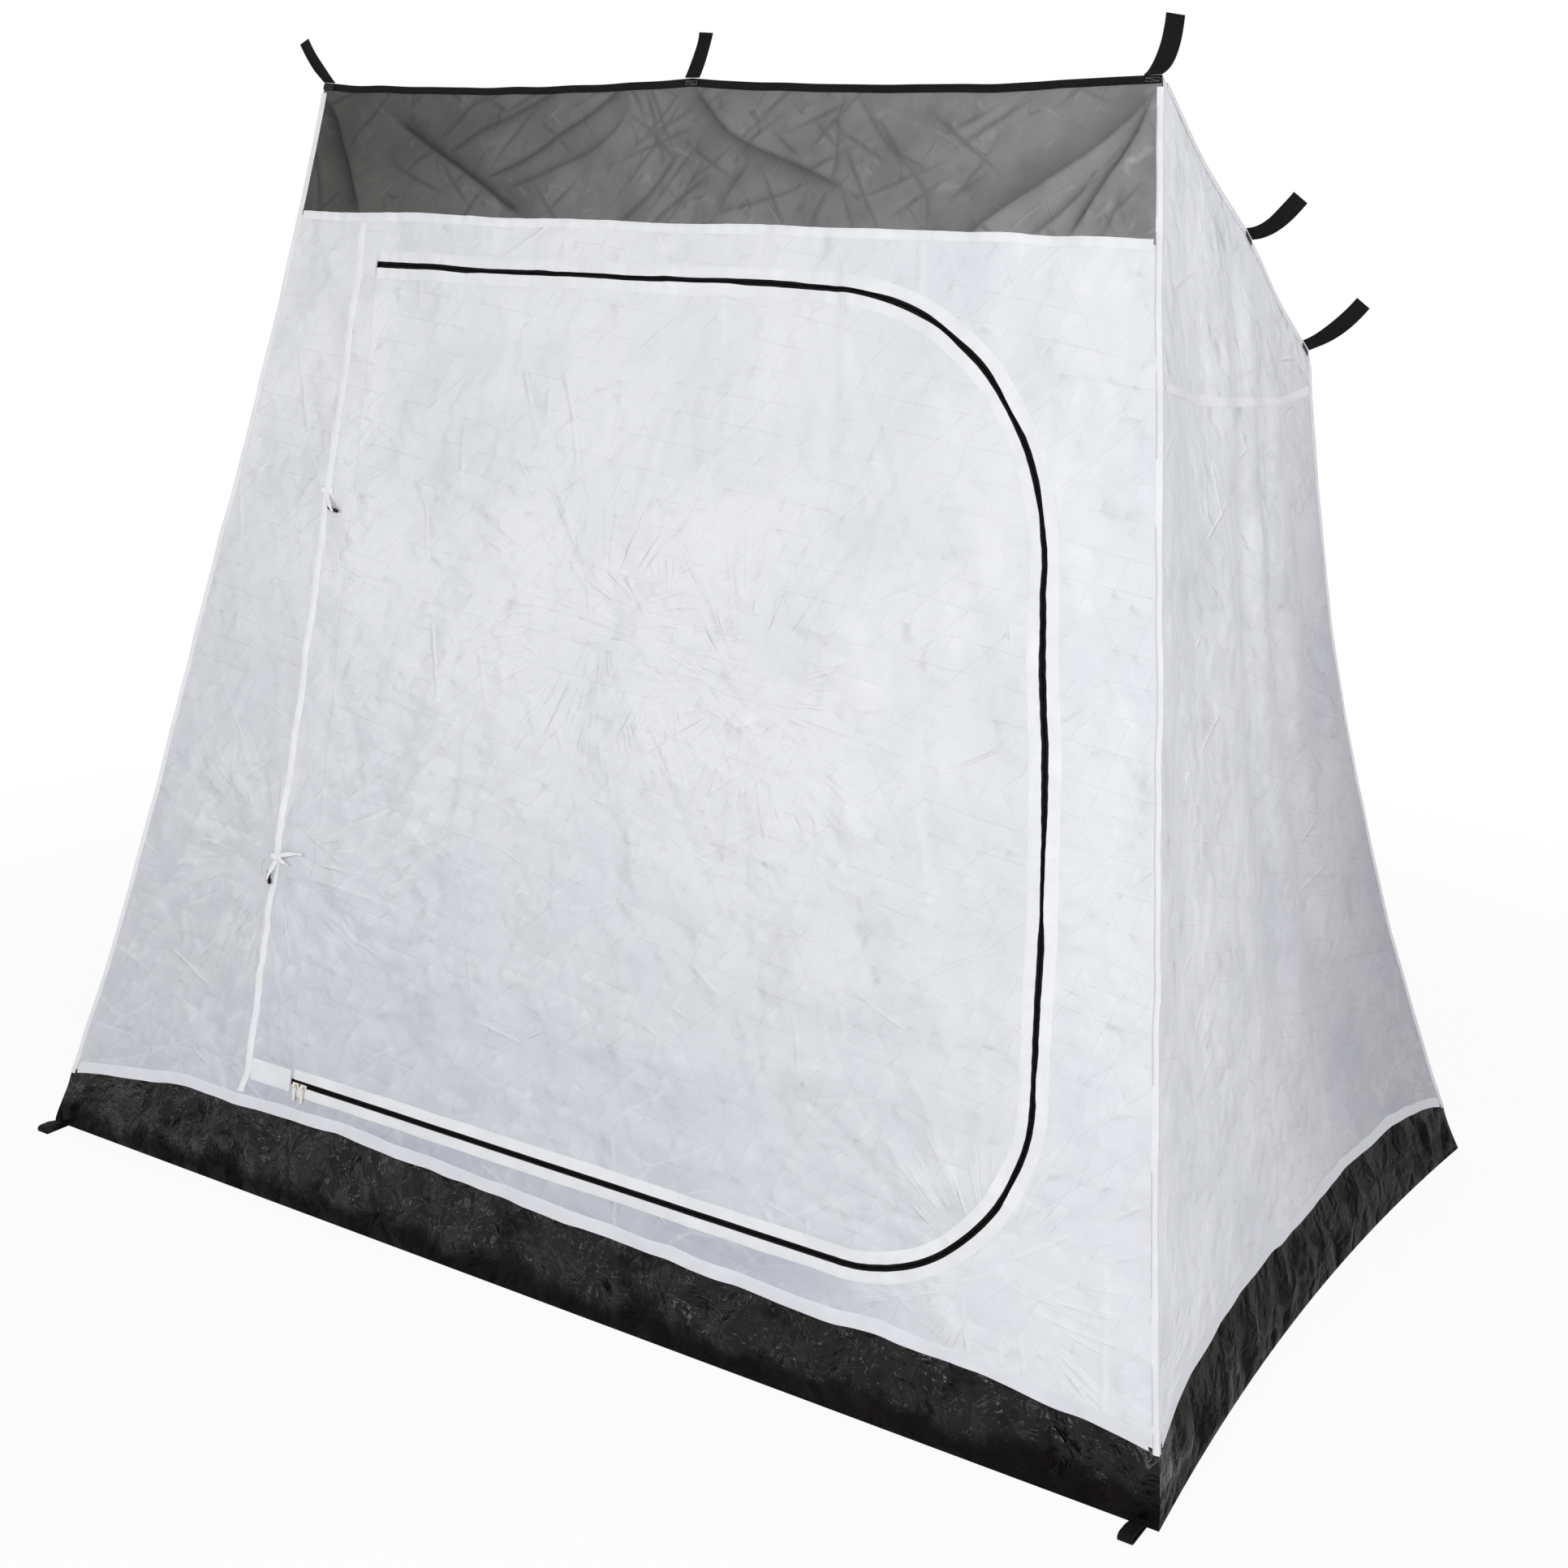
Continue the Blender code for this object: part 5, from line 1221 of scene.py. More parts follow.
# The same white cloth in copies whose tints paint the light and shade each part gets: the left
# panel darker, the door surround lighter to the right and darker at its foot, and the side walls
# lighter, with painted shade towards the back
cloth = white_cloth("white_polyester", (0.760, 0.764, 0.776), (0.600, 0.612, 0.658), HELD)
cloth_left = white_cloth("white_polyester_left", (0.735, 0.739, 0.752), (0.585, 0.596, 0.632),
                         HELD[:2])
cloth_round = white_cloth("white_polyester_round", (0.745, 0.749, 0.762), (0.610, 0.622, 0.668),
                          HELD[:2] + HELD[4:5], None, (0.490, 0.500, 0.560),
                          (0.748, 0.756, 0.782))
cloth_side = white_cloth("white_polyester_side", (0.815, 0.821, 0.845), (0.890, 0.896, 0.935),
                         (((-0.70, 0.14), 0.5), ((0.70, 0.14), 0.4)), (0.455, 0.448, 0.495))
cloth_far = white_cloth("white_polyester_far", (0.760, 0.766, 0.785), (0.700, 0.712, 0.755))
tape = white_tape("white_tape", (0.815, 0.822, 0.842))
seam_tape = white_tape("white_seam_tape", (0.865, 0.870, 0.885))
hem_tape = white_tape("white_hem", (0.735, 0.745, 0.785), 0.0022)
netting = mosquito_mesh()
sheet_black = black_sheet()
webbing = black_webbing()
binding_black = black_webbing("black_binding", (0.0060, 0.0058, 0.0058))
thread_white = speckled("white_thread", (0.83, 0.835, 0.85), (0.88, 0.88, 0.89), 0.004,
                        (0.5, 0.7), 0.0001)
thread_grey = speckled("grey_thread", (0.30, 0.30, 0.31), (0.45, 0.45, 0.46), 0.004,
                       (0.5, 0.7), 0.0001)
coil = speckled("black_coil", (0.0085, 0.0075, 0.008), (0.016, 0.015, 0.0155), 0.006,
                (0.34, 0.48), 0.0001, Specular_IOR_Level=0.09)
nickel = speckled("nickel_plate", (0.70, 0.66, 0.60), (0.78, 0.75, 0.70), 0.003,
                  (0.20, 0.34), 0.00004, Metallic=1.0)
moulding = speckled("black_moulding", (0.0085, 0.008, 0.0085), (0.014, 0.0135, 0.014), 0.004,
                    (0.24, 0.36), 0.00004, Specular_IOR_Level=0.12)
elastic = white_tape("white_elastic", (0.84, 0.845, 0.86), 0.0009)


# Repeated small shapes
def bead_nodes():
    """A tree that puts a rounded bead on each point, turned by the point's own rotation."""
    group = bpy.data.node_groups.new("beads_on_points", "GeometryNodeTree")
    for name, kind in (("Geometry", "NodeSocketGeometry"), ("Length", "NodeSocketFloat"),
                       ("Width", "NodeSocketFloat"), ("Thickness", "NodeSocketFloat"),
                       ("Material", "NodeSocketMaterial")):
        group.interface.new_socket(name, in_out="INPUT", socket_type=kind)
    group.interface.new_socket("Geometry", in_out="OUTPUT", socket_type="NodeSocketGeometry")
    plan = Tree(group)
    given = group.nodes.new("NodeGroupInput")

    def value(name):
        return Wire(plan, given.outputs[name])

    ball = plan.node("GeometryNodeMeshUVSphere", None, Segments=6, Rings=4, Radius=0.5)
    size = plan.node("ShaderNodeCombineXYZ", None, value("Length"), value("Width"),
                     value("Thickness"))
    bead = plan.node("GeometryNodeTransform", None, Geometry=ball, Scale=size)
    turn = plan.node("GeometryNodeInputNamedAttribute", {"data_type": "FLOAT_VECTOR"}, "turn")
    placed = plan.node("GeometryNodeInstanceOnPoints", None, Points=value("Geometry"),
                       Instance=bead, Rotation=turn)
    whole = plan.node("GeometryNodeRealizeInstances", None, placed)
    painted = plan.node("GeometryNodeSetMaterial", None, Geometry=whole, Material=value("Material"))
    plan.node("NodeGroupOutput", None, painted)
    return group


BEADS = bead_nodes()


def euler(along, normal):
    """Rotations that turn X along a line and Z along a normal."""
    x = unit(along)
    y = unit(np.cross(normal, x))
    z = np.cross(x, y)
    return np.stack([np.arctan2(y[:, 2], z[:, 2]), -np.arcsin(np.clip(x[:, 2], -1, 1)),
                     np.arctan2(x[:, 1], x[:, 0])], -1)


def beads(name, points, turns, size, material):
    """One mesh with a bead at each point; size is its length, width and thickness."""
    mesh = bpy.data.meshes.new(name)
    mesh.from_pydata(points.tolist(), [], [])
    mesh.attributes.new("turn", "FLOAT_VECTOR", "POINT").data.foreach_set("vector", turns.ravel())
    carrier = make_object(name + "_points", mesh)
    added = carrier.modifiers.new("beads", "NODES")
    added.node_group = BEADS
    given = dict(zip(("Length", "Width", "Thickness", "Material"), (*size, material)))
    for item in BEADS.interface.items_tree:
        if item.item_type == "SOCKET" and item.in_out == "INPUT" and item.name in given:
            added[item.identifier] = given[item.name]
    graph = bpy.context.evaluated_depsgraph_get()
    made = bpy.data.meshes.new_from_object(carrier.evaluated_get(graph), depsgraph=graph)
    made.name = name
    for extra in [item.name for item in made.attributes if item.name == "turn"]:
        made.attributes.remove(made.attributes[extra])
    bpy.data.objects.remove(carrier)
    return make_object(name, made)


class Stitches:
    """Rows of stitches gathered into one piece."""

    def __init__(self):
        self.points, self.turns = [], []

    def row(self, wall, a, b, out, pitch=STITCH_PITCH):
        """A row along a line on a wall, at a depth over it."""
        fine = layers(wall, a, b, (out,))[0]
        self.along(fine, wall_normal(wall, 0.5, 0.5), pitch)

    def along(self, line, normal, pitch=STITCH_PITCH):
        run = run_of(line)
        places = np.arange(pitch / 2, run[-1] - pitch / 3, pitch)
        if not len(places):
            return
        spots = read_along(run, line, places)
        ahead = read_along(run, line, places + pitch / 3)
        behind = read_along(run, line, places - pitch / 3)
        self.points.append(spots)
        self.turns.append(euler(ahead - behind, np.broadcast_to(normal, spots.shape)))

    def piece(self, name, body, slot, material, size=(STITCH_LENGTH, THREAD, THREAD)):
        made = beads(name, np.concatenate(self.points), np.concatenate(self.turns), size, material)
        return attach(made, body)


# Front wall
def zip_outline(offset, gap):
    """The door's or the hole's outline: the zip's path, offset, closed along the hinge."""
    points, normals = zip_path(0.0, WALL_STEP)
    line = points + normals * offset
    line[0, 0] = hinge_x(line[0, 1]) + gap
    line[-1, 0] = hinge_x(line[-1, 1]) + gap
    return line


def foot_line(x):
    """The front wall's lower edge, just above the tub."""
    u = np.clip(front_u(x, TUB_HEIGHT), 0, 1)
    return tub_edge("front", u) * front_slope + FOOT_GAP


def seam_edge(side, low, high):
    """The front wall's cloth along its left or right seam."""
    h = np.linspace(low, high, max(int((high - low) / 0.02), 2) + 1)
    return np.stack([side * (front_half_width(side, h) - FOLDED_SEAM_GAP), h], -1)


def foot_edge(low, high):
    x = np.linspace(low, high, max(int((high - low) / 0.01), 2) + 1)
    return np.stack([x, foot_line(x)], -1)


def corner_foot(side):
    """Where the front wall's seam meets its foot."""
    x = side * (front_half_width(side, 0.1) - FOLDED_SEAM_GAP)
    for _ in range(4):
        h = float(foot_line(np.asarray(x)))
        x = side * float(front_half_width(side, h) - FOLDED_SEAM_GAP)
    return x, h


def make_front():
    gap = SEWN_GAP / 2
    (left, left_h), (right, right_h) = corner_foot(-1), corner_foot(1)
    outline = np.concatenate([
        foot_edge(left, SEAM_X - gap), [(SEAM_X - gap, mesh_line - gap)],
        seam_edge(-1, left_h, mesh_line - gap)[::-1][:-1]])
    panel = dress(front_plate("cloth_front_left", outline, [], WALL_STEP, cloth_left),
                  "front_left_panel")

    hole = zip_outline(zip_slot, -gap)
    outline = np.concatenate([
        foot_edge(SEAM_X + gap, right), seam_edge(1, right_h, mesh_line - gap)[1:],
        [(SEAM_X + gap, mesh_line - gap)]])
    surround = dress(front_plate("cloth_door_surround", outline, [hole], WALL_STEP, cloth_round),
                     "front_door_surround")

    door = dress(front_plate("cloth_door", zip_outline(-zip_slot, gap), [], WALL_STEP, cloth),
                 "door_panel")
    return make_mesh_strip()


def doubled(x, h):
    """Where the netting's folds double it, from 0 to 1; the netting's colour turns darker there,
    partly for the doubled netting and partly as painted shade.
    """
    sharp = mesh_folds(x, h)
    for crease in MESH_CREASES:
        if abs(crease[5]) > 0.0016:
            sharp = np.maximum(sharp, crease_height(x, h, [(*crease[:4], 0.0022, 0.4, crease[6])]))
    return sharp


def make_mesh_strip():
    gap = SEWN_GAP / 2
    x = np.linspace(-0.74, 0.74, 150)
    ends = [side * float(front_half_width(side, front_slope) - FOLDED_SEAM_GAP) for side in (-1, 1)]
    x = np.concatenate([[ends[1]], x[::-1][(x < ends[1]) & (x > ends[0])], [ends[0]]])
    top = np.stack([x, front_top(x) - FOLDED_SEAM_GAP], -1)
    outline = np.concatenate([
        seam_edge(-1, mesh_line + gap, mesh_line + 0.02)[:1],
        seam_edge(1, mesh_line + gap, top[0, 1] - FOLDED_SEAM_GAP), top,
        seam_edge(-1, mesh_line + gap, top[-1, 1] - FOLDED_SEAM_GAP)[::-1][:-1]])
    strip = dress(front_plate("netting_front", outline, [], MESH_STEP, netting, shade=doubled),
                  "front_mesh_panel")


def front_band(name, x, h, material, low=layer, high=layer + TAPE):
    """A tape over the front wall, from a grid of x and h, pressed down along its edges."""
    down = np.zeros(x.shape[1])
    down[[0, -1]] = low == layer
    outer, inner = layers("front", x, h, (high - down * EDGE_DROP - down * TAPE / 2,
                                          low - down * EDGE_DROP))
    along = np.concatenate([[0], np.cumsum(np.hypot(np.diff(x[:, 0]), np.diff(h[:, 0])))])
    across = np.concatenate([[0], np.cumsum(np.hypot(np.diff(x[0]), np.diff(h[0])))])
    flat = grid_of(along, across)
    return grid_shell(name, outer, inner, material, flat)


def zip_tape(name, near, far, seed):
    """A tape beside the coil. In places its folded edge laps over the coil's turns."""
    run = np.arange(len(zip_points)) * ZIP_STEP
    lap = np.clip(swell_flat(run, 0.3, 0.075, seed) * 1.4 - 0.25, 0, 1)
    lap = lap * ease(run / 0.03) * ease((run[-1] - run) / 0.03)
    x, h = zip_points.T
    lap = lap * (1 - ease((x + 0.64) / 0.03) * ease((0.58 - x) / 0.05) * (h < 0.3))
    offsets = np.linspace(near, far, 5) + np.zeros((len(zip_points), 1))
    offsets[:, 0] -= np.sign(far - near) * 0.0024 * lap
    spread = zip_points[:, None] + zip_normals[:, None] * offsets[..., None]
    rise = np.zeros(offsets.shape)
    rise[:, 0], rise[:, 1] = 0.0016 * lap, 0.0009 * lap
    down = np.zeros(offsets.shape)
    down[:, 4] = EDGE_DROP
    outer, inner = layers("front", spread[..., 0], spread[..., 1],
                          (layer + TAPE + rise - 1.5 * down, layer + rise - down))
    flat = grid_of(run, np.linspace(0, abs(far - near), 5))
    return grid_shell(name, outer, inner, tape, flat)


def zip_coil(name, side):
    """One half of the coil: a bead for each turn, leaning over towards the other half."""
    points, normals = zip_path(ZIP_START, COIL_PITCH)
    if side < 0:
        points, normals = (points[1:] + points[:-1]) / 2, unit(normals[1:] + normals[:-1])
    middle = side * (ZIP_MESH_GAP / 2 + ZIP_TEETH / 2 - 0.0004)
    spot = points + normals * middle
    ahead = spot + normals * side * 0.001
    centre = layers("front", spot[:, 0], spot[:, 1], (0.0004,))[0]
    outer = layers("front", ahead[:, 0], ahead[:, 1], (0.0004,))[0]
    turns = euler(outer - centre, np.broadcast_to(OUT, centre.shape))
    made = beads(name, centre, turns, (ZIP_TEETH + 0.0006, 0.00095, 0.0026), coil)
    return dress(made, "zip_wall_teeth" if side > 0 else "zip_door_teeth")


def make_zip():
    stitches = {"cabin": Stitches(), "door": Stitches()}
    for side, body, node in ((1, "cabin", "wall"), (-1, "door", "door")):
        zip_coil("coil_" + node, side)
        near, far = side * zip_slot, side * (zip_slot + ZIP_TAPE_WIDTH)
        start = side * ZIP_MESH_GAP / 2
        offsets = np.linspace(start, start + side * ZIP_TEETH, 3)
        spread = zip_points[:, None] + zip_normals[:, None] * offsets[None, :, None]
        core = front_band("coil_base_" + node, spread[..., 0], spread[..., 1], coil, -0.0010,
                          0.0002)
        attach(core, body)
        dress(zip_tape("tape_zip_" + node, near, far, 400 + side), f"zip_{node}_tape")
        for offset in (0.0026, ZIP_TAPE_WIDTH - 0.0022):
            line = zip_points + zip_normals * (near + side * offset)
            stitches[body].row("front", line[:, 0], line[:, 1], on_tape)
    stitches["cabin"].piece("stitches_zip_wall", "cabin", "tape", thread_white)
    stitches["door"].piece("stitches_zip_door", "door", "tape", thread_white)


def seam_drift(h):
    """The door seam's tape leans to the left at its foot."""
    return -0.014 * ease((0.205 - h) / 0.06)


def make_door_seam(low, high):
    """The tape over the seam beside the door."""
    length = high - low
    along = np.linspace(0, 1, max(int(length / TAPE_STEP), 2) + 1)
    wide = np.linspace(-SEAM_TAPE_WIDTH / 2, SEAM_TAPE_WIDTH / 2, 5)
    uneven = 1 + 0.05 * swell_flat(along * length, SEAM_X, 0.03, 7)
    h = low + length * along[:, None] + 0.0 * wide
    x = SEAM_X - wide * uneven[:, None] + seam_drift(h)
    dress(front_band("tape_door_seam", x, h, seam_tape), "door_seam_tape")


def make_mesh_hem(rows, low, high):
    """The tape along the netting's lower edge, between the corner tapes."""
    end = CORNER_TAPE_LEG + TAPE_END_ROOM
    share = np.linspace(0, 1, 300)
    h = np.linspace(low, high, 5)
    x = lerp(-(front_half_width(-1, h) - end), front_half_width(1, h) - end, share[:, None])
    dress(front_band("tape_mesh_hem", x, np.broadcast_to(h, x.shape), tape), "mesh_hem_tape")
    for level in (low + 0.002, high - 0.002):
        across = lerp(-(front_half_width(-1, level) - end), front_half_width(1, level) - end, share)
        rows.row("front", across, np.full(across.shape, level), on_tape)


def make_zip_patches(rows):
    """The patches over the zip's two ends, each sewn on round its edge."""
    for name, level in (("upper", zip_top), ("lower", ZIP_BOTTOM)):
        start = SEAM_X + SEAM_TAPE_WIDTH / 2 + 2 * CLEARANCE
        h = np.linspace(level - PATCH_HEIGHT / 2, level + PATCH_HEIGHT / 2, 9)
        stop = hinge_x(h) - ZIP_MESH_GAP
        x = lerp(start, stop, np.linspace(0, 1, 12)[:, None])
        dress(front_band("patch_zip_" + name, x, np.broadcast_to(h, x.shape), tape),
              "zip_end_patch_" + name)
        inset = 0.0022
        right = hinge_x(level) - ZIP_MESH_GAP - inset
        corners = [(start + inset, h[0] + inset), (right, h[0] + inset), (right, h[-1] - inset),
                   (start + inset, h[-1] - inset), (start + inset, h[0] + inset)]
        for a, b in zip(corners, corners[1:]):
            line = np.linspace(a, b, 12)
            rows.row("front", line[:, 0], line[:, 1], on_tape, 0.003)


def make_front_tapes():
    rows = Stitches()
    hem_low, hem_high = mesh_line - SEAM_TAPE_WIDTH / 2, mesh_line + SEAM_TAPE_WIDTH / 2
    make_mesh_hem(rows, hem_low, hem_high)
    foot = float(foot_line(np.asarray(SEAM_X))) + HEM_ON_WALL + 3 * CLEARANCE
    make_door_seam(foot, hem_low - 2 * CLEARANCE)
    for aside in (-0.0048, 0.0048):
        up = np.linspace(foot, hem_low - 0.002, 300)
        rows.row("front", SEAM_X + aside + seam_drift(up), up, on_tape)
    make_zip_patches(rows)
    # The door's sewn side
    up = np.arange(ZIP_BOTTOM + 0.012, zip_top - 0.012, 0.01)
    rows.row("front", hinge_x(up) + 0.004, up, half_cloth + THREAD * 0.3)
    rows.piece("stitches_front", "cabin", "tape", thread_white)


# Side, back and roof walls
def wall_sheet(name, wall, low, high, gap_low, gap_high, node):
    """A wall panel between two lines v = low(u) and v = high(u)."""
    wide = max(WIDTHS[wall])
    columns = int(wide / WALL_STEP) + 1
    u = np.linspace(0, 1, columns)
    rise = rise_at(wall, u)
    start, stop = low(u) + gap_low / rise, high(u) - gap_high / rise
    tall = float((rise * (stop - start)).max())
    t = np.linspace(0, 1, int(tall / WALL_STEP) + 1)[:, None]
    v = start + (stop - start) * t
    inset = FOLDED_SEAM_GAP / width_at(wall, v)
    u = inset + (1 - 2 * inset) * u
    outer, inner = layers(wall, u, v, (half_cloth, -half_cloth))
    shown = np.stack([(u - 0.5) * width_at(wall, v), v * (ROOMS[wall][1])], -1)
    finish = cloth_side if wall in ("right", "left") else cloth_far
    made = dress(grid_shell(name, outer, inner, finish, shown), node)
    # where the pocket lies behind, for the painted light in the wall's colour
    if name == "cloth_right_lower":
        mark(made, "behind", np.tile(pocket_behind(u, v).ravel(), 2))
    return made


def pocket_behind(u, v):
    """How much of the pocket shows through the right wall, as painted light that makes the
    wall paler there: its sheet, hem and seams.
    """
    share = (u - POCKET_SPAN[0]) / (POCKET_SPAN[1] - POCKET_SPAN[0])
    height = v * top_height("right", u) - POCKET_BASE + 0.0 * u
    across = (share - 0.5) * POCKET_WIDTH
    sheet = ease((0.225 - np.abs(across)) / 0.006) * ease(height / 0.006)
    sheet = sheet * ease((POCKET_HEIGHT - height) / 0.006)
    edge = np.minimum(np.minimum(np.abs(np.abs(across) - 0.219), np.abs(across)),
                      np.minimum(np.abs(height - 0.006), np.abs(height - POCKET_HEIGHT + 0.008)))
    return sheet * (0.45 + 0.55 * np.exp(-(edge / 0.007) ** 2))


def one(u):
    return 1.0 + 0 * u


def zero(u):
    return 0.0 * u


def make_walls():
    for wall in ("right", "left"):
        wall_sheet(f"cloth_{wall}_lower", wall, lambda u: tub_edge(wall, u),
                   lambda u: cross_seam(wall, u), FOOT_GAP, SEWN_GAP, wall + "_wall_lower")
        wall_sheet(f"cloth_{wall}_upper", wall, lambda u: cross_seam(wall, u), one, SEWN_GAP,
                   FOLDED_SEAM_GAP, wall + "_wall_upper")
    wall_sheet("cloth_back", "back", lambda u: tub_edge("back", u), one, FOOT_GAP,
               FOLDED_SEAM_GAP, "back_wall")
    wall_sheet("cloth_roof", "roof", zero, one, FOLDED_SEAM_GAP, FOLDED_SEAM_GAP, "roof_panel")


def wall_tape(name, node, wall, middle, below, above, material, columns=4):
    """A tape that follows a line v = middle(u) between two corner tapes. It gives back where its
    edges lie, for the two rows of stitches that are sewn near them."""
    width = wall_width(wall, 0.1 if "hem" in name else 0.8)
    end = (CORNER_TAPE_LEG + 2 * TAPE_END_ROOM) / width
    u = np.linspace(end, 1 - end, int(width / TAPE_STEP) + 1)
    rise = rise_at(wall, u)
    uneven = 0.0007 * swell_flat(u * width, 0.2, 0.04, 9)
    line = middle(wall, u)
    low = line - (below + uneven) / rise
    high = line + (above + uneven) / rise
    share = np.linspace(0, 1, columns)
    v = low[:, None] + (high - low)[:, None] * share
    grid_u = np.broadcast_to(u[:, None], v.shape)
    a, b = wall_place(wall, grid_u, v)
    down = np.zeros(columns)
    down[-1] = 1
    down[0] = "seam" in name
    outer, inner = layers(wall, a, b, (layer + TAPE - down * (EDGE_DROP + TAPE / 2),
                                       layer - down * EDGE_DROP))
    flat = grid_of(u * width, share * (below + above))
    return dress(grid_shell(name, outer, inner, material, flat), node), (u, low, high, rise)


def stitch_wall(rows, wall, u, v):
    rows.row(wall, *wall_place(wall, u, v), on_tape)


def make_wall_tapes():
    rows = Stitches()
    for wall in ("right", "left"):
        _, (u, low, high, rise) = wall_tape(f"tape_cross_seam_{wall}", f"{wall}_cross_seam_tape",
                                            wall, cross_seam, SEAM_TAPE_WIDTH / 2,
                                            SEAM_TAPE_WIDTH / 2, seam_tape)
        stitch_wall(rows, wall, u, low + 0.002 / rise)
        stitch_wall(rows, wall, u, high - 0.002 / rise)
    for wall in ROUND:
        _, (u, low, high, rise) = wall_tape(f"hem_tub_{wall}", f"tub_hem_{wall}", wall, tub_edge,
                                            HEM_ON_TUB, HEM_ON_WALL, hem_tape, 6)
        stitch_wall(rows, wall, u, low + 0.0042 / rise)
        stitch_wall(rows, wall, u, high - 0.0022 / rise)
    rows.piece("stitches_walls", "cabin", "tape", thread_white)


def near_seam(wall, v, distance, at_end):
    """Coordinates on a wall a distance from its end seam or its start seam."""
    if wall == "front":
        h = v * front_slope
        side = 1 if at_end else -1
        return side * (front_half_width(side, h) - distance), h
    share = distance / width_at(wall, v)
    return (1 - share if at_end else share), v


def corner_rows(first, second, v, leg, outs):
    """Rows of points over a corner seam, for each depth in outs."""
    n1, n2 = wall_normal(first, 1.0, v), wall_normal(second, 0.0, v)
    corner = mitre(n1, n2)
    base = seam_point(first, 1.0, v)
    sides = []
    for wall, at_end in ((first, True), (second, False)):
        for distance in ((leg, leg / 2) if at_end else (leg / 2, leg)):
            a, b = near_seam(wall, v, distance, at_end)
            down = EDGE_DROP if distance == leg else 0.0
            lower = [out - down * (1.5 if out > layer else 1.0) for out in outs]
            sides.append(layers(wall, a + 0 * v, b + 0 * v, lower))
    made = []
    for i, out in enumerate(outs):
        made.append(np.stack([sides[0][i], sides[1][i], base + corner * out, sides[2][i],
                              sides[3][i]], 1))
    return made


def make_corner_tapes():
    rows = Stitches()
    pairs = {"front_right": ("front", "right"), "back_right": ("right", "back"),
             "back_left": ("back", "left"), "front_left": ("left", "front")}
    for name, (first, second) in pairs.items():
        rise = float(rise_at(first, 1.0))
        low = float(tub_edge(first, np.asarray(1.0))) - HEM_ON_TUB / rise
        high = 1 - top_room / rise
        v = np.linspace(low, high, int(rise / TAPE_STEP))
        outer, inner = corner_rows(first, second, v, CORNER_TAPE_LEG, (layer + TAPE, layer))
        across = np.array((-2, -1, 0, 1, 2)) * CORNER_TAPE_LEG / 2
        flat = grid_of(v * rise, across)
        dress(grid_shell("tape_corner_" + name, outer, inner, tape, flat, sharp=80),
              "corner_tape_" + name)
        for wall, at_end in ((first, True), (second, False)):
            a, b = near_seam(wall, v, CORNER_TAPE_LEG - 0.002, at_end)
            rows.row(wall, a + 0 * v, b + 0 * v, on_tape)
    rows.piece("stitches_corners", "cabin", "tape", thread_white)


def top_rows(wall, u, leg, outs, on_roof):
    """Rows of points over a top edge, for each depth in outs."""
    rise = rise_at(wall, u)
    roof_u, roof_v = on_roof(u)
    n1, n2 = wall_normal(wall, u, 1.0), wall_normal("roof", roof_u, roof_v)
    corner = mitre(n1, n2)
    base = seam_point(wall, u, 1.0)
    columns = []
    for part in (1.0, 0.5):
        v = 1 - part * leg / rise
        columns.append(layers(wall, *wall_place(wall, u, v), outs))
    columns.append([base + corner * out for out in outs])
    for part in (0.5, 1.0):
        columns.append(layers("roof", *on_roof(u, part * leg), outs))
    return [np.stack([column[i] for column in columns], 1) for i in range(len(outs))]


def roof_inset(u, v, leg, edge):
    """Roof fractions a distance in from one of its edges."""
    if edge in ("front", "back"):
        step = leg / rise_at("roof", np.clip(u, 0, 1))
        return u, (v + step if edge == "front" else v - step)
    step = leg / width_at("roof", v)
    return (u - step if edge == "right" else u + step), v


TOPS = {
    "front": lambda u, leg=0.0: roof_inset(u, 0 * u, leg, "front"),
    "back": lambda u, leg=0.0: roof_inset(1 - u, 1 + 0 * u, leg, "back"),
    "right": lambda u, leg=0.0: roof_inset(1 + 0 * u, u, leg, "right"),
    "left": lambda u, leg=0.0: roof_inset(0 * u, 1 - u, leg, "left"),
}


def make_top_tapes():
    black_rows, white_rows = Stitches(), Stitches()
    for wall, on_roof in TOPS.items():
        black = wall in ("front", "back")
        width = wall_width(wall, 1.0)
        clear = FOLDED_SEAM_GAP if black else top_room
        leg = TOP_BINDING_LEG if black else CORNER_TAPE_LEG
        u = np.linspace(clear / width, 1 - clear / width, int(width / TAPE_STEP) + 1)
        outer, inner = top_rows(wall, u, leg, (layer + TAPE, layer), on_roof)
        across = np.array((-2, -1, 0, 1, 2)) * leg / 2
        flat = grid_of(u * width, across)
        node = f"{wall}_top_binding" if black else f"roof_tape_{wall}"
        name = f"binding_{wall}_top" if black else f"tape_roof_{wall}"
        dress(grid_shell(name, outer, inner, binding_black if black else tape, flat, sharp=80),
              node)
        rise = rise_at(wall, u)
        v = 1 - (leg - 0.0025) / rise
        rows = black_rows if black else white_rows
        stitch_wall(rows, wall, u, v)
        line = layers("roof", *on_roof(u, leg - 0.0025), (on_tape,))[0]
        rows.along(line, np.array((0, 0.2, 1)))
    black_rows.piece("stitches_binding", "cabin", "webbing", coil)
    white_rows.piece("stitches_roof", "cabin", "tape", thread_white)


# Groundsheet
TUB_CREASES = (
    random_creases(91, 330, (0.0, 0.0), (7.0, 0.14), (0.02, 0.085), (0.0030, 0.0075),
                   (0.0016, 0.0046), (0.0, math.pi))
    + random_creases(92, 120, (0.0, 0.0), (7.0, 0.14), (0.05, 0.14), (0.006, 0.014),
                     (0.0025, 0.0065), (0.6, 2.5))
)


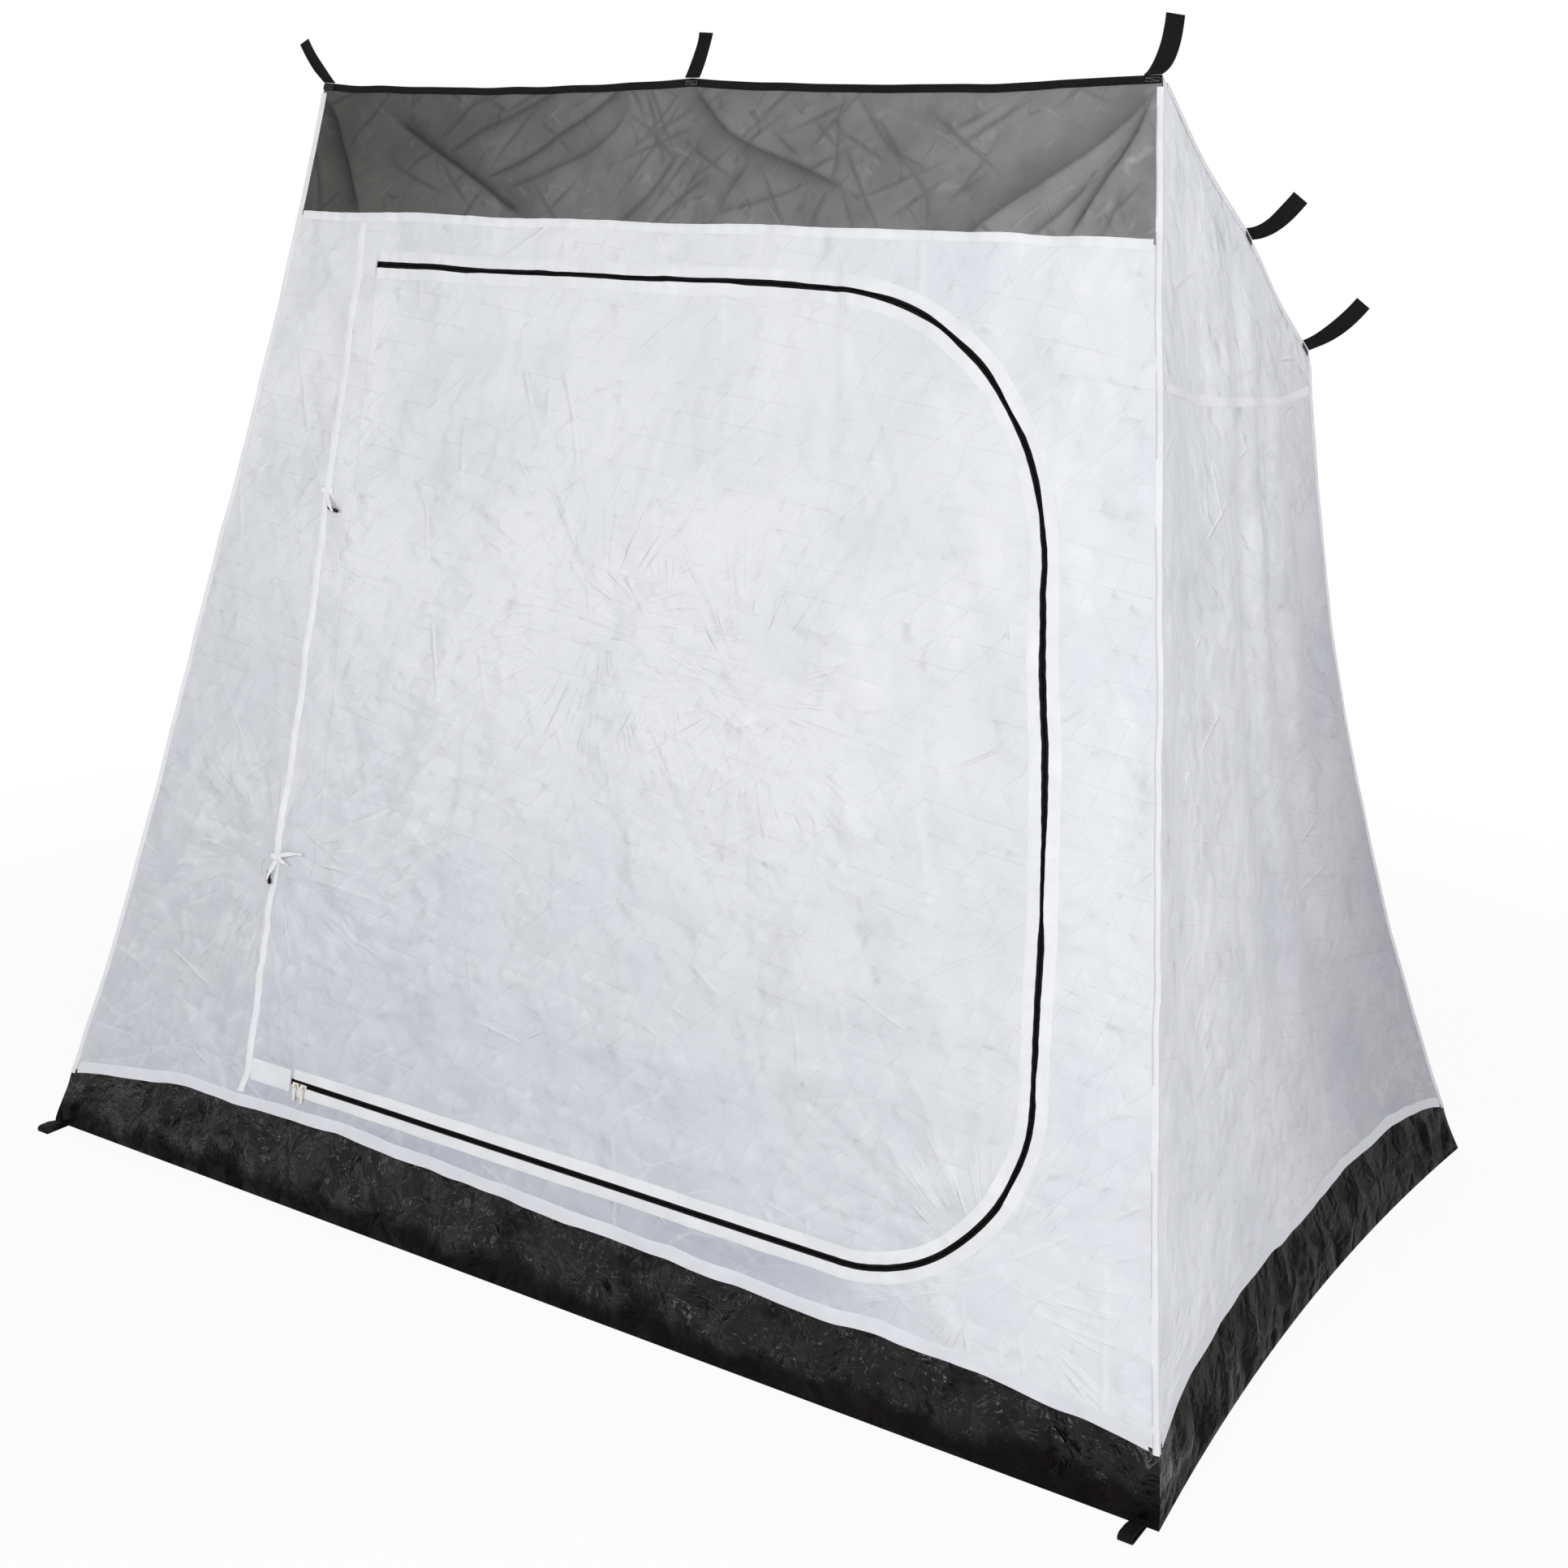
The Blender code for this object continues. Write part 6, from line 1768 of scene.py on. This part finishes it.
def tub_lines():
    """The tub's columns round the tent: their wall, fraction u and length along the foot."""
    made, run = [], 0.0
    for wall in ROUND:
        width = WIDTHS[wall][0]
        count = int(round(width / TUB_STEP))
        for i in range(count):
            made.append((wall, i / count, run + width * i / count))
        run += width
    return made


def tub_wall(wall, places):
    """One wall of the tub: the outer and inner faces, and the foot line on the ground."""
    share = np.linspace(0, 1, TUB_LEVELS)
    u, run = np.array([place[1:] for place in places if place[0] == wall]).T[..., None]
    top = tub_edge(wall, u)
    rise = rise_at(wall, u[:, 0])[:, None]
    v = top * share
    out = np.array(wall_normal(wall, u + 0 * v, v))
    previous = ROUND[ROUND.index(wall) - 1]
    out[0] = mitre(out[0], wall_normal(previous, np.ones(TUB_LEVELS), v[0]))
    part = np.clip(share / (1 - TUB_RIM / (top * rise)), 0, 1)
    height = share * top * rise
    belly = TUB_BELLY * np.sin(np.pi * part) * fade(u, 0.1)
    swing = swell_flat(run + 0 * v, height * 0.6, 0.13, 31) * 0.0055
    swing = swing + swell_flat(run + 0 * v, height, 0.05, 32) * 0.0026
    swing = swing + facets(run + 0 * v, height, 0.085, 331) * 0.0060
    creases = crease_height(run + 0 * v, height + 0 * v, TUB_CREASES)
    keep = np.sin(np.pi * part) ** 0.7 * (0.25 + 0.75 * fade(u, 0.03))
    lift = belly + (swing + creases) * keep
    lift[:, 0] = 0
    base = seam_point(wall, u + 0 * v, v)
    return (base + out * (lift + GROUNDSHEET / 2)[..., None],
            base + out * (lift - GROUNDSHEET / 2)[..., None],
            patch(wall, u[:, 0], 0.0) * np.array((1, 1, 0)))


def make_tub():
    places = tub_lines()
    outer, inner, foot = (np.concatenate(part)
                          for part in zip(*[tub_wall(wall, places) for wall in ROUND]))
    outer[:, 0] = foot
    inner[:, 0] = foot + (inner[:, 1] - outer[:, 1]) * np.array((1, 1, 0))
    inner[:, 0, 2] = GROUNDSHEET
    outer[:, 1:, 2] = np.maximum(outer[:, 1:, 2], 0.0004)
    return tub_mesh(outer, inner, [place[2] for place in places])


def tub_mesh(outer, inner, run):
    """The tub as one closed piece: its walls, its rim and its floor's two faces."""
    count, levels = outer.shape[:2]
    ring = np.arange(count)
    after = (ring + 1) % count
    faces = []
    for shift, turn in ((0, 1), (count * levels, -1)):
        at = ring[:, None] * levels + np.arange(levels) + shift
        nxt = after[:, None] * levels + np.arange(levels) + shift
        quads = np.stack([at[:, :-1], nxt[:, :-1], nxt[:, 1:], at[:, 1:]], -1).reshape(-1, 4)
        faces.append(quads[:, ::turn])
    rim_a, rim_b = ring * levels + levels - 1, after * levels + levels - 1
    back = count * levels
    faces.append(np.stack([rim_a, rim_b, rim_b + back, rim_a + back], -1))
    floor_points, floor_faces = tub_floor(outer[:, 0, :2])
    points = np.concatenate([outer.reshape(-1, 3), inner.reshape(-1, 3)])
    inside_count = len(floor_points) - count
    under, over = len(points), len(points) + inside_count
    floor = floor_points[count:]
    lift = np.maximum(swell_flat(floor[:, 0], floor[:, 1], 0.16, 33), 0)
    ripple = np.abs(swell_flat(floor[:, 0], floor[:, 1], 0.05, 34))
    lift = 0.0045 * lift + 0.0016 * ripple
    lower = np.concatenate([floor, (lift * 0.9)[:, None]], 1)
    upper = np.concatenate([floor, (lift + GROUNDSHEET)[:, None]], 1)
    lookup_low = np.concatenate([ring * levels, under + np.arange(inside_count)])
    lookup_high = np.concatenate([back + ring * levels, over + np.arange(inside_count)])
    faces += [lookup_low[floor_faces][:, ::-1], lookup_high[floor_faces]]
    points = np.concatenate([points, lower, upper])
    strip = grid_of(np.array(run), np.linspace(0, 0.14, levels)).reshape(-1, 2)
    flat = np.concatenate([strip, strip, floor, floor])
    made = dress(make_mesh("groundsheet", points, faces, sheet_black, flat), "groundsheet_tub")
    return made


def tub_floor(loop):
    """The floor's points inside the foot line, after the line's own points, with triangles."""
    step = 0.03
    low, high = loop.min(0), loop.max(0)
    x, y = np.meshgrid(np.arange(low[0], high[0], step), np.arange(low[1], high[1], step))
    x, y = x.ravel(), y.ravel()
    keep = inside(x, y, loop[::20])
    tree = search_tree(loop)
    keep &= np.array([tree.find((p, q, 0))[2] > 0.02 for p, q in zip(x, y)])
    points = np.concatenate([loop, np.stack([x[keep], y[keep]], -1)])
    edges = [(i, (i + 1) % len(loop)) for i in range(len(loop))]
    made = delaunay_2d_cdt([Vector(spot) for spot in points.tolist()], edges, [], 1, 1e-9)
    faces = np.array([face for face in made[2] if len(face) == 3])
    source = np.array([rows[0] for rows in made[3]])
    return points, source[faces]


# Toggles and pocket
def toggle_frame(name):
    turn = TOGGLE_TURNS[name]
    along = np.array((math.sin(turn), -math.cos(turn)))
    across = np.array((math.cos(turn), math.sin(turn)))
    return along, across


def toggle_base(name):
    turn = TOGGLE_TURNS[name]
    low = TOGGLE_HEIGHTS[name] - TAB_HEIGHT / 2 - 2 * CLEARANCE
    return np.array((SEAM_X, low - RIBBON_WIDTH / 2 * abs(math.sin(turn))))


def front_point(spot, out):
    """A point over the front wall that keeps clear of its creases' slopes."""
    base = on_front(spot[..., 0], spot[..., 1])
    lift = front_relief(np.asarray(spot[..., 0]), np.asarray(spot[..., 1]))
    return base + wander(base) + OUT * (lift + out)[..., None]


def make_tab(name):
    """The tab that a toggle's ribbon is sewn to."""
    height = TOGGLE_HEIGHTS[name]
    x = np.linspace(SEAM_X - TAB_LENGTH / 2, SEAM_X + TAB_LENGTH / 2, 9)[:, None]
    h = np.linspace(height - TAB_HEIGHT / 2, height + TAB_HEIGHT / 2, 5)[None]
    curl = 0.0006 * np.abs((x - SEAM_X) / (TAB_LENGTH / 2)) ** 3
    grid_x, grid_h = np.broadcast_arrays(x, h)
    outer, inner = layers("front", grid_x, grid_h, (over_tape + TAPE, over_tape))
    outer, inner = outer - OUT * curl[..., None], inner - OUT * curl[..., None]
    flat = np.stack(np.broadcast_arrays(x, h), -1)
    dress(grid_shell("tab_toggle_" + name, outer, inner, seam_tape, flat), "toggle_tab_" + name)


def make_ribbon(name):
    """The ribbon from the tab over the toggle's bar, rounded at its end."""
    along, across = toggle_frame(name)
    base = toggle_base(name)
    ribbon_rise = over_tape + BAR_RADIUS + BAR_RADIUS + CLEARANCE
    s = np.linspace(0, 1, 22)
    tip = np.sqrt(np.clip(1 - ((s - 0.88) / 0.125) ** 2, 0, 1))
    wide = RIBBON_WIDTH / 2 * np.where(s > 0.88, 0.35 + 0.65 * tip, 1.0)
    wide = wide * (1.0 - 0.50 * ease((s - 0.45) / 0.35))
    sides = np.linspace(-1, 1, 5)
    spot = base + along * (RIBBON_LENGTH * s)[:, None, None] + across * (
        wide[:, None] * sides)[..., None]
    out = over_tape + (ribbon_rise - over_tape) * ease(s * 1.4)
    out = out[:, None] + 0.0005 * np.cos(sides * 2.4) + 0.0004 * np.sin(9 * s)[:, None]
    outer, inner = front_point(spot, out + TAPE), front_point(spot, out)
    flat = grid_of(s * RIBBON_LENGTH, sides * RIBBON_WIDTH / 2)
    dress(grid_shell("ribbon_" + name, outer, inner, seam_tape, flat), "toggle_ribbon_" + name)


def make_bar(name):
    """The waisted bar at the ribbon's end."""
    along = toggle_frame(name)[0]
    centre = toggle_base(name) + along * (RIBBON_LENGTH - RIBBON_WIDTH / 2)
    lean = np.array((along[0] * math.cos(BAR_LEAN) - along[1] * math.sin(BAR_LEAN),
                     along[0] * math.sin(BAR_LEAN) + along[1] * math.cos(BAR_LEAN)))
    axis = ACROSS * lean[0] + UP * lean[1]
    middle = front_point(centre, np.asarray(over_tape + BAR_RADIUS))
    profile = [(-0.50, 0.0), (-0.50, 0.45), (-0.485, 0.66), (-0.44, 0.84), (-0.34, 0.97),
               (-0.22, 1.0), (-0.15, 0.97), (-0.09, BAR_WAIST / BAR_RADIUS),
               (0.09, BAR_WAIST / BAR_RADIUS), (0.15, 0.97), (0.22, 1.0), (0.34, 0.97),
               (0.44, 0.84), (0.485, 0.66), (0.50, 0.45), (0.50, 0.0)]
    made = lathe("bar_toggle_" + name, middle, axis, profile, BAR_LENGTH, BAR_RADIUS)
    dress(made, "toggle_bar_" + name)


def lathe(name, middle, axis, profile, length, radius):
    """A turned form round an axis, from shares of its length and radius."""
    axis = unit(axis)
    side = unit(np.cross(axis, OUT))
    up = np.cross(side, axis)
    turns = np.linspace(0, 2 * np.pi, BAR_SIDES, endpoint=False)
    arms = side * np.cos(turns)[:, None] + up * np.sin(turns)[:, None]
    rings = [middle + axis * share * length + arms * max(size, 0.02) * radius
             for share, size in profile]
    points = np.concatenate(rings)
    return make_mesh(name, points, tube_faces(len(rings), BAR_SIDES), moulding, sharp=60)


def tube_faces(rings, sides):
    at = np.arange(rings * sides).reshape(rings, sides)
    after = np.roll(at, -1, axis=1)
    walls = np.stack([at[:-1], after[:-1], after[1:], at[1:]], -1).reshape(-1, 4)
    ends = [at[0][::-1][None], at[-1][None]]
    return [walls, *ends]


def tube(name, path, radius):
    """A round elastic cord along a path."""
    along = unit(np.gradient(path, axis=0))
    side = unit(np.cross(along, OUT))
    up = np.cross(side, along)
    turns = np.linspace(0, 2 * np.pi, CORD_SIDES, endpoint=False)
    rings = (path[:, None] + radius * (side[:, None] * np.cos(turns)[None, :, None]
                                       + up[:, None] * np.sin(turns)[None, :, None]))
    run = run_of(path)
    flat = grid_of(run, turns * radius)
    return make_mesh(name, rings.reshape(-1, 3), tube_faces(len(path), CORD_SIDES), elastic, flat,
                     sharp=80)


def make_elastic_loop():
    height = TOGGLE_HEIGHTS["lower"] - TAB_HEIGHT / 2 - CORD_RADIUS - 2 * CLEARANCE
    left = SEAM_X - SEAM_TAPE_WIDTH / 2
    centre = np.array((left - CORD_LOOP, height - CORD_LOOP))
    turns = np.linspace(math.radians(80), math.radians(300), 33)
    arms = np.stack([np.cos(turns) * 0.6, np.sin(turns)], -1)
    start = np.array([(left - CORD_RADIUS - CLEARANCE, height)])
    flat = resample(np.concatenate([start, centre + arms * CORD_LOOP]), 0.0015)
    path = front_point(flat, np.full(len(flat), layer + CORD_RADIUS))
    made = dress(tube("elastic_loop", path, CORD_RADIUS), "toggle_loop_lower")


def make_ribbon_tails():
    """The tied ribbon's two tails beside the lower toggle."""
    base = np.array((SEAM_X + 0.004, TOGGLE_HEIGHTS["lower"] + 0.001))
    tails = {"long": ((0.056, 0.012), 0.010, 0.0075), "short": ((0.028, -0.010), -0.004, 0.0065)}
    for name, (reach, bend, width) in tails.items():
        s = np.linspace(0, 1, 20)
        middle = base + np.array(reach) * s[:, None] + np.array((0, bend)) * (s * (1 - s))[:, None]
        side = unit(np.stack([-np.gradient(middle[:, 1]), np.gradient(middle[:, 0])], -1))
        sides = np.linspace(-0.5, 0.5, 5)
        spread = width * (0.75 + 0.25 * np.sin(s * 5))[:, None] * sides
        spot = middle[:, None] + side[:, None] * spread[..., None]
        out = layer + 2 * TAPE + 2 * CLEARANCE + 0.0022 * np.sin(np.pi * s * 1.5) ** 2
        out = out[:, None] + 0.0007 * np.sin(sides * 5 + s[:, None] * 7) + 0.0007
        outer, inner = front_point(spot, out + TAPE), front_point(spot, out)
        flat = grid_of(s * 0.05, sides * width)
        attach(grid_shell("ribbon_tail_" + name, outer, inner, seam_tape, flat), "cabin")


def make_pocket():
    """The pocket's sheet: it swells on either side of its middle seam."""
    s = np.linspace(0, 1, 61)[None]
    t = np.linspace(0, 1, 31)[:, None]
    u = lerp(*POCKET_SPAN, s) + 0 * t
    height = POCKET_BASE + POCKET_HEIGHT * t
    v = height / top_height("right", u)
    swing = POCKET_SWELL * np.sin(2 * np.pi * s) ** 2 * ease(t * 1.3)
    uneven = swell_flat(s * POCKET_WIDTH, t * 0.2, 0.05, 71)
    swing = swing + 0.0012 * np.sin(2 * np.pi * s) ** 2 * uneven
    base, = layers("right", u, v, (0.0,))
    inward = unit(np.array((-1, 0, -SIDE_LEAN)))
    outer = base + inward * (POCKET_SEWN - half_cloth + swing)[..., None]
    inner = base + inward * (POCKET_SEWN + half_cloth + swing)[..., None]
    flat = np.stack(np.broadcast_arrays(s * POCKET_WIDTH, t * POCKET_HEIGHT), -1)
    made = dress(grid_shell("pocket", outer, inner, cloth, flat), "inner_pocket")
    hem = slice(-4, None)
    band_out, band_in = outer[hem] - inward * 0.0006, inner[hem] + inward * 0.0006
    edge = attach(grid_shell("pocket_hem", inner[hem] + inward * 0.0003, band_in, tape, flat[hem]),
                  "cabin")
    return band_out


# Webbing
def make_strap(node, base, rise, across, tip_across, length, bend):
    """A strap from its foot to its tip; across is its width's direction at either end."""
    rise, tip_across = unit(np.asarray(rise, float)), unit(np.asarray(tip_across, float))
    bend = np.asarray(bend, float)
    s = np.linspace(0, 1, 26)
    spine = base + rise * (length * s)[:, None] + bend * (s * s)[:, None]
    tangent = unit(rise * length + bend * (2 * s)[:, None])
    wide = lerp(np.broadcast_to(across, spine.shape), np.broadcast_to(tip_across, spine.shape),
                ease(s))
    square = wide - tangent * np.einsum("ij,ij->i", wide, tangent)[:, None]
    wide = unit(lerp(wide, square, ease(2 * s)))
    face = unit(np.cross(wide, tangent))
    sides = np.linspace(-0.5, 0.5, 7)
    cup = 0.0016 * (4 * sides ** 2) * np.sin(np.pi * np.clip(s, 0, 1))[:, None]
    spots = spine[:, None] + wide[:, None] * (STRAP_WIDTH * sides)[None, :, None]
    spots = spots + face[:, None] * cup[..., None]
    outer = spots + face[:, None] * WEBBING / 2
    inner = spots - face[:, None] * WEBBING / 2
    flat = np.stack(np.meshgrid(s * length, sides * STRAP_WIDTH, indexing="ij")[::-1], -1)
    dress(grid_shell("webbing_" + node, outer, inner, webbing, flat), node)


def strap_foot(wall, u, on_roof):
    normal, other = wall_normal(wall, u, 1.0), wall_normal("roof", *on_roof)
    corner = (normal + other) / (1 + normal @ other)
    foot = seam_point(wall, u, 1.0) + corner * (layer + TAPE) + unit(corner) * STRAP_STANDOFF
    step = STRAP_WIDTH / 2 / wall_width(wall, 1.0)
    edge = patch(wall, min(u + step, 1), 1.0) - patch(wall, max(u - step, 0), 1.0)
    return foot, unit(edge)


def foot_patch(name, wall, u, reach):
    """The strap's sewn end, folded down over the edge's tape, with its box of stitches."""
    width = wall_width(wall, 1.0)
    half = STRAP_WIDTH * 0.46 / width
    across = np.linspace(u - half, u + half, 9)
    low = layer + TAPE + 0.0002
    drops = np.linspace(reach, 0.0008, 6)
    rise = rise_at(wall, across)
    grid_u, grid_v = np.meshgrid(across, drops, indexing="ij")
    grid_v = 1 - grid_v / rise[:, None]
    outer, inner = layers(wall, *wall_place(wall, grid_u, grid_v), (low + WEBBING * 0.8, low))
    flat = grid_of(across * width, drops)
    attach(grid_shell(name, outer, inner, webbing, flat), "cabin")
    rows = Stitches()
    inset = 0.0018
    left, right = u - half + inset / width, u + half - inset / width
    corners = [(left, inset), (right, inset), (right, reach - inset), (left, reach - inset),
               (left, inset), (right, reach - inset)]
    for (u0, d0), (u1, d1) in zip(corners, corners[1:]):
        line_u, drop = np.linspace(u0, u1, 8), np.linspace(d0, d1, 8)
        line_v = 1 - drop / rise_at(wall, line_u)
        line = layers(wall, *wall_place(wall, line_u, line_v),
                      (low + WEBBING * 0.8 + THREAD * 0.2,))[0]
        rows.along(line, wall_normal(wall, 0.5, 0.9), 0.0027)
    rows.piece(name + "_stitches", "cabin", "tape", thread_grey, (0.0019, THREAD, THREAD))


def make_straps():
    """The front straps, then one on the middle and one on the back end of each roof side."""
    inset = (STRAP_WIDTH / 2 + CLEARANCE) / (2 * float(front_half_width(1, front_slope)))
    front = {"left": (inset, (-0.52, -0.29, 0.78), (0.94, 0.02, -0.35), 0.084,
                      (0.010, 0.004, -0.004)),
             "middle": (0.5, (0.27, 0.33, 0.90), (0.85, -0.08, 0.52), 0.090,
                        (-0.011, -0.016, -0.018)),
             "right": (1 - inset, (0.63, 0.58, 0.51), (0.80, 0.58, -0.10), 0.049,
                       (-0.020, 0.004, 0.051))}
    for name, (u, rise, tip, length, bend) in front.items():
        foot, edge = strap_foot("front", u, (u, 0.0))
        make_strap("strap_front_" + name, foot, rise, edge, tip, length, bend)
        foot_patch("strap_end_front_" + name, "front", u, TOP_BINDING_LEG - 0.0005)
    back = 1 - (STRAP_WIDTH / 2 + top_room) / wall_width("right", 1.0)
    places = {"side": (STRAP_SHARE, (0.84, 0.54, 0.10), (0.81, 0.56, 0.18), 0.062,
                       (0.001, 0.014, 0.045)),
              "back": (back, (0.77, 0.56, 0.32), (-0.75, -0.25, 0.61), 0.089,
                       (-0.006, 0.009, 0.035))}
    for side, name in ((1, "right"), (-1, "left")):
        mirror = np.array((side, 1, 1))
        for place_name, (share, rise, tip, length, bend) in places.items():
            u = share if side > 0 else 1 - share
            foot, edge = strap_foot(name, u, (max(side, 0), share))
            across = edge * side
            if across @ (np.array(tip) * mirror) < 0:
                across = -across
            make_strap(f"strap_{place_name}_{name}", foot, np.array(rise) * mirror, across,
                       np.array(tip) * mirror, length, np.array(bend) * mirror)
            foot_patch(f"strap_end_{place_name}_{name}", name, u, CORNER_TAPE_LEG - 0.0005)


def loop_section():
    """A peg loop from the side: out along the ground, round its end and back over itself."""
    layers_up = WEBBING / 2 + CLEARANCE
    far = LOOP_LENGTH - LOOP_RADIUS - WEBBING / 2
    centre = WEBBING / 2 + LOOP_RADIUS + CLEARANCE
    turns = np.radians(np.linspace(-90, 90, 15))
    line = [(0.0, layers_up), (0.3 * far, centre - LOOP_RADIUS), (0.7 * far, centre - LOOP_RADIUS)]
    line += [(far + LOOP_RADIUS * math.cos(turn), centre + LOOP_RADIUS * math.sin(turn))
             for turn in turns]
    line += [(0.62 * far, centre + LOOP_RADIUS), (0.26 * far, centre + LOOP_RADIUS * 0.4),
             (0.0, layers_up + WEBBING + CLEARANCE)]
    return resample(np.array(line), 0.0016)


def make_peg_loop(node, foot, outward, sideways):
    line = loop_section()
    run = unit(np.gradient(line, axis=0))
    face = np.stack([-run[:, 1], run[:, 0]], -1) * WEBBING / 2
    foot, outward, sideways = (np.asarray(part, float) for part in (foot, outward, sideways))
    sides = np.linspace(0, LOOP_WIDTH, 6)
    grids = []
    for spot in (line + face, line - face):
        place = foot + outward * spot[:, :1] + np.array((0, 0, 1)) * spot[:, 1:]
        grids.append(place[:, None] + sideways * sides[None, :, None])
    length = np.arange(len(line)) * 0.0016
    flat = np.stack(np.meshgrid(length, sides, indexing="ij")[::-1], -1)
    dress(grid_shell("webbing_" + node, *grids, webbing, flat), node)


def make_peg_loops():
    for side, name in ((1, "right"), (-1, "left")):
        corner = FLOOR_WIDTH / 2 - EDGE_BAND
        make_peg_loop("peg_loop_front_" + name, (side * corner, -FLOOR_DEPTH / 2 - CLEARANCE, 0),
                      (0, -1, 0), (-side, 0, 0))
        make_peg_loop("peg_loop_back_" + name, (side * corner, FLOOR_DEPTH / 2 + CLEARANCE, 0),
                      (-side, 0, 0), (0, 1, 0))


# Studio
def background_rays(tree):
    """1 for the rays that show the white background: seen, mirrored and seen through."""
    rays = [tree.node("ShaderNodeLightPath", out=name)
            for name in ("Is Camera Ray", "Is Glossy Ray", "Is Transmission Ray")]
    total = rays[0] + rays[1] + rays[2]
    return total.maths("MINIMUM", total, 1.0)


def make_stage():
    mesh = bpy.data.meshes.new("studio_floor")
    reach = 30.0
    mesh.from_pydata([(-reach, -reach, 0), (reach, -reach, 0), (reach, reach, 0),
                      (-reach, reach, 0)], [], [(0, 1, 2, 3)])
    floor = make_object("studio_floor", mesh)
    floor.location.z = -0.0015
    paint = Finish("studio_white")
    spot = paint.spot()
    far = paint.between(spot.vector("LENGTH", spot, out="Value"), 1.4, 3.4, 0.93, 1.0)
    matt = paint.node("ShaderNodeBsdfDiffuse", None, (0.74, 0.74, 0.74, 1.0))
    glow = paint.node("ShaderNodeEmission", None, (1.0, 1.0, 1.0, 1.0), 1.0)
    both = paint.node("ShaderNodeMixShader", None, background_rays(paint) * far, matt, glow)
    paint.node("ShaderNodeOutputMaterial", None, both)
    mesh.materials.append(paint.material)

    world = bpy.data.worlds.new("studio")
    bpy.context.scene.world = world
    world.use_nodes = True
    sky = Tree(world.node_tree)
    world.node_tree.nodes.clear()
    light = sky.node("ShaderNodeBackground", None, (0.97, 0.98, 1.0, 1.0), 0.42)
    white = sky.node("ShaderNodeBackground", None, (1.0, 1.0, 1.0, 1.0), 1.0)
    both = sky.node("ShaderNodeMixShader", None, background_rays(sky), light, white)
    sky.node("ShaderNodeOutputWorld", None, both)


def add_lamp(name, spot, target, size, power):
    lamp = bpy.data.lights.new(name, "AREA")
    lamp.shape = "RECTANGLE"
    lamp.size, lamp.size_y = size
    lamp.energy = power
    made = make_object(name, lamp)
    made.location = spot
    made.rotation_euler = (Vector(target) - Vector(spot)).to_track_quat("-Z", "Y").to_euler()


def make_camera():
    yaw, pitch, roll = -0.5573, 0.2632, -0.0326
    ahead = Vector((math.sin(yaw) * math.cos(pitch), math.cos(yaw) * math.cos(pitch),
                    -math.sin(pitch)))
    right = Vector((math.cos(yaw), -math.sin(yaw), 0))
    down = ahead.cross(right)
    turned = right * math.cos(roll) + down * math.sin(roll)
    lowered = down * math.cos(roll) - right * math.sin(roll)
    camera = bpy.data.cameras.new("camera")
    camera.sensor_width = 36.0
    camera.lens = 47.77
    camera.clip_start, camera.clip_end = 0.05, 200.0
    made = make_object("camera", camera)
    place = Matrix((turned, -lowered, -ahead)).transposed().to_4x4()
    place.translation = (1.8379, -2.9193, 1.5835)
    made.matrix_world = place
    bpy.context.scene.camera = made


make_front()
make_zip()
make_front_tapes()
make_walls()
make_wall_tapes()
make_corner_tapes()
make_top_tapes()
make_tub()
for toggle in TOGGLE_HEIGHTS:
    make_tab(toggle)
    make_ribbon(toggle)
    make_bar(toggle)
make_elastic_loop()
make_ribbon_tails()
make_pocket()
make_straps()
make_peg_loops()
for part in ("zip_slider_trailing", "zip_slider_leading", "zip_pull_trailing",
             "zip_pull_leading"):
    shown = frame["nodes"][part]
    for slot in shown.material_slots:
        slot.material = nickel
make_stage()
add_lamp("key", (2.6, -3.4, 2.6), (0.0, -0.4, 0.8), (1.0, 1.0), 86)
add_lamp("fill", (-2.3, -3.6, 1.5), (0.0, -0.4, 0.6), (0.6, 0.6), 27)
add_lamp("side", (3.4, -0.2, 2.4), (0.8, -0.1, 0.8), (1.0, 1.0), 9)
add_lamp("top", (0.0, 0.3, 4.4), (0.0, 0.0, 0.8), (2.0, 2.0), 15)
make_camera()
bpy.context.scene.view_settings.view_transform = "Standard"
